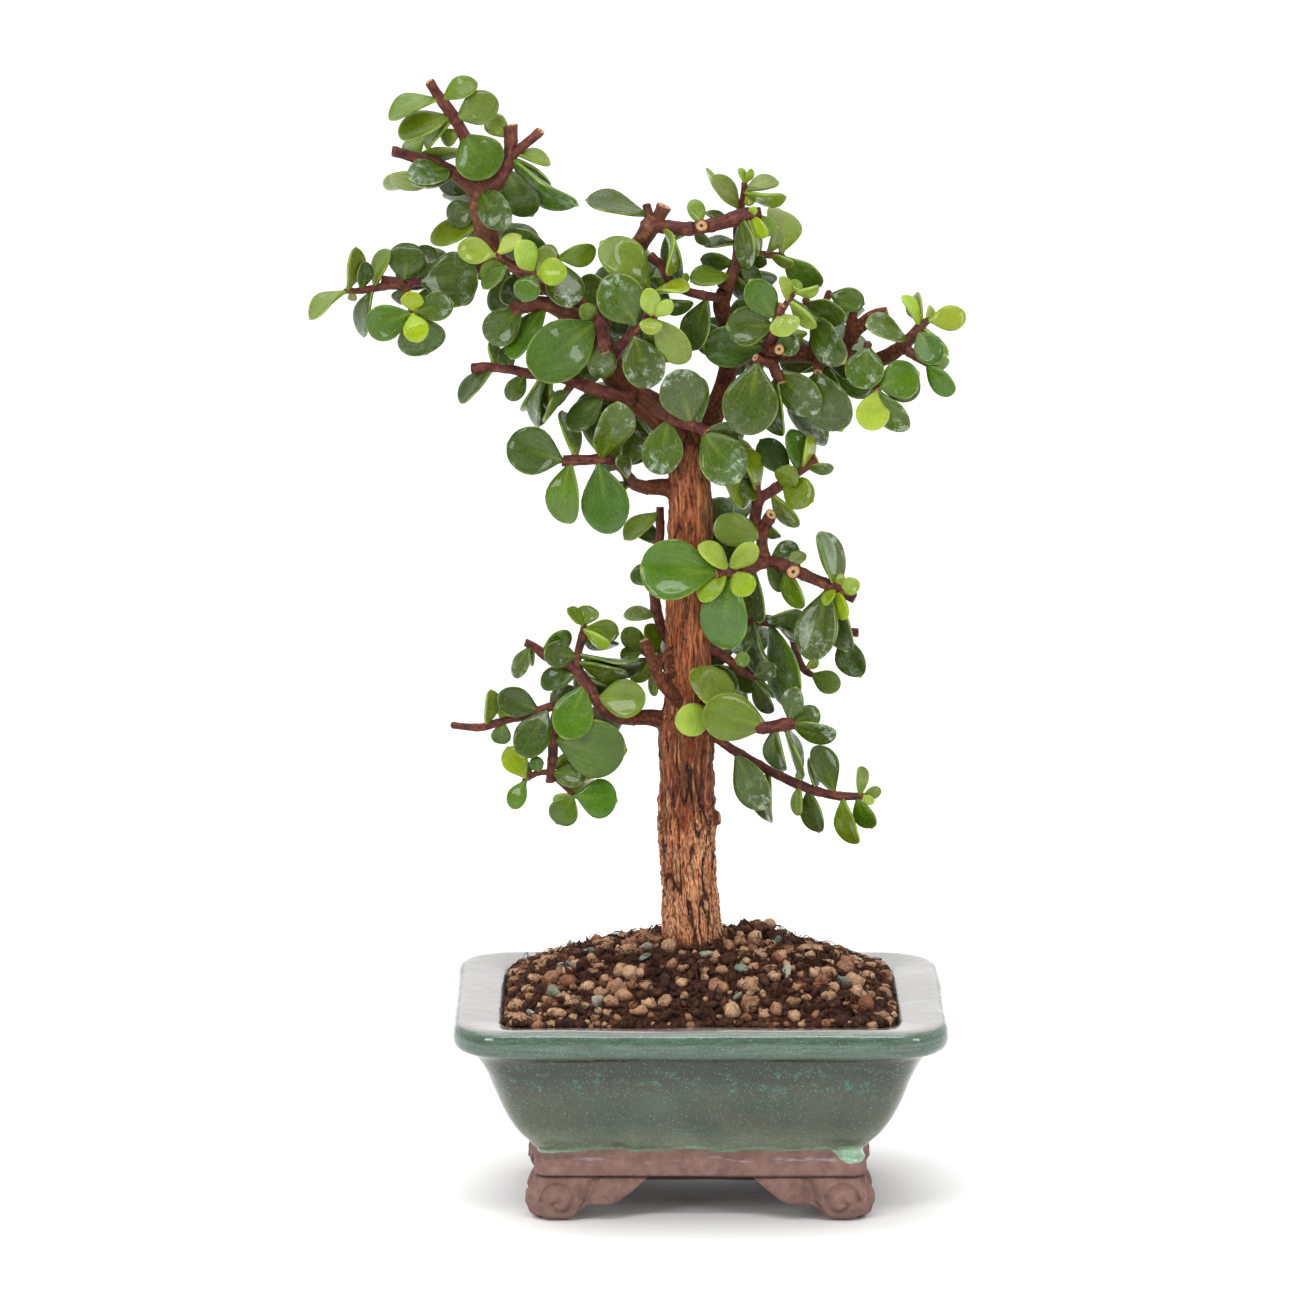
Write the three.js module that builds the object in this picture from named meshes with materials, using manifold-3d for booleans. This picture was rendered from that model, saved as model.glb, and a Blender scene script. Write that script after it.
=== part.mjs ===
// A dwarf jade bonsai standing in its glazed rectangular pot with scroll feet.
// Millimetres, +Z up; the front of the pot faces -Y. Plant positions are given as they
// appear from the front: u to the right, v up, y the depth behind the trunk's own plane.
import * as THREE from 'three';
import { mergeVertices } from 'three/addons/utils/BufferGeometryUtils.js';
import Module from 'manifold-3d';

const wasm = await Module();
wasm.setup();
const { Manifold } = wasm;

// Driving dimensions
const GAP = 0.3;                 // clearance kept between neighbouring pieces
const RIM_HEIGHT = 63;
const SOIL_EDGE_HEIGHT = 61.2;
const SOIL_RISE = 17;
const DRAIN_RADIUS = 8;
const FLOOR_TOP = 21.5;
const UNDERSIDE = 16.5;
const FOOT_DEPTH = 8.5;
const LEAF_THICKNESS = 2.0;
const LEAF_PEAK = 0.6;           // where along its length a leaf is widest
const TWIG_SIDES = 5;

// Where the front view is taken from: it looks along +Y and slightly down
const VIEW = {
  pitch: THREE.MathUtils.degToRad(10.5),
  distance: 2300,
  centreU: -15,
  centreV: 171.6,
  targetX: -15,
  targetZ: 167.7,
};

// Pot wall from the foot band to the lip and down the inside:
// height, half width, half depth, corner radius
const POT_LEVELS = [
  [13.5, 49.4, 33.6, 4.5],
  [14.2, 49.9, 34.1, 5],
  [18.9, 49.9, 34.1, 5],
  [19.6, 48.9, 33.1, 4.5],
  [21.6, 48.9, 33.1, 4.5],
  [22.4, 50.2, 34.4, 6],
  [24.2, 51.6, 35.8, 7],
  [27.1, 54.6, 38.2, 8],
  [33.2, 58.3, 41.4, 9.5],
  [39.2, 61.0, 43.8, 10.5],
  [45.3, 63.4, 46.0, 11.5],
  [50.4, 65.9, 48.4, 12],
  [53.4, 68.2, 50.4, 12.5],
  [54.2, 71.4, 53.6, 14],
  [56.0, 73.4, 55.6, 15.5],
  [58.6, 73.9, 56.0, 16],
  [61.2, 73.4, 55.5, 15.5],
  [62.6, 72.0, 54.2, 14.5],
  [RIM_HEIGHT, 70.0, 52.4, 13.5],
  [61.7, 60.4, 43.4, 10],
  [60.6, 58.8, 41.8, 9],
];
const POT_INSIDE = [
  [50, 57.0, 40.2, 8.5],
  [36, 53.6, 37.4, 8],
  [27, 48.0, 32.6, 7],
  [FLOOR_TOP, 42.0, 27.5, 5],
];

// Outline of one bracket foot seen from the front: distance in from the corner, height
const FOOT_OUTLINE = [
  [2.6, 14.4], [1.6, 11.0], [0.3, 7.8], [0, 4.6], [1.6, 1.9], [4.6, 0.5], [6.4, 0], [11.2, 0],
  [13.2, 1.0], [16.0, 4.2], [18.4, 5.4], [21.0, 5.0], [25.0, 5.4], [29.0, 7.6], [32.6, 10.4],
  [35.6, 13.0], [36.6, 14.4],
];
const FOOT_CORNER = [51.4, 35.4];   // outer corner of the feet, half width and half depth
const FOOT_SIDE_SCALE = 0.72;       // the side wings are shorter than the front ones

// Wood: each branch is a list of u, v, y, diameter
const WOOD = [
  [[-1.6, 62, 0, 18.6], [-1.9, 80, 0, 19.0], [-2.1, 86, 0, 18.4], [-3.0, 97, 0, 17.2],
    [-3.6, 108.6, 0, 16.8], [-3.8, 117.5, 0, 17.6], [-3.8, 121, 0, 18.4], [-4.0, 124.5, 0, 17.2],
    [-4.0, 132.6, 0, 16.6], [-4.2, 144.6, 0, 17.2], [-3.9, 151, 0, 16.2], [-3.6, 156.6, 0, 14.6],
    [-3.6, 174.6, 0, 14.0], [-3.4, 186.6, 0, 13.8], [-3.0, 201.6, 0, 13.3], [-2.9, 216.6, 0, 13.2],
    [-3.4, 226, 0, 12.0], [-3.6, 234, 0, 10.8]],
  [[-3.6, 229, 0, 10.6], [-7.5, 237.5, 0, 10.4], [-14, 244, 1, 9.6], [-20, 248, 2, 8.8],
    [-25.5, 254, 3, 8.2], [-29, 262, 4, 7.8], [-34, 271, 4, 7.4], [-42, 279, 4, 7.2],
    [-52, 286, 3, 7.1], [-60, 291, 2, 7.1], [-62.8, 293.6, 1.5, 7.0]],
  [[-3.2, 229, 0, 9.8], [1.4, 237.6, 0.5, 8.4], [5.5, 246, 1, 6.6], [8, 254, 2, 5.9],
    [9.2, 262, 3, 5.6], [8.2, 269, 3, 5.6], [6.4, 275, 2.5, 5.4], [7.6, 279.6, 2, 5.0]],
  [[-30, 264, 4, 5.6], [-29.5, 270, 6, 5.6], [-26.5, 279, 6, 5.6], [-23, 285, 5, 5.6]],
  [[8.6, 257, 2, 5.4], [13, 260, 1, 5.4], [20, 260.3, 0, 5.4], [28, 260.6, 1, 5.6],
    [36, 260, 2, 5.4], [43, 259.4, 2, 5.0], [50, 257.8, 1.5, 4.8], [56, 259.6, 1, 4.8],
    [59.4, 261.8, 1, 4.6]],
  [[42, 259.6, 2, 4.4], [45, 265, 3, 4.0], [48, 268.6, 3, 4.2], [52, 271.4, 3, 4.6],
    [56.6, 272.6, 3, 4.4]],
  [[-5, 218.4, 0, 6.4], [-10.5, 220.4, -0.5, 5.4], [-16, 220.4, -1, 4.6]],
  [[-5, 146.5, 0, 10], [-10, 150, -0.5, 6.4], [-15, 151.4, -1, 5.2], [-20, 151.2, -1.5, 4.6]],
  [[-6, 156, -5, 4.4], [-11.6, 162, -8, 3.9], [-14, 168, -9, 3.7], [-16.9, 174.8, -9, 3.5]],
  [[-13.4, 166.8, -8.4, 2.6], [-9.2, 171.4, -5, 2.4]],
  [[-8, 119, -2, 6], [-12.9, 118.6, -2.5, 3.4]],
  [[1, 120.6, -2, 7], [6.2, 121.4, -2.5, 4.0]],
];
const WOOD_SIDES = [12, 8, 8, 6, 6, 6, 6, 7, 6, 5, 5, 5];

// Young growth is lime, older leaves dark, some carry a pale bloom
const YOUNG = 0;
const MID = 1;
const DARK = 2;
const BLOOM = 3;
const GLOSS = 4;

// Leafy stems. twigs: u, v, y, diameter. leaves: where the leaf leaves its twig (u, v),
// where its tip shows (u, v), the width that shows, how far the tip lies behind the root,
// which way a narrow leaf is turned, and its tone.
const STEMS = [
  {
    name: 'stem_crown_left',
    twigs: [
      [[-63, 294.2, 1.5, 6.9], [-64.8, 299, 1.5, 6.8], [-66.2, 304, 1, 6.4], [-66, 308.5, 0.5, 5.8],
        [-64.8, 310.6, 0, 5.2]],
      [[-66, 308, 0.5, 4.8], [-70, 311.5, 0, 4.4], [-74, 314.8, 0.5, 4.0], [-79, 317.6, 1.5, 3.6],
        [-85, 319.2, 2.5, 3.3], [-92.2, 321.4, 3, 3.2]],
      [[-65, 310, 0, 4.8], [-61, 311.8, -1, 4.6], [-58.6, 315.4, -1.5, 4.4], [-57.3, 319, -1.5, 4.2],
        [-56.8, 324, -1, 4.1], [-56.8, 328.8, -0.5, 4.4]],
      [[-57.4, 319, -1.5, 3.2], [-52.8, 323, -2.5, 2.9], [-48.1, 327, -3.5, 2.8]],
      [[-65, 310.5, 1.5, 4.0], [-67.5, 318, 2, 3.9], [-71, 326.5, 0, 3.9], [-75, 333.2, -1, 3.7],
        [-77.9, 337, -1.5, 3.2], [-81, 341.8, -2, 3.0]],
    ],
    leaves: [
      [-70.6, 327.4, -62.6, 313.6, 15.4, -5, 1, GLOSS],
      [-65.5, 309.6, -57.4, 298.8, 10, -11, 1, BLOOM],
      [-73, 315, -87.5, 312.2, 7.4, -4, 1, BLOOM],
      [-79, 336.4, -93.4, 330.8, 6.5, -2, 1, MID],
      [-72.4, 331.6, -60.6, 336.6, 10.6, -2, 1, MID],
      [-76, 337.6, -66.8, 341.8, 7, 4, -1, MID],
      [-76.6, 330.4, -90.4, 325.6, 8.4, -2, 1, MID],
      [-84, 319.6, -86.8, 325, 7, 4, 1, MID],
      [-71.5, 327.6, -77.4, 324.2, 5.5, 4, 1, MID],
      [-70, 321.6, -86, 317.4, 5, 2, 1, MID],
      [-78, 316.8, -92.8, 312, 6.5, 4, -1, MID],
      [-77, 315.6, -93.6, 309.6, 3, 0, 1, MID],
      [-79, 316, -89.5, 308.2, 5, 2, 1, MID],
      [-56.8, 325, -63.6, 331.2, 7, 5, 1, MID],
      [-57, 319.4, -36.9, 305.2, 4, -2, 1, GLOSS],
      [-56, 320.6, -44.8, 317.4, 4.6, 2, -1, MID],
      [-56.5, 319, -45.4, 310.2, 5, 5, 1, MID],
      [-58, 316.6, -49, 299.4, 12.6, 2, 1, DARK],
      [-67, 304.6, -75.8, 301, 8.6, 3, 1, DARK],
      [-65.5, 299.6, -81, 294.8, 8, 0, 1, MID],
    ],
  },
  {
    name: 'stem_left_arm',
    twigs: [
      [[-60.5, 289.5, 2.5, 3.8], [-66, 286, 4, 3.5], [-73, 283.4, 4, 3.1], [-80, 282.2, 2.5, 2.9],
        [-85.5, 282, 0, 2.9], [-88.6, 280.8, -1, 3.2]],
      [[-88.4, 280.9, -1, 3.0], [-93, 280.9, -2, 2.5], [-97.5, 280.2, -2.5, 2.3],
        [-101.9, 279.4, -3, 2.1], [-106.2, 279.3, -3.5, 1.8]],
      [[-88.4, 281.6, -0.5, 3.0], [-95.2, 282.7, -1, 2.9]],
      [[-88.2, 280.4, -2, 2.6], [-87.4, 277, -6, 2.2], [-86.4, 272.8, -9, 1.8]],
    ],
    leaves: [
      [-86.2, 272.8, -84.3, 264, 7.8, -4, 1, YOUNG],
      [-86.6, 273.2, -86.1, 279.2, 7, -2, 1, YOUNG],
      [-86.3, 273, -74, 275.6, 9.2, 1, 1, DARK],
      [-86.8, 272.8, -99.8, 267.6, 11, 0, 1, GLOSS],
      [-86.5, 273, -82, 260.4, 15, 5, 1, DARK],
      [-105.8, 279.8, -103.3, 292.4, 5, -1, 1, MID],
      [-106, 279, -117, 270.8, 5.4, -3, 1, MID],
      [-104, 278.6, -104.4, 276.4, 3, 3, 1, MID],
      [-101.9, 280, -100.6, 288.2, 4.6, 3, 1, DARK],
      [-97.8, 281, -93.6, 292, 5, 2, -1, MID],
      [-97.9, 279.8, -101.1, 265.4, 5.4, 2, 1, DARK],
      [-88.4, 282.2, -87.6, 296, 13, 1, 1, DARK],
      [-86, 283, -80, 294.8, 9.4, 5, -1, DARK],
      [-84.5, 282.4, -66.4, 283, 17, -3, 1, DARK],
      [-89, 280, -91.2, 276, 4.6, 4, 1, DARK],
    ],
  },
  {
    name: 'stem_left_young',
    twigs: [
      [[-47, 282.6, 1, 2.8], [-48, 284, -4, 2.7], [-50, 285, -9, 2.5], [-54.5, 286.2, -11, 2.3],
        [-57.8, 287.6, -12, 2.2], [-61, 290, -13, 2.0]],
    ],
    leaves: [
      [-61.2, 290.2, -72.8, 292.2, 7.8, -1, 1, YOUNG],
      [-61, 290, -53.8, 296, 5.2, 3, -1, YOUNG],
      [-50, 285.4, -54.4, 294, 7.6, -3, 1, YOUNG],
      [-49.6, 285.2, -39.9, 285.2, 8.4, -4, 1, YOUNG],
      [-50, 284.8, -53.2, 276.2, 8, -3, 1, GLOSS],
      [-49.6, 285.6, -43.6, 292.8, 6.4, 1, 1, MID],
      [-58, 286.8, -65, 280, 5.4, -3, 1, GLOSS],
      [-58.6, 287.6, -66, 284, 4.5, 4, 1, MID],
    ],
  },
  {
    name: 'stem_left_back',
    twigs: [
      [[-41, 282.6, 2.5, 3.0], [-42.5, 287, -1, 2.8], [-43.6, 290.4, -3, 2.4]],
    ],
    leaves: [
      [-43.4, 289, -39, 274.6, 12, -6, 1, BLOOM],
      [-44, 290, -60, 295.6, 5.6, -2, -1, DARK],
      [-44, 289, -31.2, 291.6, 6.8, 2, 1, MID],
    ],
  },
  {
    name: 'stem_left_stub',
    twigs: [
      [[-35.5, 271.5, -1, 4.8], [-41.5, 273.2, -3, 4.8], [-47, 275.6, -4, 4.6],
        [-51.5, 275.2, -4.5, 4.6], [-56.2, 273.9, -5, 4.6]],
    ],
    leaves: [
      [-46, 275.4, -56.8, 259, 8.4, -4, 1, GLOSS],
      [-53.4, 275.4, -63.6, 264.2, 11, 4, -1, DARK],
    ],
  },
  {
    name: 'stem_left_hanging',
    twigs: [
      [[-32.4, 271.4, -1, 4.0], [-30.6, 270, -5, 3.8], [-29.2, 266.5, -7, 3.6],
        [-28.4, 261.2, -9, 3.8]],
    ],
    leaves: [
      [-31, 270, -50.6, 254.6, 18, -8, 1, GLOSS],
      [-29.2, 265, -29.6, 253, 8.6, 4, 1, BLOOM],
      [-31, 271, -36.5, 275.6, 6.5, -3, 1, MID],
    ],
  },
  {
    name: 'stem_left_outer',
    twigs: [
      [[-21.5, 247, -2.5, 4.4], [-27, 248.2, -5, 4.2], [-33, 250.2, -6, 4.0],
        [-38.5, 252.4, -5, 3.6], [-46, 254, -3, 3.2], [-52, 254.6, -3, 3.0], [-57.5, 256, -3, 3.2],
        [-63.5, 256.4, -3, 3.2], [-68.4, 256.1, -3, 3.0]],
      [[-38, 252, -5, 2.6], [-40.5, 248.5, -5, 2.4], [-42.6, 245.8, -6, 2.2]],
    ],
    leaves: [
      [-28.5, 248, -39.4, 238, 8.8, -1, 1, DARK],
      [-62, 255.2, -72, 245.8, 5.6, -1, 1, DARK],
      [-52.4, 254.2, -57.4, 246.6, 6.2, -1, 1, DARK],
      [-61.4, 257.4, -62.4, 264.6, 3.4, 3, 1, MID],
      [-56, 256.6, -59.6, 262.2, 6, 3, -1, DARK],
      [-36.5, 251.6, -34.6, 258.6, 5, 2, 1, DARK],
      [-46, 253.4, -49, 238.4, 4, -1, 1, BLOOM],
      [-48, 253.6, -50.4, 244, 4.4, 3, -1, MID],
      [-44.5, 253.4, -46.4, 243.4, 4, 1, 1, MID],
      [-41, 247.6, -53.8, 237.2, 5.4, 2, 1, BLOOM],
      [-39.6, 250, -46.8, 240.8, 4, -3, 1, DARK],
    ],
  },
  {
    name: 'stem_mid_left',
    twigs: [
      [[-16.4, 220.4, -1, 4.4], [-20, 221.6, -2, 4.2], [-23, 225.6, -3, 3.2],
        [-26.4, 228.2, -4, 3.0], [-30, 228.8, -5, 3.2], [-35, 228.6, -5, 3.4],
        [-41, 228.4, -5, 3.4]],
    ],
    leaves: [
      [-30, 229.4, -24.8, 245.8, 11, -8, 1, BLOOM],
      [-29, 229.4, -27.4, 245.4, 15, 4, 1, DARK],
      [-40.8, 228.6, -57.8, 233.4, 14.4, -2, 1, DARK],
      [-40, 227.8, -49, 225.6, 2.4, 1, 1, MID],
      [-37, 229.4, -41.4, 243.2, 5.4, 3, 1, MID],
      [-38.6, 227.8, -40, 209.4, 10.6, -1, 1, GLOSS],
      [-30.6, 228.2, -26.6, 206.4, 14.4, -4, 1, GLOSS],
      [-20.8, 221.6, -31.8, 214.2, 6, -10, 1, DARK],
      [-21.6, 223, -25.2, 228.8, 4.6, -7, 1, DARK],
      [-23, 226, -18.4, 237.6, 8, 6, 1, BLOOM],
    ],
  },
  {
    name: 'stem_fork',
    twigs: [
      [[-13, 243.4, -3.5, 4.0], [-9, 241.4, -7, 3.8], [-5, 239.6, -8, 3.6], [-1, 238.6, -9, 3.6],
        [1.4, 237.2, -11, 3.4]],
    ],
    leaves: [
      [0.6, 237.6, 11.4, 222.2, 14.4, -3, 1, BLOOM],
      [-2.4, 239.2, -7.2, 255.6, 14, -3, 1, BLOOM],
      [-9.6, 241, -12.6, 224.2, 12, -4, 1, BLOOM],
      [0, 238.6, -1.2, 253.6, 9, 4, -1, DARK],
      [0.8, 237, 15.4, 216.4, 9.5, 6, -1, MID],
      [1, 238, 18.6, 235, 5, 4, 1, BLOOM],
    ],
  },
  {
    name: 'stem_centre',
    twigs: [
      [[-26.5, 258.5, -1, 3.6], [-23.5, 263, -6, 3.4], [-19, 268, -10, 3.0],
        [-15.6, 271.2, -13, 2.4], [-13.6, 271.6, -15, 2.0]],
      [[-16.4, 270.6, -12.4, 2.4], [-14.8, 276, -8, 2.2], [-14.8, 280, -6, 2.0]],
    ],
    leaves: [
      [-14.2, 271.6, -15.6, 280.2, 6.2, -3, 1, YOUNG],
      [-13.6, 271.4, -8.6, 276.4, 4.6, -3, 1, YOUNG],
      [-14.4, 271.4, -15, 266.2, 6.8, -4, 1, YOUNG],
      [-18.6, 268.6, -28.4, 283.6, 14, -2, 1, BLOOM],
      [-20.4, 267, -14.6, 250.4, 12.8, -3, 1, BLOOM],
      [-14.4, 270.6, -3.6, 258, 7.4, -1, 1, MID],
      [-15, 279.8, -29.6, 293.8, 12.4, -2, 1, MID],
      [-14.6, 277, -2, 275.4, 4, 1, 1, DARK],
      [-14.8, 278.4, -3.8, 279.4, 2.8, -2, -1, YOUNG],
      [-17, 269.6, -8, 258, 8, 9, 1, DARK],
    ],
  },
  {
    name: 'stem_top',
    twigs: [
      [[-22.8, 285.4, 5, 5.4], [-20.6, 289, 3.5, 5.6], [-18, 293.5, 1.5, 5.7], [-15, 298.5, 0, 5.8],
        [-13.4, 301.2, 0, 5.6]],
      [[-14.6, 299.5, 0.5, 3.0], [-16, 305, 1, 2.8]],
      [[-13, 300, -0.5, 4.2], [-11, 304.4, -1, 4.2]],
      [[-13.4, 299, -0.5, 4.4], [-8, 298.2, -1.5, 4.3], [-2, 298, -2, 4.3], [3, 299, -2, 4.4],
        [8.2, 300.3, -2, 4.4], [13, 302.2, -2, 4.3], [18.2, 302.8, -2, 3.6]],
      [[0.3, 298.6, -2.6, 4.2], [0.4, 298.8, -5.4, 3.8]],
    ],
    leaves: [
      [-17.2, 301.6, -34, 306.5, 7, -2, 1, DARK],
      [-9.6, 297, -6.2, 280.4, 6, -8, 1, BLOOM],
      [15.4, 301.4, 16.6, 304.4, 2.8, -3, 1, YOUNG],
      [15.8, 301, 20, 295.4, 4.4, -3, 1, YOUNG],
      [13, 300.8, 14.6, 286.2, 6, -4, 1, BLOOM],
      [14, 301, 18, 287.4, 5.6, -1, -1, MID],
      [-0.4, 300.2, -2.2, 306.8, 5.4, 4, 1, MID],
      [7.6, 302, 2, 303.2, 2.8, 5, 1, DARK],
      [-1, 297, -8.4, 294.6, 2.8, 3, 1, MID],
      [-11.6, 296.6, -10, 284.6, 4, 0, -1, MID],
      [-2, 296.6, 2.8, 293.2, 3, 2, 1, DARK],
      [17, 302, 21.8, 296.2, 5.6, 2, 1, MID],
    ],
  },
  {
    name: 'stem_crown_right',
    twigs: [
      [[7.8, 280.6, 2, 4.6], [9.6, 284, 2.5, 4.2], [11, 288.5, 3.4, 3.4], [11.4, 293, 4, 2.9],
        [11.2, 298, 4, 2.6], [12.2, 303.4, 3.6, 2.4], [13, 308, 2, 2.0], [13.4, 312, 1, 1.6]],
      [[11.2, 290.6, 3.6, 2.4], [15.5, 290.6, 4, 2.3], [20, 290.2, 4, 2.2], [24.5, 290, 4, 1.9]],
    ],
    leaves: [
      [13.3, 311.8, 11.7, 316.2, 2.2, -1, 1, YOUNG],
      [13.5, 311.8, 15.4, 316, 2.2, -1, 1, YOUNG],
      [12, 303.6, 3.4, 313.4, 6.2, -3, 1, MID],
      [12.4, 305, 2, 315.2, 5.6, 3, -1, MID],
      [13.2, 309.4, 23.6, 312, 5, 2, -1, MID],
      [13.2, 309, 25.8, 307.6, 3.4, -1, 1, MID],
      [12.6, 306, 17.4, 307.2, 4.4, -2, 1, YOUNG],
      [9.4, 283.8, -4.8, 281.8, 7.4, -7, 1, MID],
      [11, 293.6, 1, 293.2, 3.6, -1, 1, DARK],
      [10.4, 287.6, 0.2, 288.8, 5.4, 1, -1, DARK],
      [20, 290.4, 23.4, 298.4, 3.6, -2, 1, MID],
      [21, 290, 28.4, 287.2, 3, -2, 1, MID],
      [24.4, 290.6, 23.8, 303.8, 8.4, 5, 1, MID],
      [24.6, 290, 36.4, 280.8, 8, -1, 1, GLOSS],
      [11, 287.2, 18.6, 283, 5, -1, 1, DARK],
      [12.5, 290.4, 20, 287.4, 4.4, 2, 1, DARK],
      [10.4, 285.4, 22.8, 282.2, 3, 4, 1, DARK],
      [10, 285, 14, 276.6, 5, 2, 1, DARK],
    ],
  },
  {
    name: 'stem_top_inner',
    twigs: [
      [[6.4, 277.2, 1, 3.0], [2.2, 277.8, -4, 2.8], [-2, 278.6, -5, 2.7], [-6, 280.2, -5, 2.7],
        [-9, 282.4, -4.5, 2.7], [-11.4, 286.6, -3.5, 2.8], [-15.2, 290, -3, 2.9]],
    ],
    leaves: [
      [2.4, 277.6, -2.4, 261.6, 9, -1, 1, DARK],
      [-11, 286.6, 0.4, 290.2, 3.6, 3, 1, MID],
      [-5.4, 280.4, -4.2, 286.6, 2.6, 2, 1, MID],
      [-9.6, 283.4, -15, 279.6, 6, 3, 1, DARK],
    ],
  },
  {
    name: 'stem_right_inner',
    twigs: [
      [[20, 261.5, -3, 4.2], [21.6, 265.5, -6, 3.8], [23, 270, -8, 3.0], [24.4, 274.4, -10, 2.8]],
      [[21, 261.8, -3.6, 3.4], [23.2, 261.8, -8, 3.6]],
      [[23.6, 272, -9, 2.2], [26, 275.6, -9, 2.0], [28.4, 279, -8, 1.8]],
    ],
    leaves: [
      [23.8, 272.6, 26.6, 266, 9.6, -3, 1, YOUNG],
      [22.6, 270.6, 15, 282.4, 10, -3, 1, GLOSS],
      [22, 269, 8, 268.6, 12.2, -1, 1, DARK],
      [20.4, 262.6, 1, 262.4, 12.6, -3, 1, DARK],
      [26.4, 276, 24, 283.6, 3.4, -2, 1, YOUNG],
      [27, 276.8, 29.4, 282.6, 4.6, 1, -1, MID],
      [26.6, 276.4, 34.8, 268.4, 3.8, -2, 1, YOUNG],
      [27, 277, 36, 270.4, 3.4, 1, -1, BLOOM],
      [28.2, 279, 35.8, 280.4, 3, 1, 1, YOUNG],
      [21.4, 264.4, 29.8, 262, 6.8, -3, 1, BLOOM],
      [22.6, 268.4, 36, 265.2, 4.8, 3, 1, MID],
    ],
  },
  {
    name: 'stem_right_low',
    twigs: [
      [[21.5, 258, -3.4, 3.8], [22.6, 255.4, -6, 3.6], [24, 252.4, -8, 3.2]],
      [[21.5, 257.4, -4, 3.2], [18.8, 258.2, -8, 3.0], [17.2, 259, -10, 2.6]],
    ],
    leaves: [
      [17.4, 259.2, 13.6, 236, 16.6, -3, 1, DARK],
      [22.6, 256.4, 35.8, 243.2, 11.2, -3, 1, BLOOM],
      [23, 254, 23.8, 235.8, 8, 6, 1, DARK],
      [18.8, 258, 12.8, 233.8, 12.4, 3, 1, BLOOM],
    ],
  },
  {
    name: 'stem_right_under',
    twigs: [
      [[35.6, 259.6, 1, 3.4], [35.4, 255.6, -4.6, 3.0]],
    ],
    leaves: [
      [35.6, 255.8, 42.4, 237.6, 14, -2, 1, DARK],
      [35.2, 255.8, 34.6, 233.6, 12.4, 8, 1, BLOOM],
    ],
  },
  {
    name: 'stem_right_mid',
    twigs: [
      [[34, 262.8, 1.5, 3.2], [34.4, 267, 1, 3.0], [34, 272, 0, 2.8], [31.8, 276.4, 0, 2.4]],
      [[34.2, 270, 0.5, 2.6], [37, 274.6, 3, 2.4], [38.6, 278.6, 4, 2.2]],
    ],
    leaves: [
      [34.4, 273, 43.4, 258, 9.6, -9, 1, BLOOM],
      [31.8, 276.2, 43.8, 271.2, 9, -3, 1, DARK],
      [38.4, 278.4, 49.2, 275.4, 7.6, -2, 1, GLOSS],
      [37.4, 276, 48.6, 272.6, 6, 3, 1, MID],
    ],
  },
  {
    name: 'stem_right_out',
    twigs: [
      [[51, 256, -2.2, 3.2], [52, 253, -5, 2.9], [53.2, 250.2, -7, 2.5]],
      [[51.2, 255.6, -2.6, 3.0], [49.6, 259, -4.6, 3.0], [50.4, 263.4, -4.6, 2.6]],
    ],
    leaves: [
      [50.2, 263.4, 48.6, 250, 11.6, -5, 1, BLOOM],
      [53.2, 250.2, 51, 237.4, 10, -3, 1, YOUNG],
      [53.2, 250.2, 65.6, 254.6, 11.8, -4, 1, GLOSS],
      [53.4, 250, 62.2, 237.4, 9.4, 0, 1, BLOOM],
      [53, 251, 66.2, 250.4, 10, 3, 1, DARK],
    ],
  },
  {
    name: 'stem_right_end',
    twigs: [
      [[60.2, 262.4, 0.8, 4.4], [63, 265, 0.5, 3.8], [65.6, 268.2, 0, 3.0], [68, 270.2, 0, 2.4]],
      [[61, 262.4, 0, 3.4], [64.4, 259.9, -3, 2.9], [68.2, 257.8, -5, 2.3]],
    ],
    leaves: [
      [65.8, 268.4, 60.6, 277.8, 3.6, -1, 1, YOUNG],
      [66.8, 269.4, 64.6, 278.4, 4.8, 2, -1, MID],
      [68, 270.2, 79.9, 271.8, 7.8, -1, 1, YOUNG],
      [67.6, 270, 69.2, 275, 2.6, 3, 1, YOUNG],
      [65.2, 267.6, 71.4, 257.6, 9, -7, 1, GLOSS],
      [66.4, 268.6, 73.9, 259.4, 4.6, 3, 1, YOUNG],
      [67.8, 258.2, 75.9, 248.2, 6.6, -2, 1, GLOSS],
      [67.4, 258.4, 74.8, 257.8, 4.2, 3, 1, MID],
      [62.4, 264.4, 49.8, 268.8, 7.2, -7, 1, BLOOM],
      [63, 265, 51, 264.4, 3.6, -4, -1, DARK],
    ],
  },
  {
    name: 'stem_mid_right',
    twigs: [
      [[4.2, 190, 1, 3.8], [10, 193.4, 2, 3.6], [16, 196.4, 0, 3.8], [20, 198.2, -3, 4.0],
        [24, 197.4, -5, 3.8], [28, 195.6, -6, 3.8], [34, 193, -6, 3.7], [40, 190.4, -6, 3.6],
        [46.4, 187.2, -6, 3.4]],
      [[27.4, 195.8, -7, 4.0], [27.8, 195.3, -10, 4.4]],
      [[20, 198, -4, 3.6], [15, 196.4, -8, 3.5], [10, 195.4, -11, 3.4], [5.2, 194.6, -13, 3.4]],
      [[19.6, 198.6, -3, 3.8], [18.6, 203.6, -3, 3.6], [19.4, 208, -4, 3.6], [21, 211.6, -7, 3.8]],
      [[18.8, 206.4, -3, 3.2], [16.6, 210.2, -2, 3.8], [17, 214, -2, 3.8], [18.2, 217.2, -2, 3.6],
        [22, 219.6, -2, 3.3], [26, 222.4, -2, 3.3], [30, 225.6, -2, 3.4], [34.8, 228.8, -2, 3.5]],
      [[17.8, 216.8, -2.5, 2.8], [16.8, 220.6, -5, 2.7]],
    ],
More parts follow.
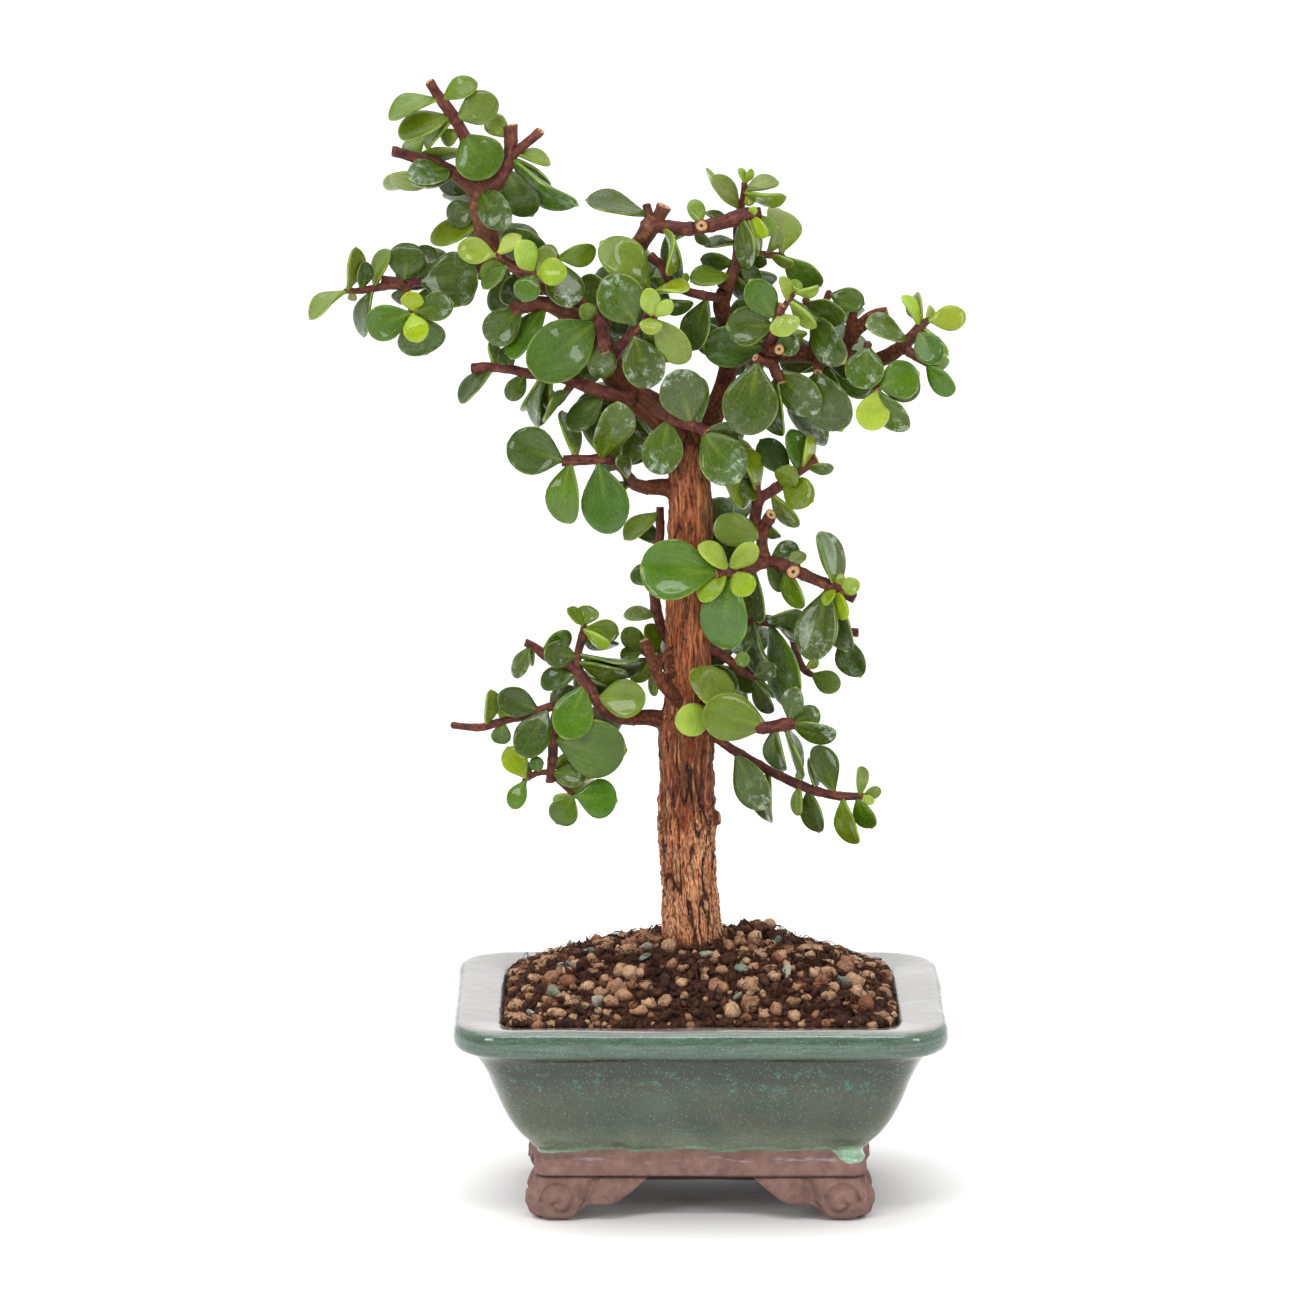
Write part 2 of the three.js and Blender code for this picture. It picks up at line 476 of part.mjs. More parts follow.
    leaves: [
      [8.6, 195.2, -0.6, 202.8, 6.2, -4, 1, YOUNG],
      [8.8, 195.2, 16.4, 203.6, 6.8, -4, 1, YOUNG],
      [8.4, 195, 0.2, 186.2, 6.4, -4, 1, YOUNG],
      [10, 195, 15, 188.2, 8.2, -4, 1, YOUNG],
      [5.6, 194.6, -17.8, 196.4, 18.8, 0, 1, GLOSS],
      [10.4, 195.2, 7, 172, 14.6, 1, 1, GLOSS],
      [24.6, 221.2, 33.8, 216.2, 10.2, -7, 1, MID],
      [24.4, 221, 28, 226.6, 7.4, -4, 1, MID],
      [18.4, 205.6, 1.4, 209.8, 12, -3, 1, MID],
      [41, 190.2, 43.6, 180.6, 4.4, -4, 1, YOUNG],
      [40.6, 190, 37.6, 185, 3.6, -5, 1, YOUNG],
      [42, 189.6, 47.8, 191.8, 5.6, -3, 1, YOUNG],
      [41.8, 190, 42.4, 194.4, 3.2, 1, 1, YOUNG],
      [40, 190.8, 35.6, 206.8, 3.8, -3, 1, GLOSS],
      [41.4, 190.2, 37.4, 207.2, 8.6, 5, 1, BLOOM],
      [38.4, 190.8, 33, 168.4, 12.8, -3, 1, BLOOM],
      [40.2, 189.8, 43.8, 171.4, 5.6, 1, 1, DARK],
      [29, 225.2, 27.2, 237.8, 7.2, -1, 1, GLOSS],
      [27, 223.4, 18.2, 234.6, 9, 3, 1, DARK],
      [18, 217.6, 11.8, 234.4, 6, 3, 1, MID],
      [29.8, 225.8, 32.6, 236.2, 3, 2, 1, YOUNG],
      [31.4, 226.8, 40.2, 226.2, 3.4, -1, 1, BLOOM],
      [31, 226.6, 33.8, 235, 3.2, 1, -1, BLOOM],
      [18.2, 217.6, 8.2, 222.4, 3, -3, 1, DARK],
      [21, 219, 29.4, 208.4, 4.8, -1, 1, MID],
      [20, 209.6, 23.6, 205.2, 3.4, 3, 1, DARK],
      [20.6, 198.6, 29.6, 202.6, 7.4, 4, 1, BLOOM],
      [25, 197.2, 31.9, 200.2, 4.2, 1, -1, MID],
      [25.6, 196.6, 30.2, 184, 5.8, 3, 1, MID],
      [20, 197.4, 25.4, 189.6, 3.8, 4, -1, DARK],
      [16.2, 196.2, 17.8, 180, 6.8, 2, 1, DARK],
      [7, 194.8, -9, 188, 3.8, 3, 1, MID],
    ],
  },
  {
    name: 'stem_mid_right_back',
    twigs: [
      [[1, 184, 2.5, 4.0], [6, 183, 4, 4.0], [12, 181.8, 6, 3.9], [20, 180.4, 6.5, 3.8], [30, 178.8, 7, 3.5],
        [40, 177.6, 7, 3.0], [47.4, 176.8, 7, 2.8]],
      [[27, 179.2, 7, 2.6], [28.6, 172, 7, 2.4], [31, 166, 6, 2.2], [33.2, 164.4, 5.5, 2.0]],
    ],
    leaves: [
      [20.6, 180, 28.2, 154.2, 9.8, -10, 1, GLOSS],
      [19, 181, 30.6, 183.2, 5.6, -4, 1, DARK],
      [16, 181, 22.6, 163.4, 5.6, -5, 1, BLOOM],
      [18, 181, 8.4, 169, 8.8, -6, 1, BLOOM],
      [22.6, 179.6, 28.8, 174.8, 3.2, -1, 1, DARK],
      [42.6, 177.2, 48.2, 163.6, 8.6, -2, 1, DARK],
      [33, 164.6, 42, 160.2, 7.2, -2, 1, MID],
      [31.6, 165.6, 35.4, 168.8, 3.2, 1, 1, YOUNG],
    ],
  },
  {
    name: 'stem_low_right_inner',
    twigs: [
      [[4, 171.6, -1, 3.6], [9, 168.4, -1.4, 3.0], [13, 165, -1.4, 2.5], [16.6, 163.2, -1.4, 2.1]],
    ],
    leaves: [
      [15.6, 163.6, 22.8, 166.6, 6.2, 1, 1, DARK],
      [10, 168, 15, 169.6, 5, 3, 1, MID],
      [16.4, 163.2, 21.6, 152.6, 5.2, -1, 1, DARK],
      [16.4, 163.4, 23.2, 156, 3.2, 1, -1, BLOOM],
    ],
  },
  {
    name: 'stem_low_right_front',
    twigs: [
      [[1, 154, -5, 3.6], [4.6, 152.6, -8.6, 3.7], [9, 150.6, -10.6, 3.8], [15, 148.8, -11, 4.0], [20.6, 148.4, -11, 4.1],
        [28, 149.8, -11, 4.1]],
    ],
    leaves: [
      [20.6, 149, 1.2, 153.6, 15, -6, 1, MID],
      [4.4, 152.6, -7.4, 149.2, 10.2, -4, 1, YOUNG],
      [11, 150.4, -2.4, 165.6, 11, -1, 1, MID],
      [27.2, 149.6, 41, 146.2, 6.4, -3, 1, BLOOM],
      [26.8, 149.8, 28.8, 160.4, 7, -1, -1, BLOOM],
      [27, 149.8, 36, 153, 7, 2, 1, BLOOM],
      [22.6, 148.6, 24.8, 135.4, 6, 2, 1, DARK],
      [25.6, 149, 30.4, 133.6, 5, 4, -1, DARK],
    ],
  },
  {
    name: 'stem_low_right_arm',
    twigs: [
      [[4.4, 145.2, -2, 3.0], [10, 141.6, -2.5, 3.0], [16, 138, -2.5, 3.0], [22, 134.8, -2.5, 3.0],
        [28.4, 131.8, -2.5, 3.0], [35, 129.2, -2.5, 2.9], [42, 127.8, -2.5, 2.8],
        [48.6, 127.8, -2.5, 2.0]],
    ],
    leaves: [
      [10.6, 141.6, 19.8, 124, 10.4, -5, 1, BLOOM],
      [20.8, 135.6, 20.6, 120, 6.2, 3, 1, DARK],
      [29.2, 131.6, 30.6, 135.8, 3, -2, 1, MID],
      [29.8, 131.2, 29.4, 121.8, 3.4, -2, 1, MID],
      [32.4, 130.2, 35.6, 117, 6.6, 2, 1, DARK],
      [40.6, 128.2, 34.2, 142.8, 8.4, 1, 1, DARK],
      [35, 129.6, 33, 139.4, 3, 4, 1, BLOOM],
      [42.8, 127.6, 47.2, 113.4, 6.2, -2, 1, MID],
      [47, 127.8, 51.6, 118.2, 6.2, 2, 1, GLOSS],
      [48.4, 127.6, 52.4, 126, 2.8, -2, 1, YOUNG],
      [48, 128, 48.2, 136.8, 3.8, 0, 1, MID],
      [48.4, 128.2, 54.4, 129.6, 4, 1, 1, MID],
    ],
  },
  {
    name: 'stem_low_left',
    twigs: [
      [[-20.4, 151.2, -1.6, 4.5], [-27, 152.2, -2, 4.2], [-31, 156.4, -2, 4.0],
        [-34.4, 161.8, -2, 3.8], [-37.4, 166, -2, 3.4], [-41.5, 168, -2, 3.0],
        [-46, 169.4, -1.5, 2.8], [-48.6, 171.8, -1, 2.6], [-52.2, 173.8, -1, 2.6]],
      [[-37.2, 166, -2, 3.0], [-36.6, 170.6, -1.5, 2.5], [-35.4, 175, -1.5, 2.6],
        [-34.8, 178.8, -1.5, 2.0]],
      [[-32.4, 158.6, -1, 3.0], [-38, 157, 1, 2.9], [-45, 154.6, 0.5, 2.8], [-52, 151.9, 0, 2.7],
        [-58, 150.6, -0.5, 2.5], [-66, 148.4, -0.5, 2.4], [-73.8, 149, -0.5, 2.2]],
      [[-43, 155, 0.5, 2.6], [-43.8, 148, 0, 3.0], [-44.2, 140, 0, 3.1], [-45, 132.2, -0.5, 2.8]],
      [[-44.6, 135, -0.3, 2.0], [-49, 134.6, -1, 1.8], [-52.6, 132.6, -1.5, 1.6]],
      [[-44.2, 134, 0, 2.0], [-41, 131, -1, 1.7], [-37.6, 127.8, -1.5, 1.6]],
    ],
    leaves: [
      [-44, 145, -22.4, 141.6, 18.2, -4, 1, GLOSS],
      [-34.6, 161.6, -40.8, 145, 12.8, -7, 1, GLOSS],
      [-31.2, 157, -16.2, 157.2, 11.8, -5, 1, MID],
      [-45.4, 154.4, -53.4, 139.4, 11, -6, 1, DARK],
      [-37, 169.6, -46.8, 170.8, 8.4, -4, 1, DARK],
      [-36.6, 168, -21.6, 164.4, 5, -5, 1, BLOOM],
      [-36.6, 170.4, -15.8, 168.6, 5.2, -3, 1, DARK],
      [-36, 164.4, -23, 162.4, 4.6, 6, 1, DARK],
      [-48, 153.6, -60.8, 157.8, 9.2, -2, 1, DARK],
      [-36.2, 164.6, -47.8, 161.2, 7.2, 2, 1, DARK],
      [-34.8, 178.8, -39.8, 184, 3.8, -2, 1, MID],
      [-34.8, 178.8, -33, 184.8, 6.8, 2, 1, MID],
      [-34.8, 178.4, -24.4, 176.4, 7.6, 1, 1, MID],
      [-34.8, 178, -27, 173.6, 3.2, -3, 1, YOUNG],
      [-35.4, 175, -25.2, 172.8, 3.6, 3, 1, DARK],
      [-47.6, 171, -38.8, 176.8, 6, 2, 1, GLOSS],
      [-50.6, 173, -55.6, 163.2, 5, -1, 1, BLOOM],
      [-50, 172.6, -50.8, 167, 3, 3, 1, DARK],
      [-64.2, 149, -62.8, 159.6, 4.4, -1, 1, MID],
      [-60, 150.2, -57.2, 155, 5.2, 3, 1, MID],
      [-59, 150.4, -60, 143.4, 6, 2, 1, GLOSS],
      [-52.2, 132.8, -57.8, 142.4, 8, 2, 1, YOUNG],
      [-52.2, 132.8, -56.4, 124, 6, -1, 1, GLOSS],
      [-48, 134.8, -49.8, 139.6, 4.4, -1, 1, GLOSS],
      [-51.6, 133.2, -52.4, 138.6, 2.8, -2, 1, MID],
      [-44.4, 134.6, -34.2, 133, 8.2, -2, 1, BLOOM],
      [-44.2, 136, -37.2, 140.4, 4.6, 3, 1, MID],
      [-43, 133, -31.2, 133.6, 5.2, 4, 1, YOUNG],
      [-38.4, 128.4, -43.8, 125.2, 4.6, 2, 1, YOUNG],
      [-37.8, 128, -43, 119.6, 9.2, -1, 1, GLOSS],
      [-37.8, 128, -25, 126.4, 12.2, -1, 1, GLOSS],
    ],
  },
  {
    name: 'stem_side',
    twigs: [
      [[-9, 174, 3.4, 3.4], [-12.4, 181, 3.4, 3.4], [-13.8, 190.5, 3, 3.2], [-12.8, 200, 4, 3.0],
        [-12, 207, 4, 2.8], [-12, 214, 3.5, 2.6]],
    ],
    leaves: [
      [-12, 213, -22.6, 204.8, 6.2, -3, 1, MID],
      [-12.6, 182, -22.9, 181.8, 4.4, -2, 1, MID],
      [-12.6, 203, -19, 209, 6, 6, 1, DARK],
      [-13.6, 191, -20, 196, 7, 5, 1, DARK],
    ],
  },
  {
    name: 'stem_low_left_inner',
    twigs: [
      [[-8.6, 165.6, 4, 3.0], [-13, 168.5, 5, 2.8], [-16.5, 171, 6, 2.4], [-19, 172.6, 7, 2.0]],
    ],
    leaves: [
      [-17, 171.2, -22.8, 178, 7, -2, 1, MID],
      [-14, 169.4, -15.4, 179.6, 7, 0, 1, MID],
      [-17, 171.2, -24, 169.6, 5, -2, 1, MID],
      [-13.4, 169, -20.8, 162.8, 6.8, -3, 1, MID],
      [-13, 168.4, -13.6, 157.6, 6, -2, 1, MID],
      [-12, 168, -11.6, 178.6, 4, 2, 1, BLOOM],
    ],
  },
];

// Stems that grow out of the back of the tree: start (u, v, y) and end (u, v, y) of each
const REAR_STEMS = [
  ['stem_rear_crown', [-65.6, 303, 4.6], [-68, 313, 22]],
  ['stem_rear_left', [-52, 286, 6.8], [-58, 286, 30]],
  ['stem_rear_arm', [-74, 283.4, 5.8], [-80, 282, 20]],
  ['stem_rear_upper', [-29, 262, 8.2], [-38, 264, 36]],
  ['stem_rear_centre', [-26.5, 279, 9.2], [-20, 278, 34]],
  ['stem_rear_right', [9.2, 263, 6.2], [13, 266, 34]],
  ['stem_rear_outer', [37, 260, 5], [40, 255, 30]],
  ['stem_rear_fork', [-14, 244, 6], [-26, 240, 30]],
  ['stem_rear_middle', [-2.8, 208, 7.2], [8, 206, 30]],
  ['stem_rear_low_right', [-3.6, 165, 7.4], [12, 166, 28]],
  ['stem_rear_low_left', [-28, 152.2, 0.8], [-36, 154, 24]],
];
const REAR_NODE_STEP = 7;
const REAR_LEAF_LENGTH = [11, 15];

// Repeatable random draws: the pebbles and the leaves each start from a value of their own
const PEBBLE_SEED = 9142;
const LEAF_SEED = 9;
let seed = 0;
function startDraws(value) {
  seed = value;
}

function draw() {
  seed = (Math.imul(seed, 1664525) + 1013904223) >>> 0;
  return seed / 4294967296;
}

// Turns a point seen from the front at (u, v) into its place in space at depth y
function place(u, v, y) {
  const sin = Math.sin(VIEW.pitch);
  const cos = Math.cos(VIEW.pitch);
  const across = u - VIEW.centreU;
  const up = v - VIEW.centreV;
  const reach = (y + VIEW.distance * cos) / (VIEW.distance * cos + up * sin);
  const z = VIEW.targetZ + VIEW.distance * sin + reach * (up * cos - VIEW.distance * sin);
  return new THREE.Vector3(VIEW.targetX + reach * across, y, z);
}

// Direction from a leaf to the viewer
const TO_VIEWER = new THREE.Vector3(0, -Math.cos(VIEW.pitch), Math.sin(VIEW.pitch));

function geometryFrom(positions, indices) {
  const geometry = new THREE.BufferGeometry();
  geometry.setAttribute('position', new THREE.Float32BufferAttribute(positions, 3));
  geometry.setIndex(indices);
  return geometry;
}

function toSolid(geometry) {
  const bare = geometry.clone();
  bare.deleteAttribute('normal');
  bare.deleteAttribute('uv');
  const merged = mergeVertices(bare, 1e-4);
  const mesh = new wasm.Mesh({
    numProp: 3,
    vertProperties: new Float32Array(merged.getAttribute('position').array),
    triVerts: new Uint32Array(merged.getIndex().array),
  });
  mesh.merge();
  return new Manifold(mesh);
}

function toGeometry(solid) {
  const mesh = solid.getMesh();
  const geometry = geometryFrom(Array.from(mesh.vertProperties), Array.from(mesh.triVerts));
  geometry.computeVertexNormals();
  return geometry;
}

function joined(solids) {
  return Manifold.union(solids);
}

function largestBody(solid) {
  const bodies = solid.decompose();
  bodies.sort((a, b) => b.volume() - a.volume());
  return bodies[0];
}

// Skin through rings of points that all have the same count, closed at both ends
function loft(rings) {
  const count = rings[0].length;
  const positions = [];
  const indices = [];
  rings.forEach((ring) => ring.forEach((point) => positions.push(point.x, point.y, point.z)));
  for (let level = 0; level < rings.length - 1; level += 1) {
    for (let i = 0; i < count; i += 1) {
      const a = level * count + i;
      const b = level * count + ((i + 1) % count);
      indices.push(a, b, b + count, a, b + count, a + count);
    }
  }
  const last = (rings.length - 1) * count;
  for (let i = 1; i < count - 1; i += 1) {
    indices.push(0, i + 1, i);
    indices.push(last, last + i, last + i + 1);
  }
  return geometryFrom(positions, indices);
}

// Round branch through points that each carry a diameter
function branch(path, sides, extra = 0, wobble = 0) {
  const points = path.map(([u, v, y]) => place(u, v, y));
  const rings = [];
  let side = new THREE.Vector3(1, 0, 0);
  points.forEach((point, i) => {
    const before = points[Math.max(i - 1, 0)];
    const after = points[Math.min(i + 1, points.length - 1)];
    const along = after.clone().sub(before).normalize();
    side = side.clone().addScaledVector(along, -side.dot(along));
    if (side.length() < 0.2) side = new THREE.Vector3(0, 1, 0).addScaledVector(along, -along.y);
    side.normalize();
    const other = along.clone().cross(side);
    const centre = point.clone();
    if (i === 0) centre.addScaledVector(along, -extra);
    if (i === points.length - 1) centre.addScaledVector(along, extra);
    const ring = [];
    for (let k = 0; k < sides; k += 1) {
      const angle = (k / sides) * 2 * Math.PI;
      const uneven = 1 + wobble * Math.sin(3 * angle + i * 1.7) * Math.cos(i * 0.9 + angle);
      const radius = (path[i][3] / 2) * uneven + extra;
      ring.push(centre.clone()
        .addScaledVector(side, radius * Math.cos(angle))
        .addScaledVector(other, radius * Math.sin(angle)));
    }
    rings.push(ring);
  });
  return loft(rings);
}

// Leaf outline: share of the half width at a share t of the length
function leafWidthAt(t) {
  if (t < LEAF_PEAK) return Math.sin((Math.PI / 2) * (t / LEAF_PEAK)) ** 1.2;
  const beyond = (t - LEAF_PEAK) / (1 - LEAF_PEAK);
  return Math.sqrt(Math.max(0, 1 - beyond * beyond));
}

// How far the middle surface of a leaf bows and cups off its flat plane
function leafRise(leaf, t, s) {
  const bow = leaf.bow * leaf.length * 4 * t * (1 - t);
  const cup = leaf.cup * leaf.width * 0.5 * s * s * leafWidthAt(t);
  return bow + cup;
}

function leafPoint(leaf, t, s, height) {
  return leaf.root.clone()
    .addScaledVector(leaf.along, t * leaf.length)
    .addScaledVector(leaf.across, s * 0.5 * leaf.width * leafWidthAt(t))
    .addScaledVector(leaf.normal, leafRise(leaf, t, s) + height);
}

// Sets up a leaf from its root, tip, showing width, turn and tone
function makeLeaf(root, tip, showing, turn, tone, facing) {
  const span = tip.clone().sub(root);
  const length = span.length();
  const along = span.normalize();
  const width = Math.max(showing, 0.64 * length);
  const roll = turn * Math.min(Math.acos(Math.min(1, showing / width)), 1.2);
  const flat = facing.clone().addScaledVector(along, -facing.dot(along)).normalize();
  const normal = flat.applyAxisAngle(along, roll);
  const across = normal.clone().cross(along);
  return { root, tip, along, across, normal, length, width, tone, bow: 0, cup: 0 };
}

// A few-sided outline is spread a little so that it covers as much as the rounded one
const FACET_SPREAD = 1.06;

// Few-sided closed blade, thick in the middle and thin at the rim
function leafSolid(leaf, sink) {
  const stations = leaf.width > 8 ? [0.2, 0.56, 0.88] : [0.34, 0.82];
  const outline = [leaf.root.clone().addScaledVector(leaf.along, -sink)];
  stations.forEach((t) => outline.push(leafPoint(leaf, t, FACET_SPREAD, 0)));
  outline.push(leafPoint(leaf, 1, 0, 0));
  [...stations].reverse().forEach((t) => outline.push(leafPoint(leaf, t, -FACET_SPREAD, 0)));
  const half = 0.5 * leafThickness(leaf);
  const apexes = [leafPoint(leaf, 0.5, 0, half), leafPoint(leaf, 0.5, 0, -half)];
  const positions = [];
  [...outline, ...apexes].forEach((p) => positions.push(p.x, p.y, p.z));
  const indices = [];
  const count = outline.length;
  for (let i = 0; i < count; i += 1) {
    const next = (i + 1) % count;
    indices.push(next, i, count, i, next, count + 1);
  }
  return toSolid(geometryFrom(positions, indices));
}

function leafThickness(leaf) {
  return Math.min(LEAF_THICKNESS, 0.9 + 0.09 * leaf.length);
}

// Points spread over a leaf's middle surface, used to keep leaves clear of each other
const SAMPLE_STATIONS = [0.12, 0.26, 0.4, 0.54, 0.68, 0.82, 0.94, 1];
const SAMPLE_SIDES = [-1, -0.66, -0.33, 0, 0.33, 0.66, 1];
function leafSamples(leaf) {
  const samples = [];
  SAMPLE_STATIONS.forEach((t) => {
    SAMPLE_SIDES.forEach((s) => {
      if (t < 1 || s === 0) samples.push(leafPoint(leaf, t, s, 0));
    });
  });
  return samples;
}

// True where one of the points lies in, or closer than reach to, the leaf's blade
function touchesLeaf(leaf, points, reach, freeRoot, freeRadius) {
  for (const point of points) {
    if (freeRoot && point.distanceTo(freeRoot) < freeRadius) continue;
    const offset = point.clone().sub(leaf.root);
    const t = offset.dot(leaf.along) / leaf.length;
    if (t < 0 || t > 1.03) continue;
    const half = 0.5 * leaf.width * leafWidthAt(Math.min(t, 1)) + 0.5;
    const s = offset.dot(leaf.across) / half;
    if (Math.abs(s) > 1) continue;
    const height = offset.dot(leaf.normal) - leafRise(leaf, Math.min(t, 1), s);
    if (Math.abs(height) < reach) return true;
  }
  return false;
}

function distanceToSegment(point, a, b) {
  const span = b.clone().sub(a);
  const share = THREE.MathUtils.clamp(point.clone().sub(a).dot(span) / span.lengthSq(), 0, 1);
  return point.distanceTo(a.clone().addScaledVector(span, share));
}

// Every piece of branch or twig as short straight lengths with a radius
const lengths = [];
function addLengths(owner, path) {
  const points = path.map(([u, v, y]) => place(u, v, y));
  for (let i = 0; i < points.length - 1; i += 1) {
    const radius = 0.25 * (path[i][3] + path[i + 1][3]);
    lengths.push({ owner, a: points[i], b: points[i + 1], radius });
  }
}

const grown = [];       // leaves that already stand
const OTHER_REACH = 1.65;
const OWN_REACH = 0.8;
const ROOT_FREE = 3.6;
function isClear(leaf, samples, owner, rootFree) {
  for (const other of grown) {
    const far = 0.5 * (leaf.length + other.leaf.length) + 3;
    if (leaf.middle.distanceTo(other.leaf.middle) > far) continue;
    const own = other.owner === owner;
    const reach = own ? OWN_REACH : OTHER_REACH;
    const free = own ? leaf.root : null;
    const otherFree = own ? other.leaf.root : null;
    if (touchesLeaf(other.leaf, samples, reach, free, rootFree)) return false;
    if (touchesLeaf(leaf, other.samples, reach, otherFree, rootFree)) return false;
  }
  for (const length of lengths) {
    const own = length.owner === owner;
    const near = length.radius + (own ? 0.2 : 1.4);
    if (distanceToSegment(leaf.middle, length.a, length.b) > 0.7 * leaf.length + near) continue;
    for (const point of samples) {
      if (own && point.distanceTo(leaf.root) < rootFree) continue;
      if (distanceToSegment(point, length.a, length.b) < near) return false;
    }
  }
  return true;
}

// Ways to move a leaf out of the way, the mildest first: tip bent towards or away from the
// viewer, blade turned about its length, blade grown smaller
const BENDS = [0, -2, 2, -4, 4, -6, 6, -8, 8, -10, 10, -13, 13];
const TURNS = [0, 0.3, -0.3, 0.6, -0.6];
const SIZES = [1, 0.85, 0.7];
const TRIES = [];
SIZES.forEach((size) => TURNS.forEach((turn) => BENDS.forEach((bend) => {
  TRIES.push({ size, turn, bend, cost: Math.abs(bend) + 8 * Math.abs(turn) + 24 * (1 - size) });
})));
TRIES.sort((a, b) => a.cost - b.cost);

function growLeaf(owner, root, tipAt, showing, roll, tone, facing, twigRadius) {
  const bow = 0.02 + 0.05 * draw();
  const cup = 0.02 + 0.1 * draw();
  for (const { size, turn, bend } of TRIES) {
    const tip = root.clone().lerp(tipAt(bend), size);
    const leaf = makeLeaf(root, tip, showing * size, roll, tone, facing);
    leaf.normal.applyAxisAngle(leaf.along, turn);
    leaf.across.applyAxisAngle(leaf.along, turn);
    leaf.bow = bow;
    leaf.cup = cup;
    leaf.middle = leafPoint(leaf, 0.5, 0, 0);
    const samples = leafSamples(leaf);
    if (isClear(leaf, samples, owner, ROOT_FREE + twigRadius)) {
      grown.push({ owner, leaf, samples });
      return leaf;
    }
  }
  return null;
}

// Nearest point on a stem's twigs to where a leaf is seen to leave it
function rootOnTwigs(twigs, u, v) {
  let best = null;
  twigs.forEach((path) => {
    for (let i = 0; i < path.length - 1; i += 1) {
      const [u0, v0, y0, d0] = path[i];
      const [u1, v1, y1, d1] = path[i + 1];
      const du = u1 - u0;
      const dv = v1 - v0;
      const share = THREE.MathUtils.clamp(
        ((u - u0) * du + (v - v0) * dv) / (du * du + dv * dv + 1e-9), 0, 1);
      const at = [u0 + share * du, v0 + share * dv, y0 + share * (y1 - y0), d0 + share * (d1 - d0)];
      const distance = Math.hypot(at[0] - u, at[1] - v);
      if (!best || distance < best.distance) best = { at, distance };
    }
  });
  return best.at;
}

function growStem(stem) {
  const solids = stem.twigs.map((path) => toSolid(branch(path, TWIG_SIDES)));
  stem.leaves.forEach(([rootU, rootV, tipU, tipV, showing, behind, turn, tone]) => {
    const [u, v, y, diameter] = rootOnTwigs(stem.twigs, rootU, rootV);
    const tipAt = (bend) => place(tipU, tipV, y + behind + bend);
    const radius = diameter / 2;
    const leaf = growLeaf(stem.name, place(u, v, y), tipAt, showing, turn, tone, TO_VIEWER, radius);
    if (leaf) solids.push(leafSolid(leaf, 0.8 * radius));
  });
  return joined(solids);
}

// Leaf pairs, each turned a quarter from the last, along a stem at the back of the tree
function growRearStem([name, from, to]) {
  const start = place(...from);
  const end = place(...to);
  const axis = end.clone().sub(start).normalize();
  const firstSide = new THREE.Vector3(0, 0, 1).addScaledVector(axis, -axis.z).normalize();
  const solids = [toSolid(branch([[...from, 3.2], [...to, 2.0]], TWIG_SIDES))];
  const total = end.distanceTo(start);
  const pairs = Math.floor((total - 4) / REAR_NODE_STEP) + 1;
  for (let pair = 0; pair < pairs; pair += 1) {
    const root = end.clone().addScaledVector(axis, -(0.6 + pair * REAR_NODE_STEP));
    for (let half = 0; half < 2; half += 1) {
      const angle = pair * (Math.PI / 2) + half * Math.PI + 0.5 * draw();
      const outward = firstSide.clone().applyAxisAngle(axis, angle);
      const forward = pair === 0 ? 0.9 : 0.45;
      const length = THREE.MathUtils.lerp(REAR_LEAF_LENGTH[0], REAR_LEAF_LENGTH[1], draw());
      const facing = axis.clone().multiplyScalar(-1);
      const tipAt = (bend) => root.clone()
        .addScaledVector(outward, length)
        .addScaledVector(axis, forward * length * 0.6 + bend * 0.5);
      const leaf = growLeaf(name, root, tipAt, 0.8 * length, 1, DARK, facing, 1.3);
      if (leaf) solids.push(leafSolid(leaf, 0.9));
    }
  }
  return joined(solids);
}

// Rounded rectangle as a ring of points at one height
const CORNER_STEPS = 3;
function rectangleRing(z, halfWidth, halfDepth, radius) {
  const ring = [];
  for (let corner = 0; corner < 4; corner += 1) {
    const signX = corner === 0 || corner === 3 ? 1 : -1;
    const signY = corner < 2 ? 1 : -1;
    for (let step = 0; step <= CORNER_STEPS; step += 1) {
      const angle = ((corner + step / CORNER_STEPS) * Math.PI) / 2;
      const x = signX * (halfWidth - radius) + radius * Math.cos(angle);
      const y = signY * (halfDepth - radius) + radius * Math.sin(angle);
      ring.push(new THREE.Vector3(x, y, z));
    }
  }
  return ring;
}

function post(radius, bottom, top, x = 0, y = 0, sides = 24) {
  const geometry = new THREE.CylinderGeometry(radius, radius, top - bottom, sides);
  geometry.rotateX(Math.PI / 2);
  geometry.translate(x, y, (top + bottom) / 2);
  return toSolid(geometry);
}

function block(minimum, maximum) {
  const size = maximum.map((value, i) => value - minimum[i]);
  const geometry = new THREE.BoxGeometry(...size);
  geometry.translate(...minimum.map((value, i) => value + size[i] / 2));
  return toSolid(geometry);
}

// One wing of a bracket foot: its outline pushed back from the face of the pot
function footWing(scale) {
  const shape = new THREE.Shape(FOOT_OUTLINE.map(([inward, z]) => new THREE.Vector2(inward * scale, z)));
  const geometry = new THREE.ExtrudeGeometry(shape, { depth: FOOT_DEPTH, bevelEnabled: false });
  return geometry;
}

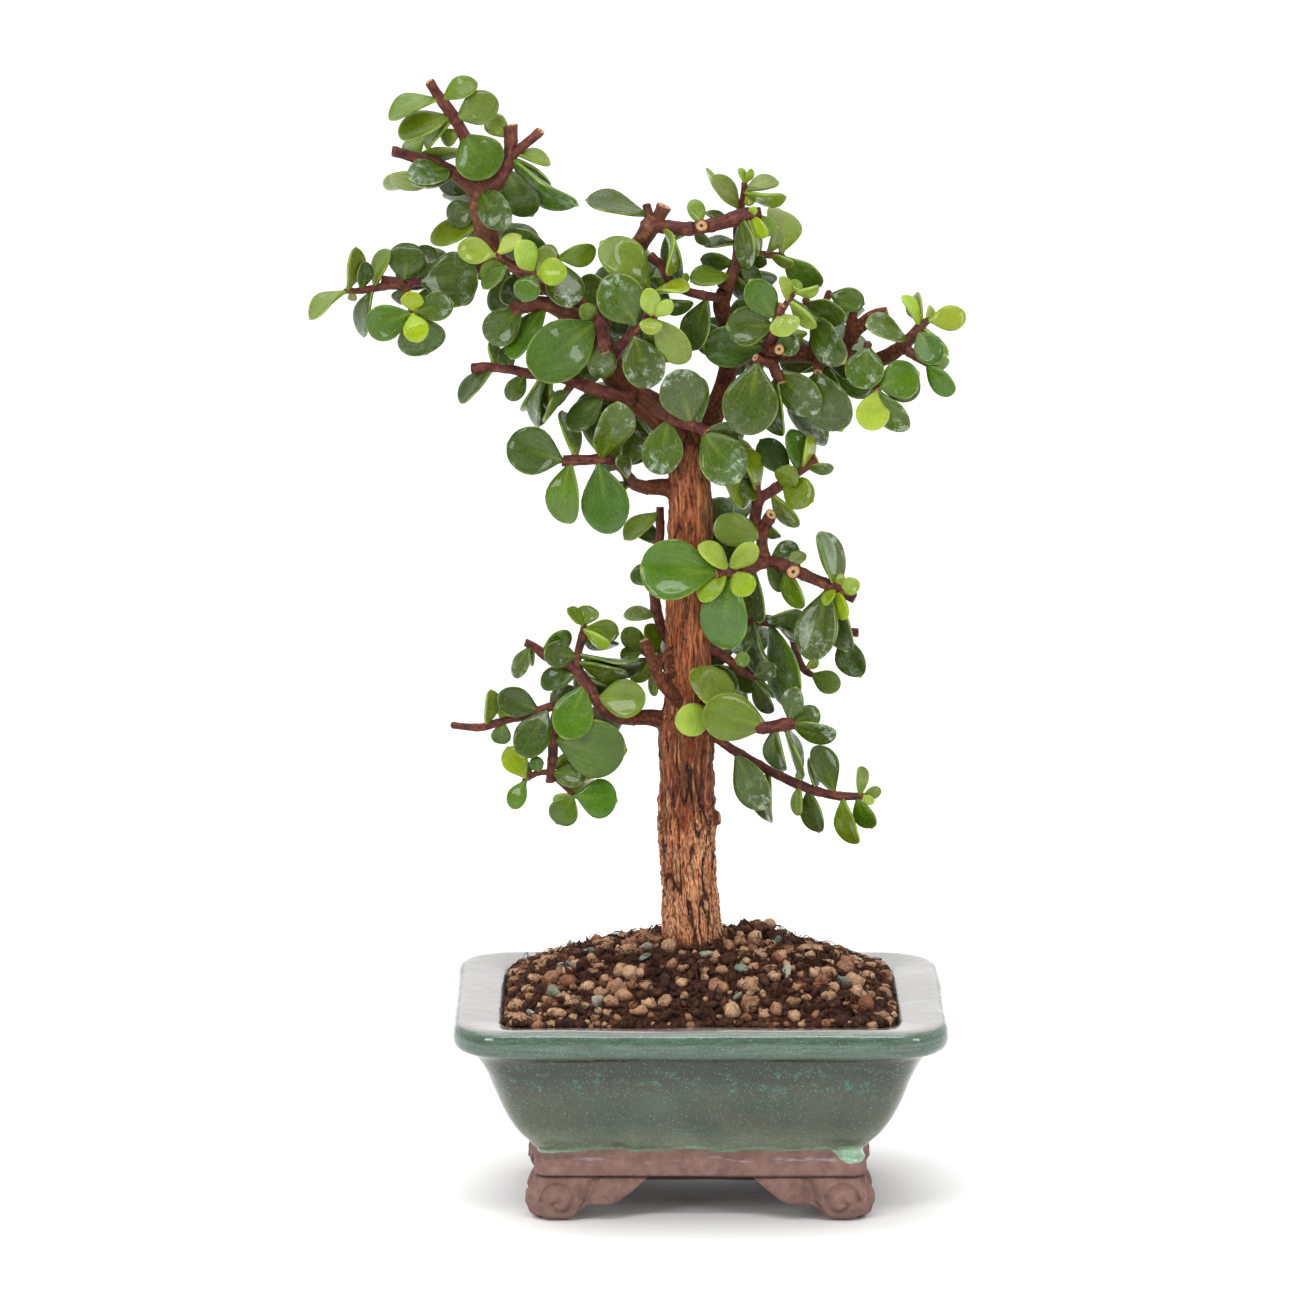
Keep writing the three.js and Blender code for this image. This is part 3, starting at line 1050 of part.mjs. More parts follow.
function makeFeet() {
  const feet = [];
  [-1, 1].forEach((signX) => {
    [-1, 1].forEach((signY) => {
      const front = footWing(1);
      front.applyMatrix4(new THREE.Matrix4().makeBasis(
        new THREE.Vector3(-signX, 0, 0), new THREE.Vector3(0, 0, 1), new THREE.Vector3(0, -signY, 0)));
      front.translate(signX * FOOT_CORNER[0], signY * FOOT_CORNER[1], 0);
      const side = footWing(FOOT_SIDE_SCALE);
      side.applyMatrix4(new THREE.Matrix4().makeBasis(
        new THREE.Vector3(0, -signY, 0), new THREE.Vector3(0, 0, 1), new THREE.Vector3(-signX, 0, 0)));
      side.translate(signX * FOOT_CORNER[0], signY * FOOT_CORNER[1], 0);
      [front, side].forEach((wing) => {
        const flipped = wing.clone();
        const index = flipped.index ? null : flipped.getAttribute('position');
        feet.push(index && wingIsInsideOut(flipped) ? toSolid(turnedOut(flipped)) : toSolid(flipped));
      });
    });
  });
  return feet;
}

// A mirrored wing has its faces pointing in, and is turned the right way out again
function wingIsInsideOut(geometry) {
  const p = geometry.getAttribute('position');
  let volume = 0;
  const a = new THREE.Vector3();
  const b = new THREE.Vector3();
  const c = new THREE.Vector3();
  for (let i = 0; i < p.count; i += 3) {
    a.fromBufferAttribute(p, i);
    b.fromBufferAttribute(p, i + 1);
    c.fromBufferAttribute(p, i + 2);
    volume += a.dot(b.clone().cross(c));
  }
  return volume < 0;
}

function turnedOut(geometry) {
  const p = geometry.getAttribute('position');
  for (let i = 0; i < p.count; i += 3) {
    const x = [p.getX(i), p.getY(i), p.getZ(i)];
    p.setXYZ(i, p.getX(i + 1), p.getY(i + 1), p.getZ(i + 1));
    p.setXYZ(i + 1, ...x);
  }
  return geometry;
}

function makePot() {
  const levels = [...POT_LEVELS, ...POT_INSIDE];
  const shell = toSolid(loft(levels.map(([z, x, y, r]) => rectangleRing(z, x, y, r))));
  const recess = toSolid(loft([
    rectangleRing(12, 43, 27.4, 4), rectangleRing(UNDERSIDE, 42, 26.4, 4),
  ]));
  return shell
    .subtract(recess)
    .subtract(post(DRAIN_RADIUS, 10, 30))
    .add(joined(makeFeet()));
}

// Inside of the pot drawn in by the clearance: the room that the soil fills
function soilRoom(top) {
  const levels = [...POT_INSIDE].reverse();
  const rings = levels.map(([z, x, y, r]) => rectangleRing(z + GAP, x - GAP, y - GAP, r));
  rings.push(rectangleRing(60.2, 58.2, 41.2, 8.8));
  rings.push(rectangleRing(top, 58.2, 41.2, 8.8));
  return toSolid(loft(rings));
}

function soilHeight(x, y) {
  const alongX = 1 - Math.min(1, Math.abs(x) / 60) ** 2.6;
  const alongY = 1 - Math.min(1, Math.abs(y - 3) / 46) ** 2;
  const collar = 3.2 * Math.exp(-((x + 2) ** 2 + y ** 2) / 260);
  const lump = 3.4 * Math.exp(-((x - 19) ** 2) / 70 - ((y - 10) ** 2) / 60);
  const grit = 0.8 * Math.sin(x * 0.83 + y * 0.31) * Math.cos(y * 0.92 - x * 0.22)
    + 0.5 * Math.sin(x * 1.7 - y * 1.3);
  return SOIL_EDGE_HEIGHT + SOIL_RISE * alongX * alongY + collar + lump + grit * alongX;
}

// Gritty top of the soil as a closed slab under a grid of heights
const SOIL_COLUMNS = 20;
const SOIL_ROWS = 14;
function soilTop() {
  const positions = [];
  const indices = [];
  const row = SOIL_COLUMNS + 1;
  const layer = row * (SOIL_ROWS + 1);
  for (let pass = 0; pass < 2; pass += 1) {
    for (let j = 0; j <= SOIL_ROWS; j += 1) {
      for (let i = 0; i <= SOIL_COLUMNS; i += 1) {
        const x = -62 + (124 * i) / SOIL_COLUMNS;
        const y = -45 + (90 * j) / SOIL_ROWS;
        positions.push(x, y, pass === 0 ? soilHeight(x, y) : 10);
      }
    }
  }
  for (let j = 0; j < SOIL_ROWS; j += 1) {
    for (let i = 0; i < SOIL_COLUMNS; i += 1) {
      const a = j * row + i;
      indices.push(a, a + 1, a + row + 1, a, a + row + 1, a + row);
    }
  }
  // the slab's base is one flat fan around its middle, its sides join the two rims
  const rim = [];
  for (let i = 0; i < SOIL_COLUMNS; i += 1) rim.push(i);
  for (let j = 0; j < SOIL_ROWS; j += 1) rim.push(j * row + SOIL_COLUMNS);
  for (let i = SOIL_COLUMNS; i > 0; i -= 1) rim.push(SOIL_ROWS * row + i);
  for (let j = SOIL_ROWS; j > 0; j -= 1) rim.push(j * row);
  const middle = positions.length / 3;
  positions.push(0, 0, 10);
  rim.forEach((a, k) => {
    const b = rim[(k + 1) % rim.length];
    indices.push(a, layer + a, layer + b, a, layer + b, b);
    indices.push(middle, layer + b, layer + a);
  });
  return toSolid(geometryFrom(positions, indices));
}

const PEBBLE_COUNT = 16;
function makePebbles() {
  startDraws(PEBBLE_SEED);
  const pebbles = [];
  while (pebbles.length < PEBBLE_COUNT) {
    const x = (draw() - 0.5) * 108;
    const y = (draw() - 0.5) * 74;
    const size = 2.2 + 2.4 * draw() * draw();
    const turn = draw() * Math.PI;
    if (Math.hypot(x + 2, y) < 14) continue;
    const geometry = new THREE.IcosahedronGeometry(size, 0);
    geometry.scale(1.15, 0.9, 0.8);
    geometry.rotateZ(turn);
    geometry.translate(x, y, soilHeight(x, y) + 0.15 * size);
    pebbles.push(toSolid(geometry));
  }
  return pebbles;
}

function makeSoil(trunkHole) {
  const room = soilRoom(RIM_HEIGHT + 40);
  const heap = joined([soilTop(), ...makePebbles()]);
  const meshRoom = block([-18, -18, 10], [18, 18, FLOOR_TOP + 4.4]);
  return largestBody(room.intersect(heap).subtract(trunkHole).subtract(meshRoom));
}

// Plastic mesh laid over the drain hole
const MESH_HALF = 16;
const MESH_THICKNESS = 1.2;
const MESH_CELLS = 3;
const MESH_BAR = 1.8;
function makeDrainMesh() {
  const bars = [];
  const bottom = FLOOR_TOP + GAP;
  const pitch = (2 * MESH_HALF - MESH_BAR) / MESH_CELLS;
  for (let i = 0; i <= MESH_CELLS; i += 1) {
    const start = -MESH_HALF + i * pitch;
    const end = start + MESH_BAR;
    bars.push(block([start, -MESH_HALF, bottom], [end, MESH_HALF, bottom + MESH_THICKNESS]));
    bars.push(block([-MESH_HALF, start, bottom], [MESH_HALF, end, bottom + MESH_THICKNESS]));
  }
  return joined(bars);
}

// Wire staple that holds the mesh: over the mesh, down through the hole, ends bent out below
const WIRE_RADIUS = 0.7;
const WIRE_REACH = 7.0;
function makeWire() {
  const over = FLOOR_TOP + GAP + MESH_THICKNESS + GAP + WIRE_RADIUS;
  const under = UNDERSIDE - GAP - WIRE_RADIUS;
  const half = [
    [0, 0, over], [WIRE_REACH - 1, 0, over], [WIRE_REACH, 0, over - 1.2],
    [WIRE_REACH, 0, under + 1.4], [WIRE_REACH + 0.8, 0, under], [WIRE_REACH + 5, -0.4, under - 0.6],
    [WIRE_REACH + 9, -1.6, under - 2.4],
  ];
  const points = [
    ...half.slice(1).reverse().map(([x, y, z]) => new THREE.Vector3(-x, -y, z)),
    ...half.map(([x, y, z]) => new THREE.Vector3(x, y, z)),
  ];
  const curve = new THREE.CatmullRomCurve3(points, false, 'centripetal');
  const section = new THREE.Shape();
  section.absarc(0, 0, WIRE_RADIUS, 0, 2 * Math.PI, false);
  return new THREE.ExtrudeGeometry(section, {
    steps: 20, curveSegments: 3, bevelEnabled: false, extrudePath: curve,
  });
}

// Assembly
const COLOURS = {
  glaze: 0x4f6f63, clay: 0x8a6b62, soil: 0x4a3428, bark: 0x7a4a34, leaf: 0x5b7f3a,
  mesh: 0x1d1f1e, wire: 0x8a8d8f,
};
const bonsai = new THREE.Group();
function addPiece(name, geometry, colour, roughness, metalness = 0) {
  const material = new THREE.MeshStandardMaterial({ color: colour, roughness, metalness });
  const mesh = new THREE.Mesh(geometry, material);
  mesh.name = name;
  bonsai.add(mesh);
}

const woodSolids = WOOD.map((path, i) => toSolid(branch(path, WOOD_SIDES[i], 0, i === 0 ? 0.05 : 0)));
const clearOfWood = joined(WOOD.map((path, i) => toSolid(branch(path, WOOD_SIDES[i], GAP + 0.15))));
WOOD.forEach((path) => addLengths('wood', path));
STEMS.forEach((stem) => stem.twigs.forEach((path) => addLengths(stem.name, path)));
REAR_STEMS.forEach(([name, from, to]) => addLengths(name, [[...from, 3.2], [...to, 2.0]]));

addPiece('pot', toGeometry(makePot()), COLOURS.glaze, 0.25);
addPiece('soil', toGeometry(makeSoil(clearOfWood)), COLOURS.soil, 0.95);
addPiece('drain_mesh', toGeometry(makeDrainMesh()), COLOURS.mesh, 0.6);
addPiece('mesh_wire', makeWire(), COLOURS.wire, 0.35, 1);
addPiece('trunk', toGeometry(joined(woodSolids)), COLOURS.bark, 0.85);
startDraws(LEAF_SEED);
STEMS.forEach((stem) => {
  const body = largestBody(growStem(stem).subtract(clearOfWood));
  addPiece(stem.name, toGeometry(body), COLOURS.leaf, 0.4);
});
REAR_STEMS.forEach((stem) => {
  const body = largestBody(growRearStem(stem).subtract(clearOfWood));
  addPiece(stem[0], toGeometry(body), COLOURS.leaf, 0.4);
});

// The part stands on its feet at z = 0, centred on its own outline
const bounds = new THREE.Box3().setFromObject(bonsai);
const centre = bounds.getCenter(new THREE.Vector3());
bonsai.position.set(-centre.x, -centre.y, -bounds.min.z);
bonsai.updateMatrixWorld(true);

export default bonsai;
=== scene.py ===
# A dwarf jade bonsai in its glazed pot: final shapes and materials.
# Plan numbers are millimetres from the middle of the pot; meshes are made in metres.
import math
import random
import bmesh
import bpy
import numpy as np
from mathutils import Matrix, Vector, noise


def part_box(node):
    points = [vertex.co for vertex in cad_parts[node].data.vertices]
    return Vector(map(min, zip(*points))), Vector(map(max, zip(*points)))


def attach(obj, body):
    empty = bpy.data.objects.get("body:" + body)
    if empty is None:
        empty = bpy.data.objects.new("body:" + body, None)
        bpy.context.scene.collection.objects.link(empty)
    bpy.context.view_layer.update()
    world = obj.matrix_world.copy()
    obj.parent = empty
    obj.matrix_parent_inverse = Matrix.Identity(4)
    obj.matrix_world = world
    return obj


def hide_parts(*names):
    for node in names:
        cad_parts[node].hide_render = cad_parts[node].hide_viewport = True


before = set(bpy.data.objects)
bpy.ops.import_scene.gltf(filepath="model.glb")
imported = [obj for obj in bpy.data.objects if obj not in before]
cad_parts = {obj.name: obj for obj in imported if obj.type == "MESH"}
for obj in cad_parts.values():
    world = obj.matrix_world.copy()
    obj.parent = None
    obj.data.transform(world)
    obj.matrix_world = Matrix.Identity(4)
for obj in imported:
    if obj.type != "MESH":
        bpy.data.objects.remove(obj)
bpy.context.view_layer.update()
POT_LOW, POT_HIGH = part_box("pot")
ORIGIN = np.array([(POT_LOW.x + POT_HIGH.x) / 2, (POT_LOW.y + POT_HIGH.y) / 2, POT_LOW.z])
MM = 0.001
bpy.ops.object.select_all(action="DESELECT")

# Where the front view is taken from: the middle of the picture as u and v, the spot that the camera
# looks at, and the width seen there
PITCH = math.radians(10.5)
DISTANCE = 2300
CENTRE_U = -15
CENTRE_V = 171.6
TARGET_X = -15
TARGET_Z = 167.7
FRAME_WIDTH = 390
FRAME_SENSOR = 36

# Pot wall from the foot band to the lip: height, half width, half depth, corner radius
POT_LEVELS = [
    [13.5, 49.4, 33.6, 4.5], [14.2, 49.9, 34.1, 5], [18.9, 49.9, 34.1, 5], [19.6, 48.9, 33.1, 4.5],
    [21.6, 48.9, 33.1, 4.5], [22.4, 50.2, 34.4, 6], [24.2, 51.6, 35.8, 7], [27.1, 54.6, 38.2, 8],
    [33.2, 58.3, 41.4, 9.5], [39.2, 61, 43.8, 10.5], [45.3, 63.4, 46, 11.5], [50.4, 65.9, 48.4, 12],
    [53.4, 68.2, 50.4, 12.5], [54.2, 71.4, 53.6, 14], [56, 73.4, 55.6, 15.5], [58.6, 73.9, 56, 16],
    [61.2, 73.4, 55.5, 15.5], [62.6, 72, 54.2, 14.5], [63, 70, 52.4, 13.5], [61.7, 60.4, 43.4, 10],
    [60.6, 58.8, 41.8, 9],
]
POT_INSIDE = [
    [50, 57, 40.2, 8.5], [36, 53.6, 37.4, 8], [27, 48, 32.6, 7], [21.5, 42, 27.5, 5],
]

# One bracket foot from the front: distance in from the corner, height
FOOT_OUTLINE = [
    [2.6, 14.4], [1.6, 11], [0.3, 7.8], [0, 4.6], [1.6, 1.9], [4.6, 0.5], [6.4, 0], [11.2, 0], [13.2, 1],
    [16, 4.2], [18.4, 5.4], [21, 5], [25, 5.4], [29, 7.6], [32.6, 10.4], [35.6, 13], [36.6, 14.4],
]

# Branches, as paths of u, v, y and diameter: u and v are the place seen from the front, in
# millimetres, and y is how far behind the middle of the pot it is
WOOD = [
    [[-1.6, 62, 0, 18.6], [-1.9, 80, 0, 19], [-2.1, 86, 0, 18.4], [-3, 97, 0, 17.2],
     [-3.6, 108.6, 0, 16.8], [-3.8, 117.5, 0, 17.6], [-3.8, 121, 0, 18.4], [-4, 124.5, 0, 17.2],
     [-4, 132.6, 0, 16.6], [-4.2, 144.6, 0, 17.2], [-3.9, 151, 0, 16.2], [-3.6, 156.6, 0, 14.6],
     [-3.6, 174.6, 0, 14], [-3.4, 186.6, 0, 13.8], [-3, 201.6, 0, 13.3], [-2.9, 216.6, 0, 13.2],
     [-3.4, 226, 0, 12], [-3.6, 234, 0, 10.8]],
    [[-3.6, 229, 0, 10.6], [-7.5, 237.5, 0, 10.4], [-14, 244, 1, 9.6], [-20, 248, 2, 8.8],
     [-25.5, 254, 3, 8.2], [-29, 262, 4, 7.8], [-34, 271, 4, 7.4], [-42, 279, 4, 7.2], [-52, 286, 3, 7.1],
     [-60, 291, 2, 7.1], [-62.8, 293.6, 1.5, 7]],
    [[-3.2, 229, 0, 9.8], [1.4, 237.6, 0.5, 8.4], [5.5, 246, 1, 6.6], [8, 254, 2, 5.9],
     [9.2, 262, 3, 5.6], [8.2, 269, 3, 5.6], [6.4, 275, 2.5, 5.4], [7.6, 279.6, 2, 5]],
    [[-30, 264, 4, 5.6], [-29.5, 270, 6, 5.6], [-26.5, 279, 6, 5.6], [-23, 285, 5, 5.6]],
    [[8.6, 257, 2, 5.4], [13, 260, 1, 5.4], [20, 260.3, 0, 5.4], [28, 260.6, 1, 5.6], [36, 260, 2, 5.4],
     [43, 259.4, 2, 5], [50, 257.8, 1.5, 4.8], [56, 259.6, 1, 4.8], [59.4, 261.8, 1, 4.6]],
    [[42, 259.6, 2, 4.4], [45, 265, 3, 4], [48, 268.6, 3, 4.2], [52, 271.4, 3, 4.6],
     [56.6, 272.6, 3, 4.4]],
    [[-5, 218.4, 0, 6.4], [-10.5, 220.4, -0.5, 5.4], [-16, 220.4, -1, 4.6]],
    [[-5, 146.5, 0, 10], [-10, 150, -0.5, 6.4], [-15, 151.4, -1, 5.2], [-20, 151.2, -1.5, 4.6]],
    [[-6, 156, -5, 4.4], [-11.6, 162, -8, 3.9], [-14, 168, -9, 3.7], [-16.9, 174.8, -9, 3.5]],
    [[-13.4, 166.8, -8.4, 2.6], [-9.2, 171.4, -5, 2.4]],
    [[-8, 119, -2, 6], [-12.9, 118.6, -2.5, 3.4]],
    [[1, 120.6, -2, 7], [6.2, 121.4, -2.5, 4]],
]

# Leaf tones
YOUNG, MID, DARK, BLOOM, GLOSS = range(5)

# Leafy stems. A twig is a path of u, v, y and diameter. A leaf is the u and v of its root and of its
# tip, the width that shows, how far the tip is behind the root, the way it rolls and its tone. The
# last two are left out of a leaf that has the USUAL ones.
USUAL = [1, MID]
STEMS = {
"stem_crown_left": dict(twigs=[
    [[-63, 294.2, 1.5, 6.9], [-64.8, 299, 1.5, 6.8], [-66.2, 304, 1, 6.4], [-66, 308.5, 0.5, 5.8],
     [-64.8, 310.6, 0, 5.2]],
    [[-66, 308, 0.5, 4.8], [-70, 311.5, 0, 4.4], [-74, 314.8, 0.5, 4], [-79, 317.6, 1.5, 3.6],
     [-85, 319.2, 2.5, 3.3], [-92.2, 321.4, 3, 3.2]],
    [[-65, 310, 0, 4.8], [-61, 311.8, -1, 4.6], [-58.6, 315.4, -1.5, 4.4], [-57.3, 319, -1.5, 4.2],
     [-56.8, 324, -1, 4.1], [-56.8, 328.8, -0.5, 4.4]],
    [[-57.4, 319, -1.5, 3.2], [-52.8, 323, -2.5, 2.9], [-48.1, 327, -3.5, 2.8]],
    [[-65, 310.5, 1.5, 4], [-67.5, 318, 2, 3.9], [-71, 326.5, 0, 3.9], [-75, 333.2, -1, 3.7],
     [-77.9, 337, -1.5, 3.2], [-81, 341.8, -2, 3]],
], leaves=[
    [-70.6, 327.4, -62.6, 313.6, 15.4, -5, 1, GLOSS], [-65.5, 309.6, -57.4, 298.8, 10, -11, 1, BLOOM],
    [-73, 315, -87.5, 312.2, 7.4, -4, 1, BLOOM], [-79, 336.4, -93.4, 330.8, 6.5, -2],
    [-72.4, 331.6, -60.6, 336.6, 10.6, -2], [-76, 337.6, -66.8, 341.8, 7, 4, -1],
    [-76.6, 330.4, -90.4, 325.6, 8.4, -2], [-84, 319.6, -86.8, 325, 7, 4],
    [-71.5, 327.6, -77.4, 324.2, 5.5, 4], [-70, 321.6, -86, 317.4, 5, 2],
    [-78, 316.8, -92.8, 312, 6.5, 4, -1], [-77, 315.6, -93.6, 309.6, 3, 0],
    [-79, 316, -89.5, 308.2, 5, 2], [-56.8, 325, -63.6, 331.2, 7, 5],
    [-57, 319.4, -36.9, 305.2, 4, -2, 1, GLOSS], [-56, 320.6, -44.8, 317.4, 4.6, 2, -1],
    [-56.5, 319, -45.4, 310.2, 5, 5], [-58, 316.6, -49, 299.4, 12.6, 2, 1, DARK],
    [-67, 304.6, -75.8, 301, 8.6, 3, 1, DARK], [-65.5, 299.6, -81, 294.8, 8, 0],
]),
"stem_left_arm": dict(twigs=[
    [[-60.5, 289.5, 2.5, 3.8], [-66, 286, 4, 3.5], [-73, 283.4, 4, 3.1], [-80, 282.2, 2.5, 2.9],
     [-85.5, 282, 0, 2.9], [-88.6, 280.8, -1, 3.2]],
    [[-88.4, 280.9, -1, 3], [-93, 280.9, -2, 2.5], [-97.5, 280.2, -2.5, 2.3], [-101.9, 279.4, -3, 2.1],
     [-106.2, 279.3, -3.5, 1.8]],
    [[-88.4, 281.6, -0.5, 3], [-95.2, 282.7, -1, 2.9]],
    [[-88.2, 280.4, -2, 2.6], [-87.4, 277, -6, 2.2], [-86.4, 272.8, -9, 1.8]],
], leaves=[
    [-86.2, 272.8, -84.3, 264, 7.8, -4, 1, YOUNG], [-86.6, 273.2, -86.1, 279.2, 7, -2, 1, YOUNG],
    [-86.3, 273, -74, 275.6, 9.2, 1, 1, DARK], [-86.8, 272.8, -99.8, 267.6, 11, 0, 1, GLOSS],
    [-86.5, 273, -82, 260.4, 15, 5, 1, DARK], [-105.8, 279.8, -103.3, 292.4, 5, -1],
    [-106, 279, -117, 270.8, 5.4, -3], [-104, 278.6, -104.4, 276.4, 3, 3],
    [-101.9, 280, -100.6, 288.2, 4.6, 3, 1, DARK], [-97.8, 281, -93.6, 292, 5, 2, -1],
    [-97.9, 279.8, -101.1, 265.4, 5.4, 2, 1, DARK], [-88.4, 282.2, -87.6, 296, 13, 1, 1, DARK],
    [-86, 283, -80, 294.8, 9.4, 5, -1, DARK], [-84.5, 282.4, -66.4, 283, 17, -3, 1, DARK],
    [-89, 280, -91.2, 276, 4.6, 4, 1, DARK],
]),
"stem_left_young": dict(twigs=[
    [[-47, 282.6, 1, 2.8], [-48, 284, -4, 2.7], [-50, 285, -9, 2.5], [-54.5, 286.2, -11, 2.3],
     [-57.8, 287.6, -12, 2.2], [-61, 290, -13, 2]],
], leaves=[
    [-61.2, 290.2, -72.8, 292.2, 7.8, -1, 1, YOUNG], [-61, 290, -53.8, 296, 5.2, 3, -1, YOUNG],
    [-50, 285.4, -54.4, 294, 7.6, -3, 1, YOUNG], [-49.6, 285.2, -39.9, 285.2, 8.4, -4, 1, YOUNG],
    [-50, 284.8, -53.2, 276.2, 8, -3, 1, GLOSS], [-49.6, 285.6, -43.6, 292.8, 6.4, 1],
    [-58, 286.8, -65, 280, 5.4, -3, 1, GLOSS], [-58.6, 287.6, -66, 284, 4.5, 4],
]),
"stem_left_back": dict(twigs=[
    [[-41, 282.6, 2.5, 3], [-42.5, 287, -1, 2.8], [-43.6, 290.4, -3, 2.4]],
], leaves=[
    [-43.4, 289, -39, 274.6, 12, -6, 1, BLOOM], [-44, 290, -60, 295.6, 5.6, -2, -1, DARK],
    [-44, 289, -31.2, 291.6, 6.8, 2],
]),
"stem_left_stub": dict(twigs=[
    [[-35.5, 271.5, -1, 4.8], [-41.5, 273.2, -3, 4.8], [-47, 275.6, -4, 4.6],
     [-51.5, 275.2, -4.5, 4.6], [-56.2, 273.9, -5, 4.6]],
], leaves=[
    [-46, 275.4, -56.8, 259, 8.4, -4, 1, GLOSS], [-53.4, 275.4, -63.6, 264.2, 11, 4, -1, DARK],
]),
"stem_left_hanging": dict(twigs=[
    [[-32.4, 271.4, -1, 4], [-30.6, 270, -5, 3.8], [-29.2, 266.5, -7, 3.6], [-28.4, 261.2, -9, 3.8]],
], leaves=[
    [-31, 270, -50.6, 254.6, 18, -8, 1, GLOSS], [-29.2, 265, -29.6, 253, 8.6, 4, 1, BLOOM],
    [-31, 271, -36.5, 275.6, 6.5, -3],
]),
"stem_left_outer": dict(twigs=[
    [[-21.5, 247, -2.5, 4.4], [-27, 248.2, -5, 4.2], [-33, 250.2, -6, 4], [-38.5, 252.4, -5, 3.6],
     [-46, 254, -3, 3.2], [-52, 254.6, -3, 3], [-57.5, 256, -3, 3.2], [-63.5, 256.4, -3, 3.2],
     [-68.4, 256.1, -3, 3]],
    [[-38, 252, -5, 2.6], [-40.5, 248.5, -5, 2.4], [-42.6, 245.8, -6, 2.2]],
], leaves=[
    [-28.5, 248, -39.4, 238, 8.8, -1, 1, DARK], [-62, 255.2, -72, 245.8, 5.6, -1, 1, DARK],
    [-52.4, 254.2, -57.4, 246.6, 6.2, -1, 1, DARK], [-61.4, 257.4, -62.4, 264.6, 3.4, 3],
    [-56, 256.6, -59.6, 262.2, 6, 3, -1, DARK], [-36.5, 251.6, -34.6, 258.6, 5, 2, 1, DARK],
    [-46, 253.4, -49, 238.4, 4, -1, 1, BLOOM], [-48, 253.6, -50.4, 244, 4.4, 3, -1],
    [-44.5, 253.4, -46.4, 243.4, 4, 1], [-41, 247.6, -53.8, 237.2, 5.4, 2, 1, BLOOM],
    [-39.6, 250, -46.8, 240.8, 4, -3, 1, DARK],
]),
"stem_mid_left": dict(twigs=[
    [[-16.4, 220.4, -1, 4.4], [-20, 221.6, -2, 4.2], [-23, 225.6, -3, 3.2], [-26.4, 228.2, -4, 3],
     [-30, 228.8, -5, 3.2], [-35, 228.6, -5, 3.4], [-41, 228.4, -5, 3.4]],
], leaves=[
    [-30, 229.4, -24.8, 245.8, 11, -8, 1, BLOOM], [-29, 229.4, -27.4, 245.4, 15, 4, 1, DARK],
    [-40.8, 228.6, -57.8, 233.4, 14.4, -2, 1, DARK], [-40, 227.8, -49, 225.6, 2.4, 1],
    [-37, 229.4, -41.4, 243.2, 5.4, 3], [-38.6, 227.8, -40, 209.4, 10.6, -1, 1, GLOSS],
    [-30.6, 228.2, -26.6, 206.4, 14.4, -4, 1, GLOSS], [-20.8, 221.6, -31.8, 214.2, 6, -10, 1, DARK],
    [-21.6, 223, -25.2, 228.8, 4.6, -7, 1, DARK], [-23, 226, -18.4, 237.6, 8, 6, 1, BLOOM],
]),
"stem_fork": dict(twigs=[
    [[-13, 243.4, -3.5, 4], [-9, 241.4, -7, 3.8], [-5, 239.6, -8, 3.6], [-1, 238.6, -9, 3.6],
     [1.4, 237.2, -11, 3.4]],
], leaves=[
    [0.6, 237.6, 11.4, 222.2, 14.4, -3, 1, BLOOM], [-2.4, 239.2, -7.2, 255.6, 14, -3, 1, BLOOM],
    [-9.6, 241, -12.6, 224.2, 12, -4, 1, BLOOM], [0, 238.6, -1.2, 253.6, 9, 4, -1, DARK],
    [0.8, 237, 15.4, 216.4, 9.5, 6, -1], [1, 238, 18.6, 235, 5, 4, 1, BLOOM],
]),
"stem_centre": dict(twigs=[
    [[-26.5, 258.5, -1, 3.6], [-23.5, 263, -6, 3.4], [-19, 268, -10, 3], [-15.6, 271.2, -13, 2.4],
     [-13.6, 271.6, -15, 2]],
    [[-16.4, 270.6, -12.4, 2.4], [-14.8, 276, -8, 2.2], [-14.8, 280, -6, 2]],
], leaves=[
    [-14.2, 271.6, -15.6, 280.2, 6.2, -3, 1, YOUNG], [-13.6, 271.4, -8.6, 276.4, 4.6, -3, 1, YOUNG],
    [-14.4, 271.4, -15, 266.2, 6.8, -4, 1, YOUNG], [-18.6, 268.6, -28.4, 283.6, 14, -2, 1, BLOOM],
    [-20.4, 267, -14.6, 250.4, 12.8, -3, 1, BLOOM], [-14.4, 270.6, -3.6, 258, 7.4, -1],
    [-15, 279.8, -29.6, 293.8, 12.4, -2], [-14.6, 277, -2, 275.4, 4, 1, 1, DARK],
    [-14.8, 278.4, -3.8, 279.4, 2.8, -2, -1, YOUNG], [-17, 269.6, -8, 258, 8, 9, 1, DARK],
]),
"stem_top": dict(twigs=[
    [[-22.8, 285.4, 5, 5.4], [-20.6, 289, 3.5, 5.6], [-18, 293.5, 1.5, 5.7], [-15, 298.5, 0, 5.8],
     [-13.4, 301.2, 0, 5.6]],
    [[-14.6, 299.5, 0.5, 3], [-16, 305, 1, 2.8]],
    [[-13, 300, -0.5, 4.2], [-11, 304.4, -1, 4.2]],
    [[-13.4, 299, -0.5, 4.4], [-8, 298.2, -1.5, 4.3], [-2, 298, -2, 4.3], [3, 299, -2, 4.4],
     [8.2, 300.3, -2, 4.4], [13, 302.2, -2, 4.3], [18.2, 302.8, -2, 3.6]],
    [[0.3, 298.6, -2.6, 4.2], [0.4, 298.8, -5.4, 3.8]],
], leaves=[
    [-17.2, 301.6, -34, 306.5, 7, -2, 1, DARK], [-9.6, 297, -6.2, 280.4, 6, -8, 1, BLOOM],
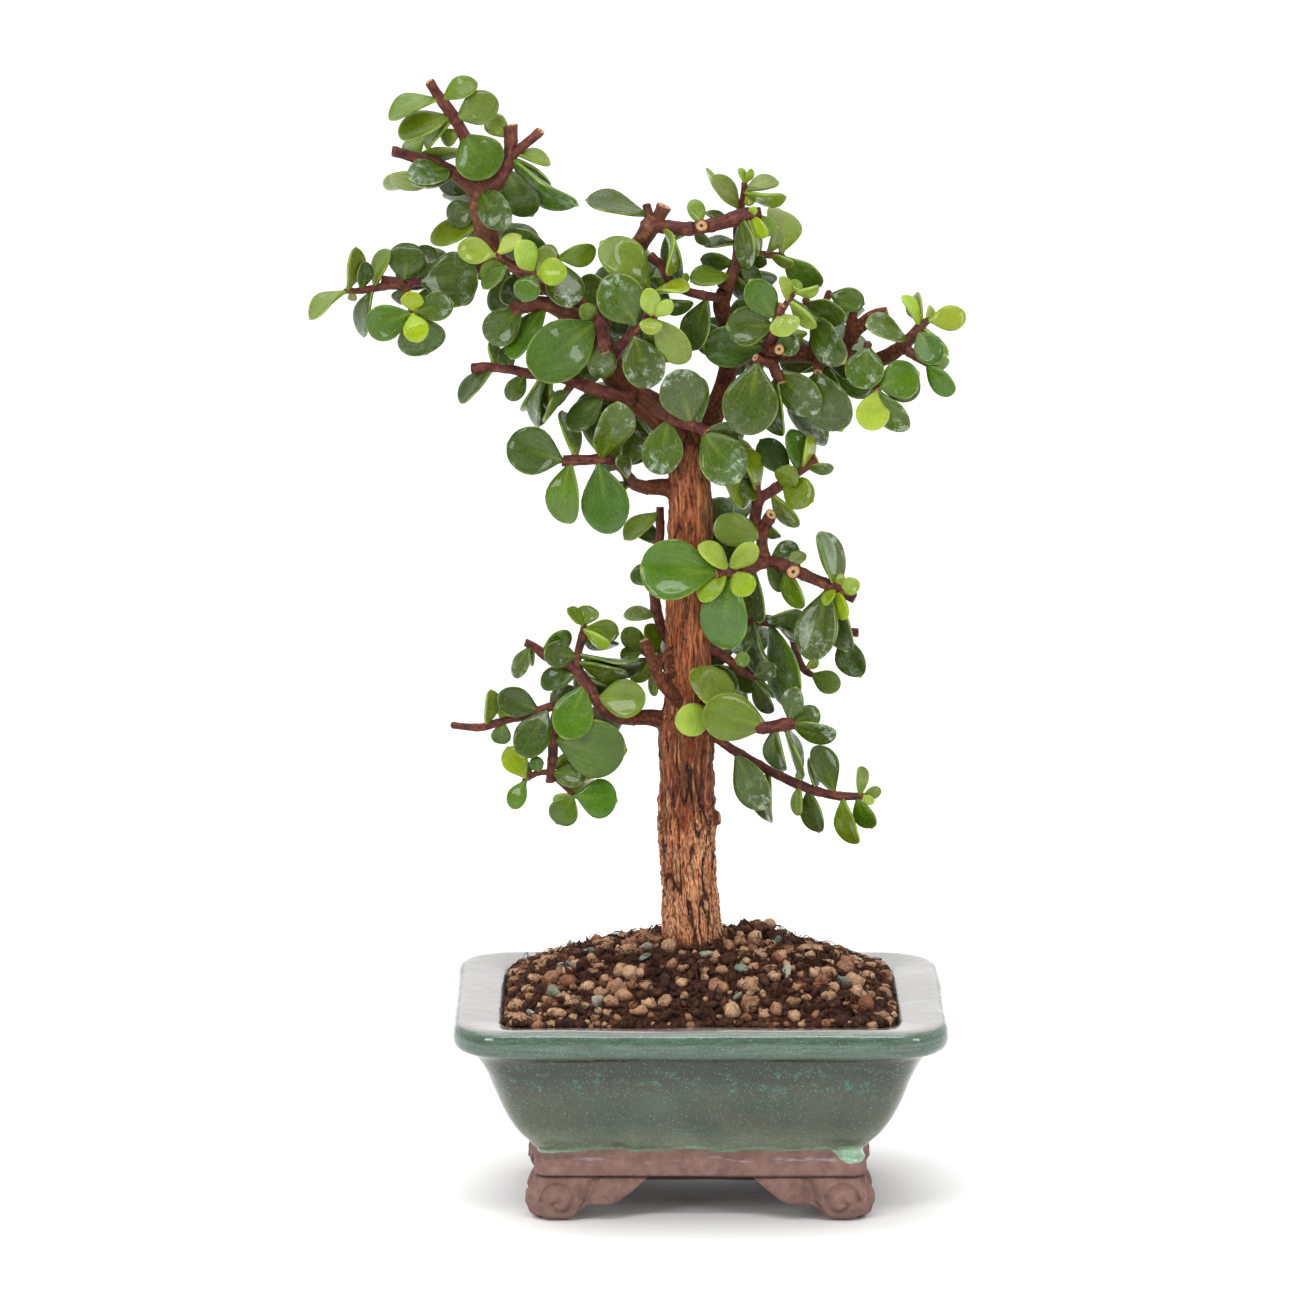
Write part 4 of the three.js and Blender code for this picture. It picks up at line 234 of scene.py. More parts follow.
    [15.4, 301.4, 16.6, 304.4, 2.8, -3, 1, YOUNG], [15.8, 301, 20, 295.4, 4.4, -3, 1, YOUNG],
    [13, 300.8, 14.6, 286.2, 6, -4, 1, BLOOM], [14, 301, 18, 287.4, 5.6, -1, -1],
    [-0.4, 300.2, -2.2, 306.8, 5.4, 4], [7.6, 302, 2, 303.2, 2.8, 5, 1, DARK],
    [-1, 297, -8.4, 294.6, 2.8, 3], [-11.6, 296.6, -10, 284.6, 4, 0, -1],
    [-2, 296.6, 2.8, 293.2, 3, 2, 1, DARK], [17, 302, 21.8, 296.2, 5.6, 2],
]),
"stem_crown_right": dict(twigs=[
    [[7.8, 280.6, 2, 4.6], [9.6, 284, 2.5, 4.2], [11, 288.5, 3.4, 3.4], [11.4, 293, 4, 2.9],
     [11.2, 298, 4, 2.6], [12.2, 303.4, 3.6, 2.4], [13, 308, 2, 2], [13.4, 312, 1, 1.6]],
    [[11.2, 290.6, 3.6, 2.4], [15.5, 290.6, 4, 2.3], [20, 290.2, 4, 2.2], [24.5, 290, 4, 1.9]],
], leaves=[
    [13.3, 311.8, 11.7, 316.2, 2.2, -1, 1, YOUNG], [13.5, 311.8, 15.4, 316, 2.2, -1, 1, YOUNG],
    [12, 303.6, 3.4, 313.4, 6.2, -3], [12.4, 305, 2, 315.2, 5.6, 3, -1],
    [13.2, 309.4, 23.6, 312, 5, 2, -1], [13.2, 309, 25.8, 307.6, 3.4, -1],
    [12.6, 306, 17.4, 307.2, 4.4, -2, 1, YOUNG], [9.4, 283.8, -4.8, 281.8, 7.4, -7],
    [11, 293.6, 1, 293.2, 3.6, -1, 1, DARK], [10.4, 287.6, 0.2, 288.8, 5.4, 1, -1, DARK],
    [20, 290.4, 23.4, 298.4, 3.6, -2], [21, 290, 28.4, 287.2, 3, -2],
    [24.4, 290.6, 23.8, 303.8, 8.4, 5], [24.6, 290, 36.4, 280.8, 8, -1, 1, GLOSS],
    [11, 287.2, 18.6, 283, 5, -1, 1, DARK], [12.5, 290.4, 20, 287.4, 4.4, 2, 1, DARK],
    [10.4, 285.4, 22.8, 282.2, 3, 4, 1, DARK], [10, 285, 14, 276.6, 5, 2, 1, DARK],
]),
"stem_top_inner": dict(twigs=[
    [[6.4, 277.2, 1, 3], [2.2, 277.8, -4, 2.8], [-2, 278.6, -5, 2.7], [-6, 280.2, -5, 2.7],
     [-9, 282.4, -4.5, 2.7], [-11.4, 286.6, -3.5, 2.8], [-15.2, 290, -3, 2.9]],
], leaves=[
    [2.4, 277.6, -2.4, 261.6, 9, -1, 1, DARK], [-11, 286.6, 0.4, 290.2, 3.6, 3],
    [-5.4, 280.4, -4.2, 286.6, 2.6, 2], [-9.6, 283.4, -15, 279.6, 6, 3, 1, DARK],
]),
"stem_right_inner": dict(twigs=[
    [[20, 261.5, -3, 4.2], [21.6, 265.5, -6, 3.8], [23, 270, -8, 3], [24.4, 274.4, -10, 2.8]],
    [[21, 261.8, -3.6, 3.4], [23.2, 261.8, -8, 3.6]],
    [[23.6, 272, -9, 2.2], [26, 275.6, -9, 2], [28.4, 279, -8, 1.8]],
], leaves=[
    [23.8, 272.6, 26.6, 266, 9.6, -3, 1, YOUNG], [22.6, 270.6, 15, 282.4, 10, -3, 1, GLOSS],
    [22, 269, 8, 268.6, 12.2, -1, 1, DARK], [20.4, 262.6, 1, 262.4, 12.6, -3, 1, DARK],
    [26.4, 276, 24, 283.6, 3.4, -2, 1, YOUNG], [27, 276.8, 29.4, 282.6, 4.6, 1, -1],
    [26.6, 276.4, 34.8, 268.4, 3.8, -2, 1, YOUNG], [27, 277, 36, 270.4, 3.4, 1, -1, BLOOM],
    [28.2, 279, 35.8, 280.4, 3, 1, 1, YOUNG], [21.4, 264.4, 29.8, 262, 6.8, -3, 1, BLOOM],
    [22.6, 268.4, 36, 265.2, 4.8, 3],
]),
"stem_right_low": dict(twigs=[
    [[21.5, 258, -3.4, 3.8], [22.6, 255.4, -6, 3.6], [24, 252.4, -8, 3.2]],
    [[21.5, 257.4, -4, 3.2], [18.8, 258.2, -8, 3], [17.2, 259, -10, 2.6]],
], leaves=[
    [17.4, 259.2, 13.6, 236, 16.6, -3, 1, DARK], [22.6, 256.4, 35.8, 243.2, 11.2, -3, 1, BLOOM],
    [23, 254, 23.8, 235.8, 8, 6, 1, DARK], [18.8, 258, 12.8, 233.8, 12.4, 3, 1, BLOOM],
]),
"stem_right_under": dict(twigs=[
    [[35.6, 259.6, 1, 3.4], [35.4, 255.6, -4.6, 3]],
], leaves=[
    [35.6, 255.8, 42.4, 237.6, 14, -2, 1, DARK], [35.2, 255.8, 34.6, 233.6, 12.4, 8, 1, BLOOM],
]),
"stem_right_mid": dict(twigs=[
    [[34, 262.8, 1.5, 3.2], [34.4, 267, 1, 3], [34, 272, 0, 2.8], [31.8, 276.4, 0, 2.4]],
    [[34.2, 270, 0.5, 2.6], [37, 274.6, 3, 2.4], [38.6, 278.6, 4, 2.2]],
], leaves=[
    [34.4, 273, 43.4, 258, 9.6, -9, 1, BLOOM], [31.8, 276.2, 43.8, 271.2, 9, -3, 1, DARK],
    [38.4, 278.4, 49.2, 275.4, 7.6, -2, 1, GLOSS], [37.4, 276, 48.6, 272.6, 6, 3],
]),
"stem_right_out": dict(twigs=[
    [[51, 256, -2.2, 3.2], [52, 253, -5, 2.9], [53.2, 250.2, -7, 2.5]],
    [[51.2, 255.6, -2.6, 3], [49.6, 259, -4.6, 3], [50.4, 263.4, -4.6, 2.6]],
], leaves=[
    [50.2, 263.4, 48.6, 250, 11.6, -5, 1, BLOOM], [53.2, 250.2, 51, 237.4, 10, -3, 1, YOUNG],
    [53.2, 250.2, 65.6, 254.6, 11.8, -4, 1, GLOSS], [53.4, 250, 62.2, 237.4, 9.4, 0, 1, BLOOM],
    [53, 251, 66.2, 250.4, 10, 3, 1, DARK],
]),
"stem_right_end": dict(twigs=[
    [[60.2, 262.4, 0.8, 4.4], [63, 265, 0.5, 3.8], [65.6, 268.2, 0, 3], [68, 270.2, 0, 2.4]],
    [[61, 262.4, 0, 3.4], [64.4, 259.9, -3, 2.9], [68.2, 257.8, -5, 2.3]],
], leaves=[
    [65.8, 268.4, 60.6, 277.8, 3.6, -1, 1, YOUNG], [66.8, 269.4, 64.6, 278.4, 4.8, 2, -1],
    [68, 270.2, 79.9, 271.8, 7.8, -1, 1, YOUNG], [67.6, 270, 69.2, 275, 2.6, 3, 1, YOUNG],
    [65.2, 267.6, 71.4, 257.6, 9, -7, 1, GLOSS], [66.4, 268.6, 73.9, 259.4, 4.6, 3, 1, YOUNG],
    [67.8, 258.2, 75.9, 248.2, 6.6, -2, 1, GLOSS], [67.4, 258.4, 74.8, 257.8, 4.2, 3],
    [62.4, 264.4, 49.8, 268.8, 7.2, -7, 1, BLOOM], [63, 265, 51, 264.4, 3.6, -4, -1, DARK],
]),
"stem_mid_right": dict(twigs=[
    [[4.2, 190, 1, 3.8], [10, 193.4, 2, 3.6], [16, 196.4, 0, 3.8], [20, 198.2, -3, 4],
     [24, 197.4, -5, 3.8], [28, 195.6, -6, 3.8], [34, 193, -6, 3.7], [40, 190.4, -6, 3.6],
     [46.4, 187.2, -6, 3.4]],
    [[27.4, 195.8, -7, 4], [27.8, 195.3, -10, 4.4]],
    [[20, 198, -4, 3.6], [15, 196.4, -8, 3.5], [10, 195.4, -11, 3.4], [5.2, 194.6, -13, 3.4]],
    [[19.6, 198.6, -3, 3.8], [18.6, 203.6, -3, 3.6], [19.4, 208, -4, 3.6], [21, 211.6, -7, 3.8]],
    [[18.8, 206.4, -3, 3.2], [16.6, 210.2, -2, 3.8], [17, 214, -2, 3.8], [18.2, 217.2, -2, 3.6],
     [22, 219.6, -2, 3.3], [26, 222.4, -2, 3.3], [30, 225.6, -2, 3.4], [34.8, 228.8, -2, 3.5]],
    [[17.8, 216.8, -2.5, 2.8], [16.8, 220.6, -5, 2.7]],
], leaves=[
    [8.6, 195.2, -0.6, 202.8, 6.2, -4, 1, YOUNG], [8.8, 195.2, 16.4, 203.6, 6.8, -4, 1, YOUNG],
    [8.4, 195, 0.2, 186.2, 6.4, -4, 1, YOUNG], [10, 195, 15, 188.2, 8.2, -4, 1, YOUNG],
    [5.6, 194.6, -17.8, 196.4, 18.8, 0, 1, GLOSS], [10.4, 195.2, 7, 172, 14.6, 1, 1, GLOSS],
    [24.6, 221.2, 33.8, 216.2, 10.2, -7], [24.4, 221, 28, 226.6, 7.4, -4],
    [18.4, 205.6, 1.4, 209.8, 12, -3], [41, 190.2, 43.6, 180.6, 4.4, -4, 1, YOUNG],
    [40.6, 190, 37.6, 185, 3.6, -5, 1, YOUNG], [42, 189.6, 47.8, 191.8, 5.6, -3, 1, YOUNG],
    [41.8, 190, 42.4, 194.4, 3.2, 1, 1, YOUNG], [40, 190.8, 35.6, 206.8, 3.8, -3, 1, GLOSS],
    [41.4, 190.2, 37.4, 207.2, 8.6, 5, 1, BLOOM], [38.4, 190.8, 33, 168.4, 12.8, -3, 1, BLOOM],
    [40.2, 189.8, 43.8, 171.4, 5.6, 1, 1, DARK], [29, 225.2, 27.2, 237.8, 7.2, -1, 1, GLOSS],
    [27, 223.4, 18.2, 234.6, 9, 3, 1, DARK], [18, 217.6, 11.8, 234.4, 6, 3],
    [29.8, 225.8, 32.6, 236.2, 3, 2, 1, YOUNG], [31.4, 226.8, 40.2, 226.2, 3.4, -1, 1, BLOOM],
    [31, 226.6, 33.8, 235, 3.2, 1, -1, BLOOM], [18.2, 217.6, 8.2, 222.4, 3, -3, 1, DARK],
    [21, 219, 29.4, 208.4, 4.8, -1], [20, 209.6, 23.6, 205.2, 3.4, 3, 1, DARK],
    [20.6, 198.6, 29.6, 202.6, 7.4, 4, 1, BLOOM], [25, 197.2, 31.9, 200.2, 4.2, 1, -1],
    [25.6, 196.6, 30.2, 184, 5.8, 3], [20, 197.4, 25.4, 189.6, 3.8, 4, -1, DARK],
    [16.2, 196.2, 17.8, 180, 6.8, 2, 1, DARK], [7, 194.8, -9, 188, 3.8, 3],
]),
"stem_mid_right_back": dict(twigs=[
    [[1, 184, 2.5, 4], [6, 183, 4, 4], [12, 181.8, 6, 3.9], [20, 180.4, 6.5, 3.8], [30, 178.8, 7, 3.5],
     [40, 177.6, 7, 3], [47.4, 176.8, 7, 2.8]],
    [[27, 179.2, 7, 2.6], [28.6, 172, 7, 2.4], [31, 166, 6, 2.2], [33.2, 164.4, 5.5, 2]],
], leaves=[
    [20.6, 180, 28.2, 154.2, 9.8, -10, 1, GLOSS], [19, 181, 30.6, 183.2, 5.6, -4, 1, DARK],
    [16, 181, 22.6, 163.4, 5.6, -5, 1, BLOOM], [18, 181, 8.4, 169, 8.8, -6, 1, BLOOM],
    [22.6, 179.6, 28.8, 174.8, 3.2, -1, 1, DARK], [42.6, 177.2, 48.2, 163.6, 8.6, -2, 1, DARK],
    [33, 164.6, 42, 160.2, 7.2, -2], [31.6, 165.6, 35.4, 168.8, 3.2, 1, 1, YOUNG],
]),
"stem_low_right_inner": dict(twigs=[
    [[4, 171.6, -1, 3.6], [9, 168.4, -1.4, 3], [13, 165, -1.4, 2.5], [16.6, 163.2, -1.4, 2.1]],
], leaves=[
    [15.6, 163.6, 22.8, 166.6, 6.2, 1, 1, DARK], [10, 168, 15, 169.6, 5, 3],
    [16.4, 163.2, 21.6, 152.6, 5.2, -1, 1, DARK], [16.4, 163.4, 23.2, 156, 3.2, 1, -1, BLOOM],
]),
"stem_low_right_front": dict(twigs=[
    [[1, 154, -5, 3.6], [4.6, 152.6, -8.6, 3.7], [9, 150.6, -10.6, 3.8], [15, 148.8, -11, 4],
     [20.6, 148.4, -11, 4.1], [28, 149.8, -11, 4.1]],
], leaves=[
    [20.6, 149, 1.2, 153.6, 15, -6], [4.4, 152.6, -7.4, 149.2, 10.2, -4, 1, YOUNG],
    [11, 150.4, -2.4, 165.6, 11, -1], [27.2, 149.6, 41, 146.2, 6.4, -3, 1, BLOOM],
    [26.8, 149.8, 28.8, 160.4, 7, -1, -1, BLOOM], [27, 149.8, 36, 153, 7, 2, 1, BLOOM],
    [22.6, 148.6, 24.8, 135.4, 6, 2, 1, DARK], [25.6, 149, 30.4, 133.6, 5, 4, -1, DARK],
]),
"stem_low_right_arm": dict(twigs=[
    [[4.4, 145.2, -2, 3], [10, 141.6, -2.5, 3], [16, 138, -2.5, 3], [22, 134.8, -2.5, 3],
     [28.4, 131.8, -2.5, 3], [35, 129.2, -2.5, 2.9], [42, 127.8, -2.5, 2.8], [48.6, 127.8, -2.5, 2]],
], leaves=[
    [10.6, 141.6, 19.8, 124, 10.4, -5, 1, BLOOM], [20.8, 135.6, 20.6, 120, 6.2, 3, 1, DARK],
    [29.2, 131.6, 30.6, 135.8, 3, -2], [29.8, 131.2, 29.4, 121.8, 3.4, -2],
    [32.4, 130.2, 35.6, 117, 6.6, 2, 1, DARK], [40.6, 128.2, 34.2, 142.8, 8.4, 1, 1, DARK],
    [35, 129.6, 33, 139.4, 3, 4, 1, BLOOM], [42.8, 127.6, 47.2, 113.4, 6.2, -2],
    [47, 127.8, 51.6, 118.2, 6.2, 2, 1, GLOSS], [48.4, 127.6, 52.4, 126, 2.8, -2, 1, YOUNG],
    [48, 128, 48.2, 136.8, 3.8, 0], [48.4, 128.2, 54.4, 129.6, 4, 1],
]),
"stem_low_left": dict(twigs=[
    [[-20.4, 151.2, -1.6, 4.5], [-27, 152.2, -2, 4.2], [-31, 156.4, -2, 4], [-34.4, 161.8, -2, 3.8],
     [-37.4, 166, -2, 3.4], [-41.5, 168, -2, 3], [-46, 169.4, -1.5, 2.8], [-48.6, 171.8, -1, 2.6],
     [-52.2, 173.8, -1, 2.6]],
    [[-37.2, 166, -2, 3], [-36.6, 170.6, -1.5, 2.5], [-35.4, 175, -1.5, 2.6], [-34.8, 178.8, -1.5, 2]],
    [[-32.4, 158.6, -1, 3], [-38, 157, 1, 2.9], [-45, 154.6, 0.5, 2.8], [-52, 151.9, 0, 2.7],
     [-58, 150.6, -0.5, 2.5], [-66, 148.4, -0.5, 2.4], [-73.8, 149, -0.5, 2.2]],
    [[-43, 155, 0.5, 2.6], [-43.8, 148, 0, 3], [-44.2, 140, 0, 3.1], [-45, 132.2, -0.5, 2.8]],
    [[-44.6, 135, -0.3, 2], [-49, 134.6, -1, 1.8], [-52.6, 132.6, -1.5, 1.6]],
    [[-44.2, 134, 0, 2], [-41, 131, -1, 1.7], [-37.6, 127.8, -1.5, 1.6]],
], leaves=[
    [-44, 145, -22.4, 141.6, 18.2, -4, 1, GLOSS], [-34.6, 161.6, -40.8, 145, 12.8, -7, 1, GLOSS],
    [-31.2, 157, -16.2, 157.2, 11.8, -5], [-45.4, 154.4, -53.4, 139.4, 11, -6, 1, DARK],
    [-37, 169.6, -46.8, 170.8, 8.4, -4, 1, DARK], [-36.6, 168, -21.6, 164.4, 5, -5, 1, BLOOM],
    [-36.6, 170.4, -15.8, 168.6, 5.2, -3, 1, DARK], [-36, 164.4, -23, 162.4, 4.6, 6, 1, DARK],
    [-48, 153.6, -60.8, 157.8, 9.2, -2, 1, DARK], [-36.2, 164.6, -47.8, 161.2, 7.2, 2, 1, DARK],
    [-34.8, 178.8, -39.8, 184, 3.8, -2], [-34.8, 178.8, -33, 184.8, 6.8, 2],
    [-34.8, 178.4, -24.4, 176.4, 7.6, 1], [-34.8, 178, -27, 173.6, 3.2, -3, 1, YOUNG],
    [-35.4, 175, -25.2, 172.8, 3.6, 3, 1, DARK], [-47.6, 171, -38.8, 176.8, 6, 2, 1, GLOSS],
    [-50.6, 173, -55.6, 163.2, 5, -1, 1, BLOOM], [-50, 172.6, -50.8, 167, 3, 3, 1, DARK],
    [-64.2, 149, -62.8, 159.6, 4.4, -1], [-60, 150.2, -57.2, 155, 5.2, 3],
    [-59, 150.4, -60, 143.4, 6, 2, 1, GLOSS], [-52.2, 132.8, -57.8, 142.4, 8, 2, 1, YOUNG],
    [-52.2, 132.8, -56.4, 124, 6, -1, 1, GLOSS], [-48, 134.8, -49.8, 139.6, 4.4, -1, 1, GLOSS],
    [-51.6, 133.2, -52.4, 138.6, 2.8, -2], [-44.4, 134.6, -34.2, 133, 8.2, -2, 1, BLOOM],
    [-44.2, 136, -37.2, 140.4, 4.6, 3], [-43, 133, -31.2, 133.6, 5.2, 4, 1, YOUNG],
    [-38.4, 128.4, -43.8, 125.2, 4.6, 2, 1, YOUNG], [-37.8, 128, -43, 119.6, 9.2, -1, 1, GLOSS],
    [-37.8, 128, -25, 126.4, 12.2, -1, 1, GLOSS],
]),
"stem_side": dict(twigs=[
    [[-9, 174, 3.4, 3.4], [-12.4, 181, 3.4, 3.4], [-13.8, 190.5, 3, 3.2], [-12.8, 200, 4, 3],
     [-12, 207, 4, 2.8], [-12, 214, 3.5, 2.6]],
], leaves=[
    [-12, 213, -22.6, 204.8, 6.2, -3], [-12.6, 182, -22.9, 181.8, 4.4, -2],
    [-12.6, 203, -19, 209, 6, 6, 1, DARK], [-13.6, 191, -20, 196, 7, 5, 1, DARK],
]),
"stem_low_left_inner": dict(twigs=[
    [[-8.6, 165.6, 4, 3], [-13, 168.5, 5, 2.8], [-16.5, 171, 6, 2.4], [-19, 172.6, 7, 2]],
], leaves=[
    [-17, 171.2, -22.8, 178, 7, -2], [-14, 169.4, -15.4, 179.6, 7, 0],
    [-17, 171.2, -24, 169.6, 5, -2], [-13.4, 169, -20.8, 162.8, 6.8, -3],
    [-13, 168.4, -13.6, 157.6, 6, -2], [-12, 168, -11.6, 178.6, 4, 2, 1, BLOOM],
]),
}

# Leaves that the finer model has room for: the stem, then the same numbers
SMALL_EXTRAS = [
    ["stem_crown_left", -72.6, 318, -87, 312.6, 8.6, -5, 1, BLOOM],
    ["stem_crown_left", -76, 330, -82.5, 322.5, 5.5, 3],
    ["stem_right_end", 46.5, 269, 58.6, 262.4, 6.6, -4, 1, DARK],
]

# Stems behind the tree: start and end, each as u, v and y
REAR_STEMS = [
    ["stem_rear_crown", [-65.6, 303, 4.6], [-68, 313, 22]],
    ["stem_rear_left", [-52, 286, 6.8], [-58, 286, 30]],
    ["stem_rear_arm", [-74, 283.4, 5.8], [-80, 282, 20]],
    ["stem_rear_upper", [-29, 262, 8.2], [-38, 264, 36]],
    ["stem_rear_centre", [-26.5, 279, 9.2], [-20, 278, 34]],
    ["stem_rear_right", [9.2, 263, 6.2], [13, 266, 34]],
    ["stem_rear_outer", [37, 260, 5], [40, 255, 30]],
    ["stem_rear_fork", [-14, 244, 6], [-26, 240, 30]],
    ["stem_rear_middle", [-2.8, 208, 7.2], [8, 206, 30]],
    ["stem_rear_low_right", [-3.6, 165, 7.4], [12, 166, 28]],
    ["stem_rear_low_left", [-28, 152.2, 0.8], [-36, 154, 24]],
]
REAR_NODE_STEP = 7
REAR_LEAF_LENGTH = (11, 15)
REAR_TWIG = (3.2, 2.0)
LEAF_SEED = 9
LEAF_THICKNESS = 2.0
# a leaf is widest at this share of its length
LEAF_PEAK = 0.6
# least width of a leaf as a share of its length, and the most it is rolled to look narrower
NARROWEST = 0.64
MOST_ROLL = 1.2


# Numbers and vectors
def unit(vector):
    return vector / np.linalg.norm(vector)


def turned(vector, axis, angle):
    """vector turned about a unit axis."""
    cos = math.cos(angle)
    sin = math.sin(angle)
    return vector * cos + np.cross(axis, vector) * sin + axis * (axis @ vector) * (1 - cos)


TO_VIEWER = np.array([0, -math.cos(PITCH), math.sin(PITCH)])


def place(u, v, y):
    """A point seen from the front at (u, v), in its place at depth y."""
    sin = math.sin(PITCH)
    cos = math.cos(PITCH)
    up = v - CENTRE_V
    reach = (y + DISTANCE * cos) / (DISTANCE * cos + up * sin)
    z = TARGET_Z + DISTANCE * sin + reach * (up * cos - DISTANCE * sin)
    return np.array([TARGET_X + reach * (u - CENTRE_U), y, z])


class Draws:
    """The repeatable draws that the part's own source makes."""

    FACTOR = 1664525
    SHIFT = 1013904223
    RANGE = 2 ** 32

    def __init__(self, seed):
        self.seed = seed

    def next(self):
        self.seed = (self.seed * self.FACTOR + self.SHIFT) % self.RANGE
        return self.seed / self.RANGE


# Where each leaf stands: the leaf is bent, turned or made smaller until it is clear of the others.
# It is kept clear by sample points at these shares of its length and of its half width.
STATIONS = (0.12, 0.26, 0.4, 0.54, 0.68, 0.82, 0.94, 1)
SIDES = (-1, -0.66, -0.33, 0, 0.33, 0.66, 1)
SAMPLE_PAIRS = [(t, s) for t in STATIONS for s in SIDES if t < 1 or s == 0]
SAMPLE_T = np.array([pair[0] for pair in SAMPLE_PAIRS])
SAMPLE_S = np.array([pair[1] for pair in SAMPLE_PAIRS])


def width_at(t):
    """Share of a leaf's half width at shares t of its length."""
    t = np.clip(t, 0, 1)
    rising = np.sin(math.pi / 2 * np.minimum(t, LEAF_PEAK) / LEAF_PEAK) ** 1.2
    beyond = np.clip((t - LEAF_PEAK) / (1 - LEAF_PEAK), 0, 1)
    return np.where(t < LEAF_PEAK, rising, np.sqrt(1 - beyond * beyond))


class Leaf:
    """A leaf's blade: where it starts, its directions, length, width, bow and cup."""

    def __init__(self, root, tip, showing, turn, tone, facing):
        span = tip - root
        self.root = root
        self.length = float(np.linalg.norm(span))
        self.along = span / self.length
        self.width = max(showing, NARROWEST * self.length)
        self.tone = tone
        roll = turn * min(math.acos(min(1, showing / self.width)), MOST_ROLL)
        flat = unit(facing - self.along * (facing @ self.along))
        self.normal = turned(flat, self.along, roll)
        self.across = np.cross(self.normal, self.along)
        self.bow = 0
        self.cup = 0

    def turn(self, angle):
        self.normal = turned(self.normal, self.along, angle)
        self.across = turned(self.across, self.along, angle)

    def rise(self, t, s):
        """Height of the blade over its plane, t along it and s across."""
        bow = self.bow * self.length * 4 * t * (1 - t)
        return bow + self.cup * self.width * 0.5 * s * s * width_at(t)

    def points(self, t, s):
        t = np.asarray(t, float)[..., None]
        s = np.asarray(s, float)[..., None]
        side = s * 0.5 * self.width * width_at(t)
        lift = self.rise(t, s)
        return self.root + self.along * t * self.length + self.across * side + self.normal * lift

    def settle(self):
        """Works out the points by which the leaf is kept clear of others."""
        self.middle = self.points(0.5, 0)
        self.samples = self.points(SAMPLE_T, SAMPLE_S)


def touches(leaf, points, reach, free_root, free_radius):
    """True where a point lies in, or closer than reach to, the leaf's blade."""
    if free_root is not None:
        points = points[np.linalg.norm(points - free_root, axis=1) >= free_radius]
    offset = points - leaf.root
    t = offset @ leaf.along / leaf.length
    held = np.clip(t, 0, 1)
    s = offset @ leaf.across / (0.5 * leaf.width * width_at(held) + 0.5)
    height = offset @ leaf.normal - leaf.rise(held, s)
    inside = (t >= 0) & (t <= 1.03) & (np.abs(s) <= 1) & (np.abs(height) < reach)
    return bool(inside.any())


def distances(points, starts, spans):
    """Distance of each point from each straight length."""
    offset = points[:, None, :] - starts[None]
    share = np.clip((offset * spans).sum(2) / (spans * spans).sum(1), 0, 1)
    return np.linalg.norm(offset - share[..., None] * spans, axis=2)


# How close a leaf comes to another stem's leaves and to its own stem's, the same for wood, and how
# near its root it may touch its own stem
OTHER_REACH = 1.65
OWN_REACH = 0.8
OTHER_WOOD = 1.4
OWN_WOOD = 0.2
ROOT_FREE = 3.6
SIZES = (1, 0.85, 0.7)
TURNS = (0, 0.3, -0.3, 0.6, -0.6)
BENDS = (0, -2, 2, -4, 4, -6, 6, -8, 8, -10, 10, -13, 13)
# the smallest changes are tried first
TRIES = [(size, turn, bend) for size in SIZES for turn in TURNS for bend in BENDS]
TRIES.sort(key=lambda one: abs(one[2]) + 8 * abs(one[1]) + 24 * (1 - one[0]))


class Growth:
    """Leaves and straight lengths of wood that already stand."""

    def __init__(self, draws):
        self.draws = draws
        self.leaves = []
        self.owners = []
        self.starts = []
        self.spans = []
        self.radii = []

    def add_path(self, owner, path):
        spots = [place(*step[:3]) for step in path]
        for i in range(len(path) - 1):
            self.owners.append(owner)
            self.starts.append(spots[i])
            self.spans.append(spots[i + 1] - spots[i])
            self.radii.append(0.25 * (path[i][3] + path[i + 1][3]))

    def freeze(self):
        self.starts = np.array(self.starts)
        self.spans = np.array(self.spans)
        self.radii = np.array(self.radii)

    def is_clear(self, leaf, owner, root_free):
        for other_owner, other in self.leaves:
            far = 0.5 * (leaf.length + other.length) + 3
            if np.linalg.norm(leaf.middle - other.middle) > far:
                continue
            own = other_owner == owner
            reach = OWN_REACH if own else OTHER_REACH
            if touches(other, leaf.samples, reach, leaf.root if own else None, root_free):
                return False
            if touches(leaf, other.samples, reach, other.root if own else None, root_free):
                return False
        own = np.array([name == owner for name in self.owners])
        near = self.radii + np.where(own, OWN_WOOD, OTHER_WOOD)
        middle = distances(leaf.middle[None], self.starts, self.spans)[0]
        close = middle <= 0.7 * leaf.length + near
        if not close.any():
            return True
        gaps = distances(leaf.samples, self.starts[close], self.spans[close])
        free = np.linalg.norm(leaf.samples - leaf.root, axis=1) < root_free
        gaps[np.ix_(free, own[close])] = np.inf
        return not (gaps < near[close]).any()

    def grow(self, owner, root, tip_at, showing, roll, tone, facing, twig_radius):
        bow = 0.02 + 0.05 * self.draws.next()
        cup = 0.02 + 0.1 * self.draws.next()
        for size, turn, bend in TRIES:
            tip = root + (tip_at(bend) - root) * size
            leaf = Leaf(root, tip, showing * size, roll, tone, facing)
            leaf.turn(turn)
            leaf.bow = bow
            leaf.cup = cup
            leaf.twig_radius = twig_radius
            leaf.settle()
            if self.is_clear(leaf, owner, ROOT_FREE + twig_radius):
                self.leaves.append((owner, leaf))
                return


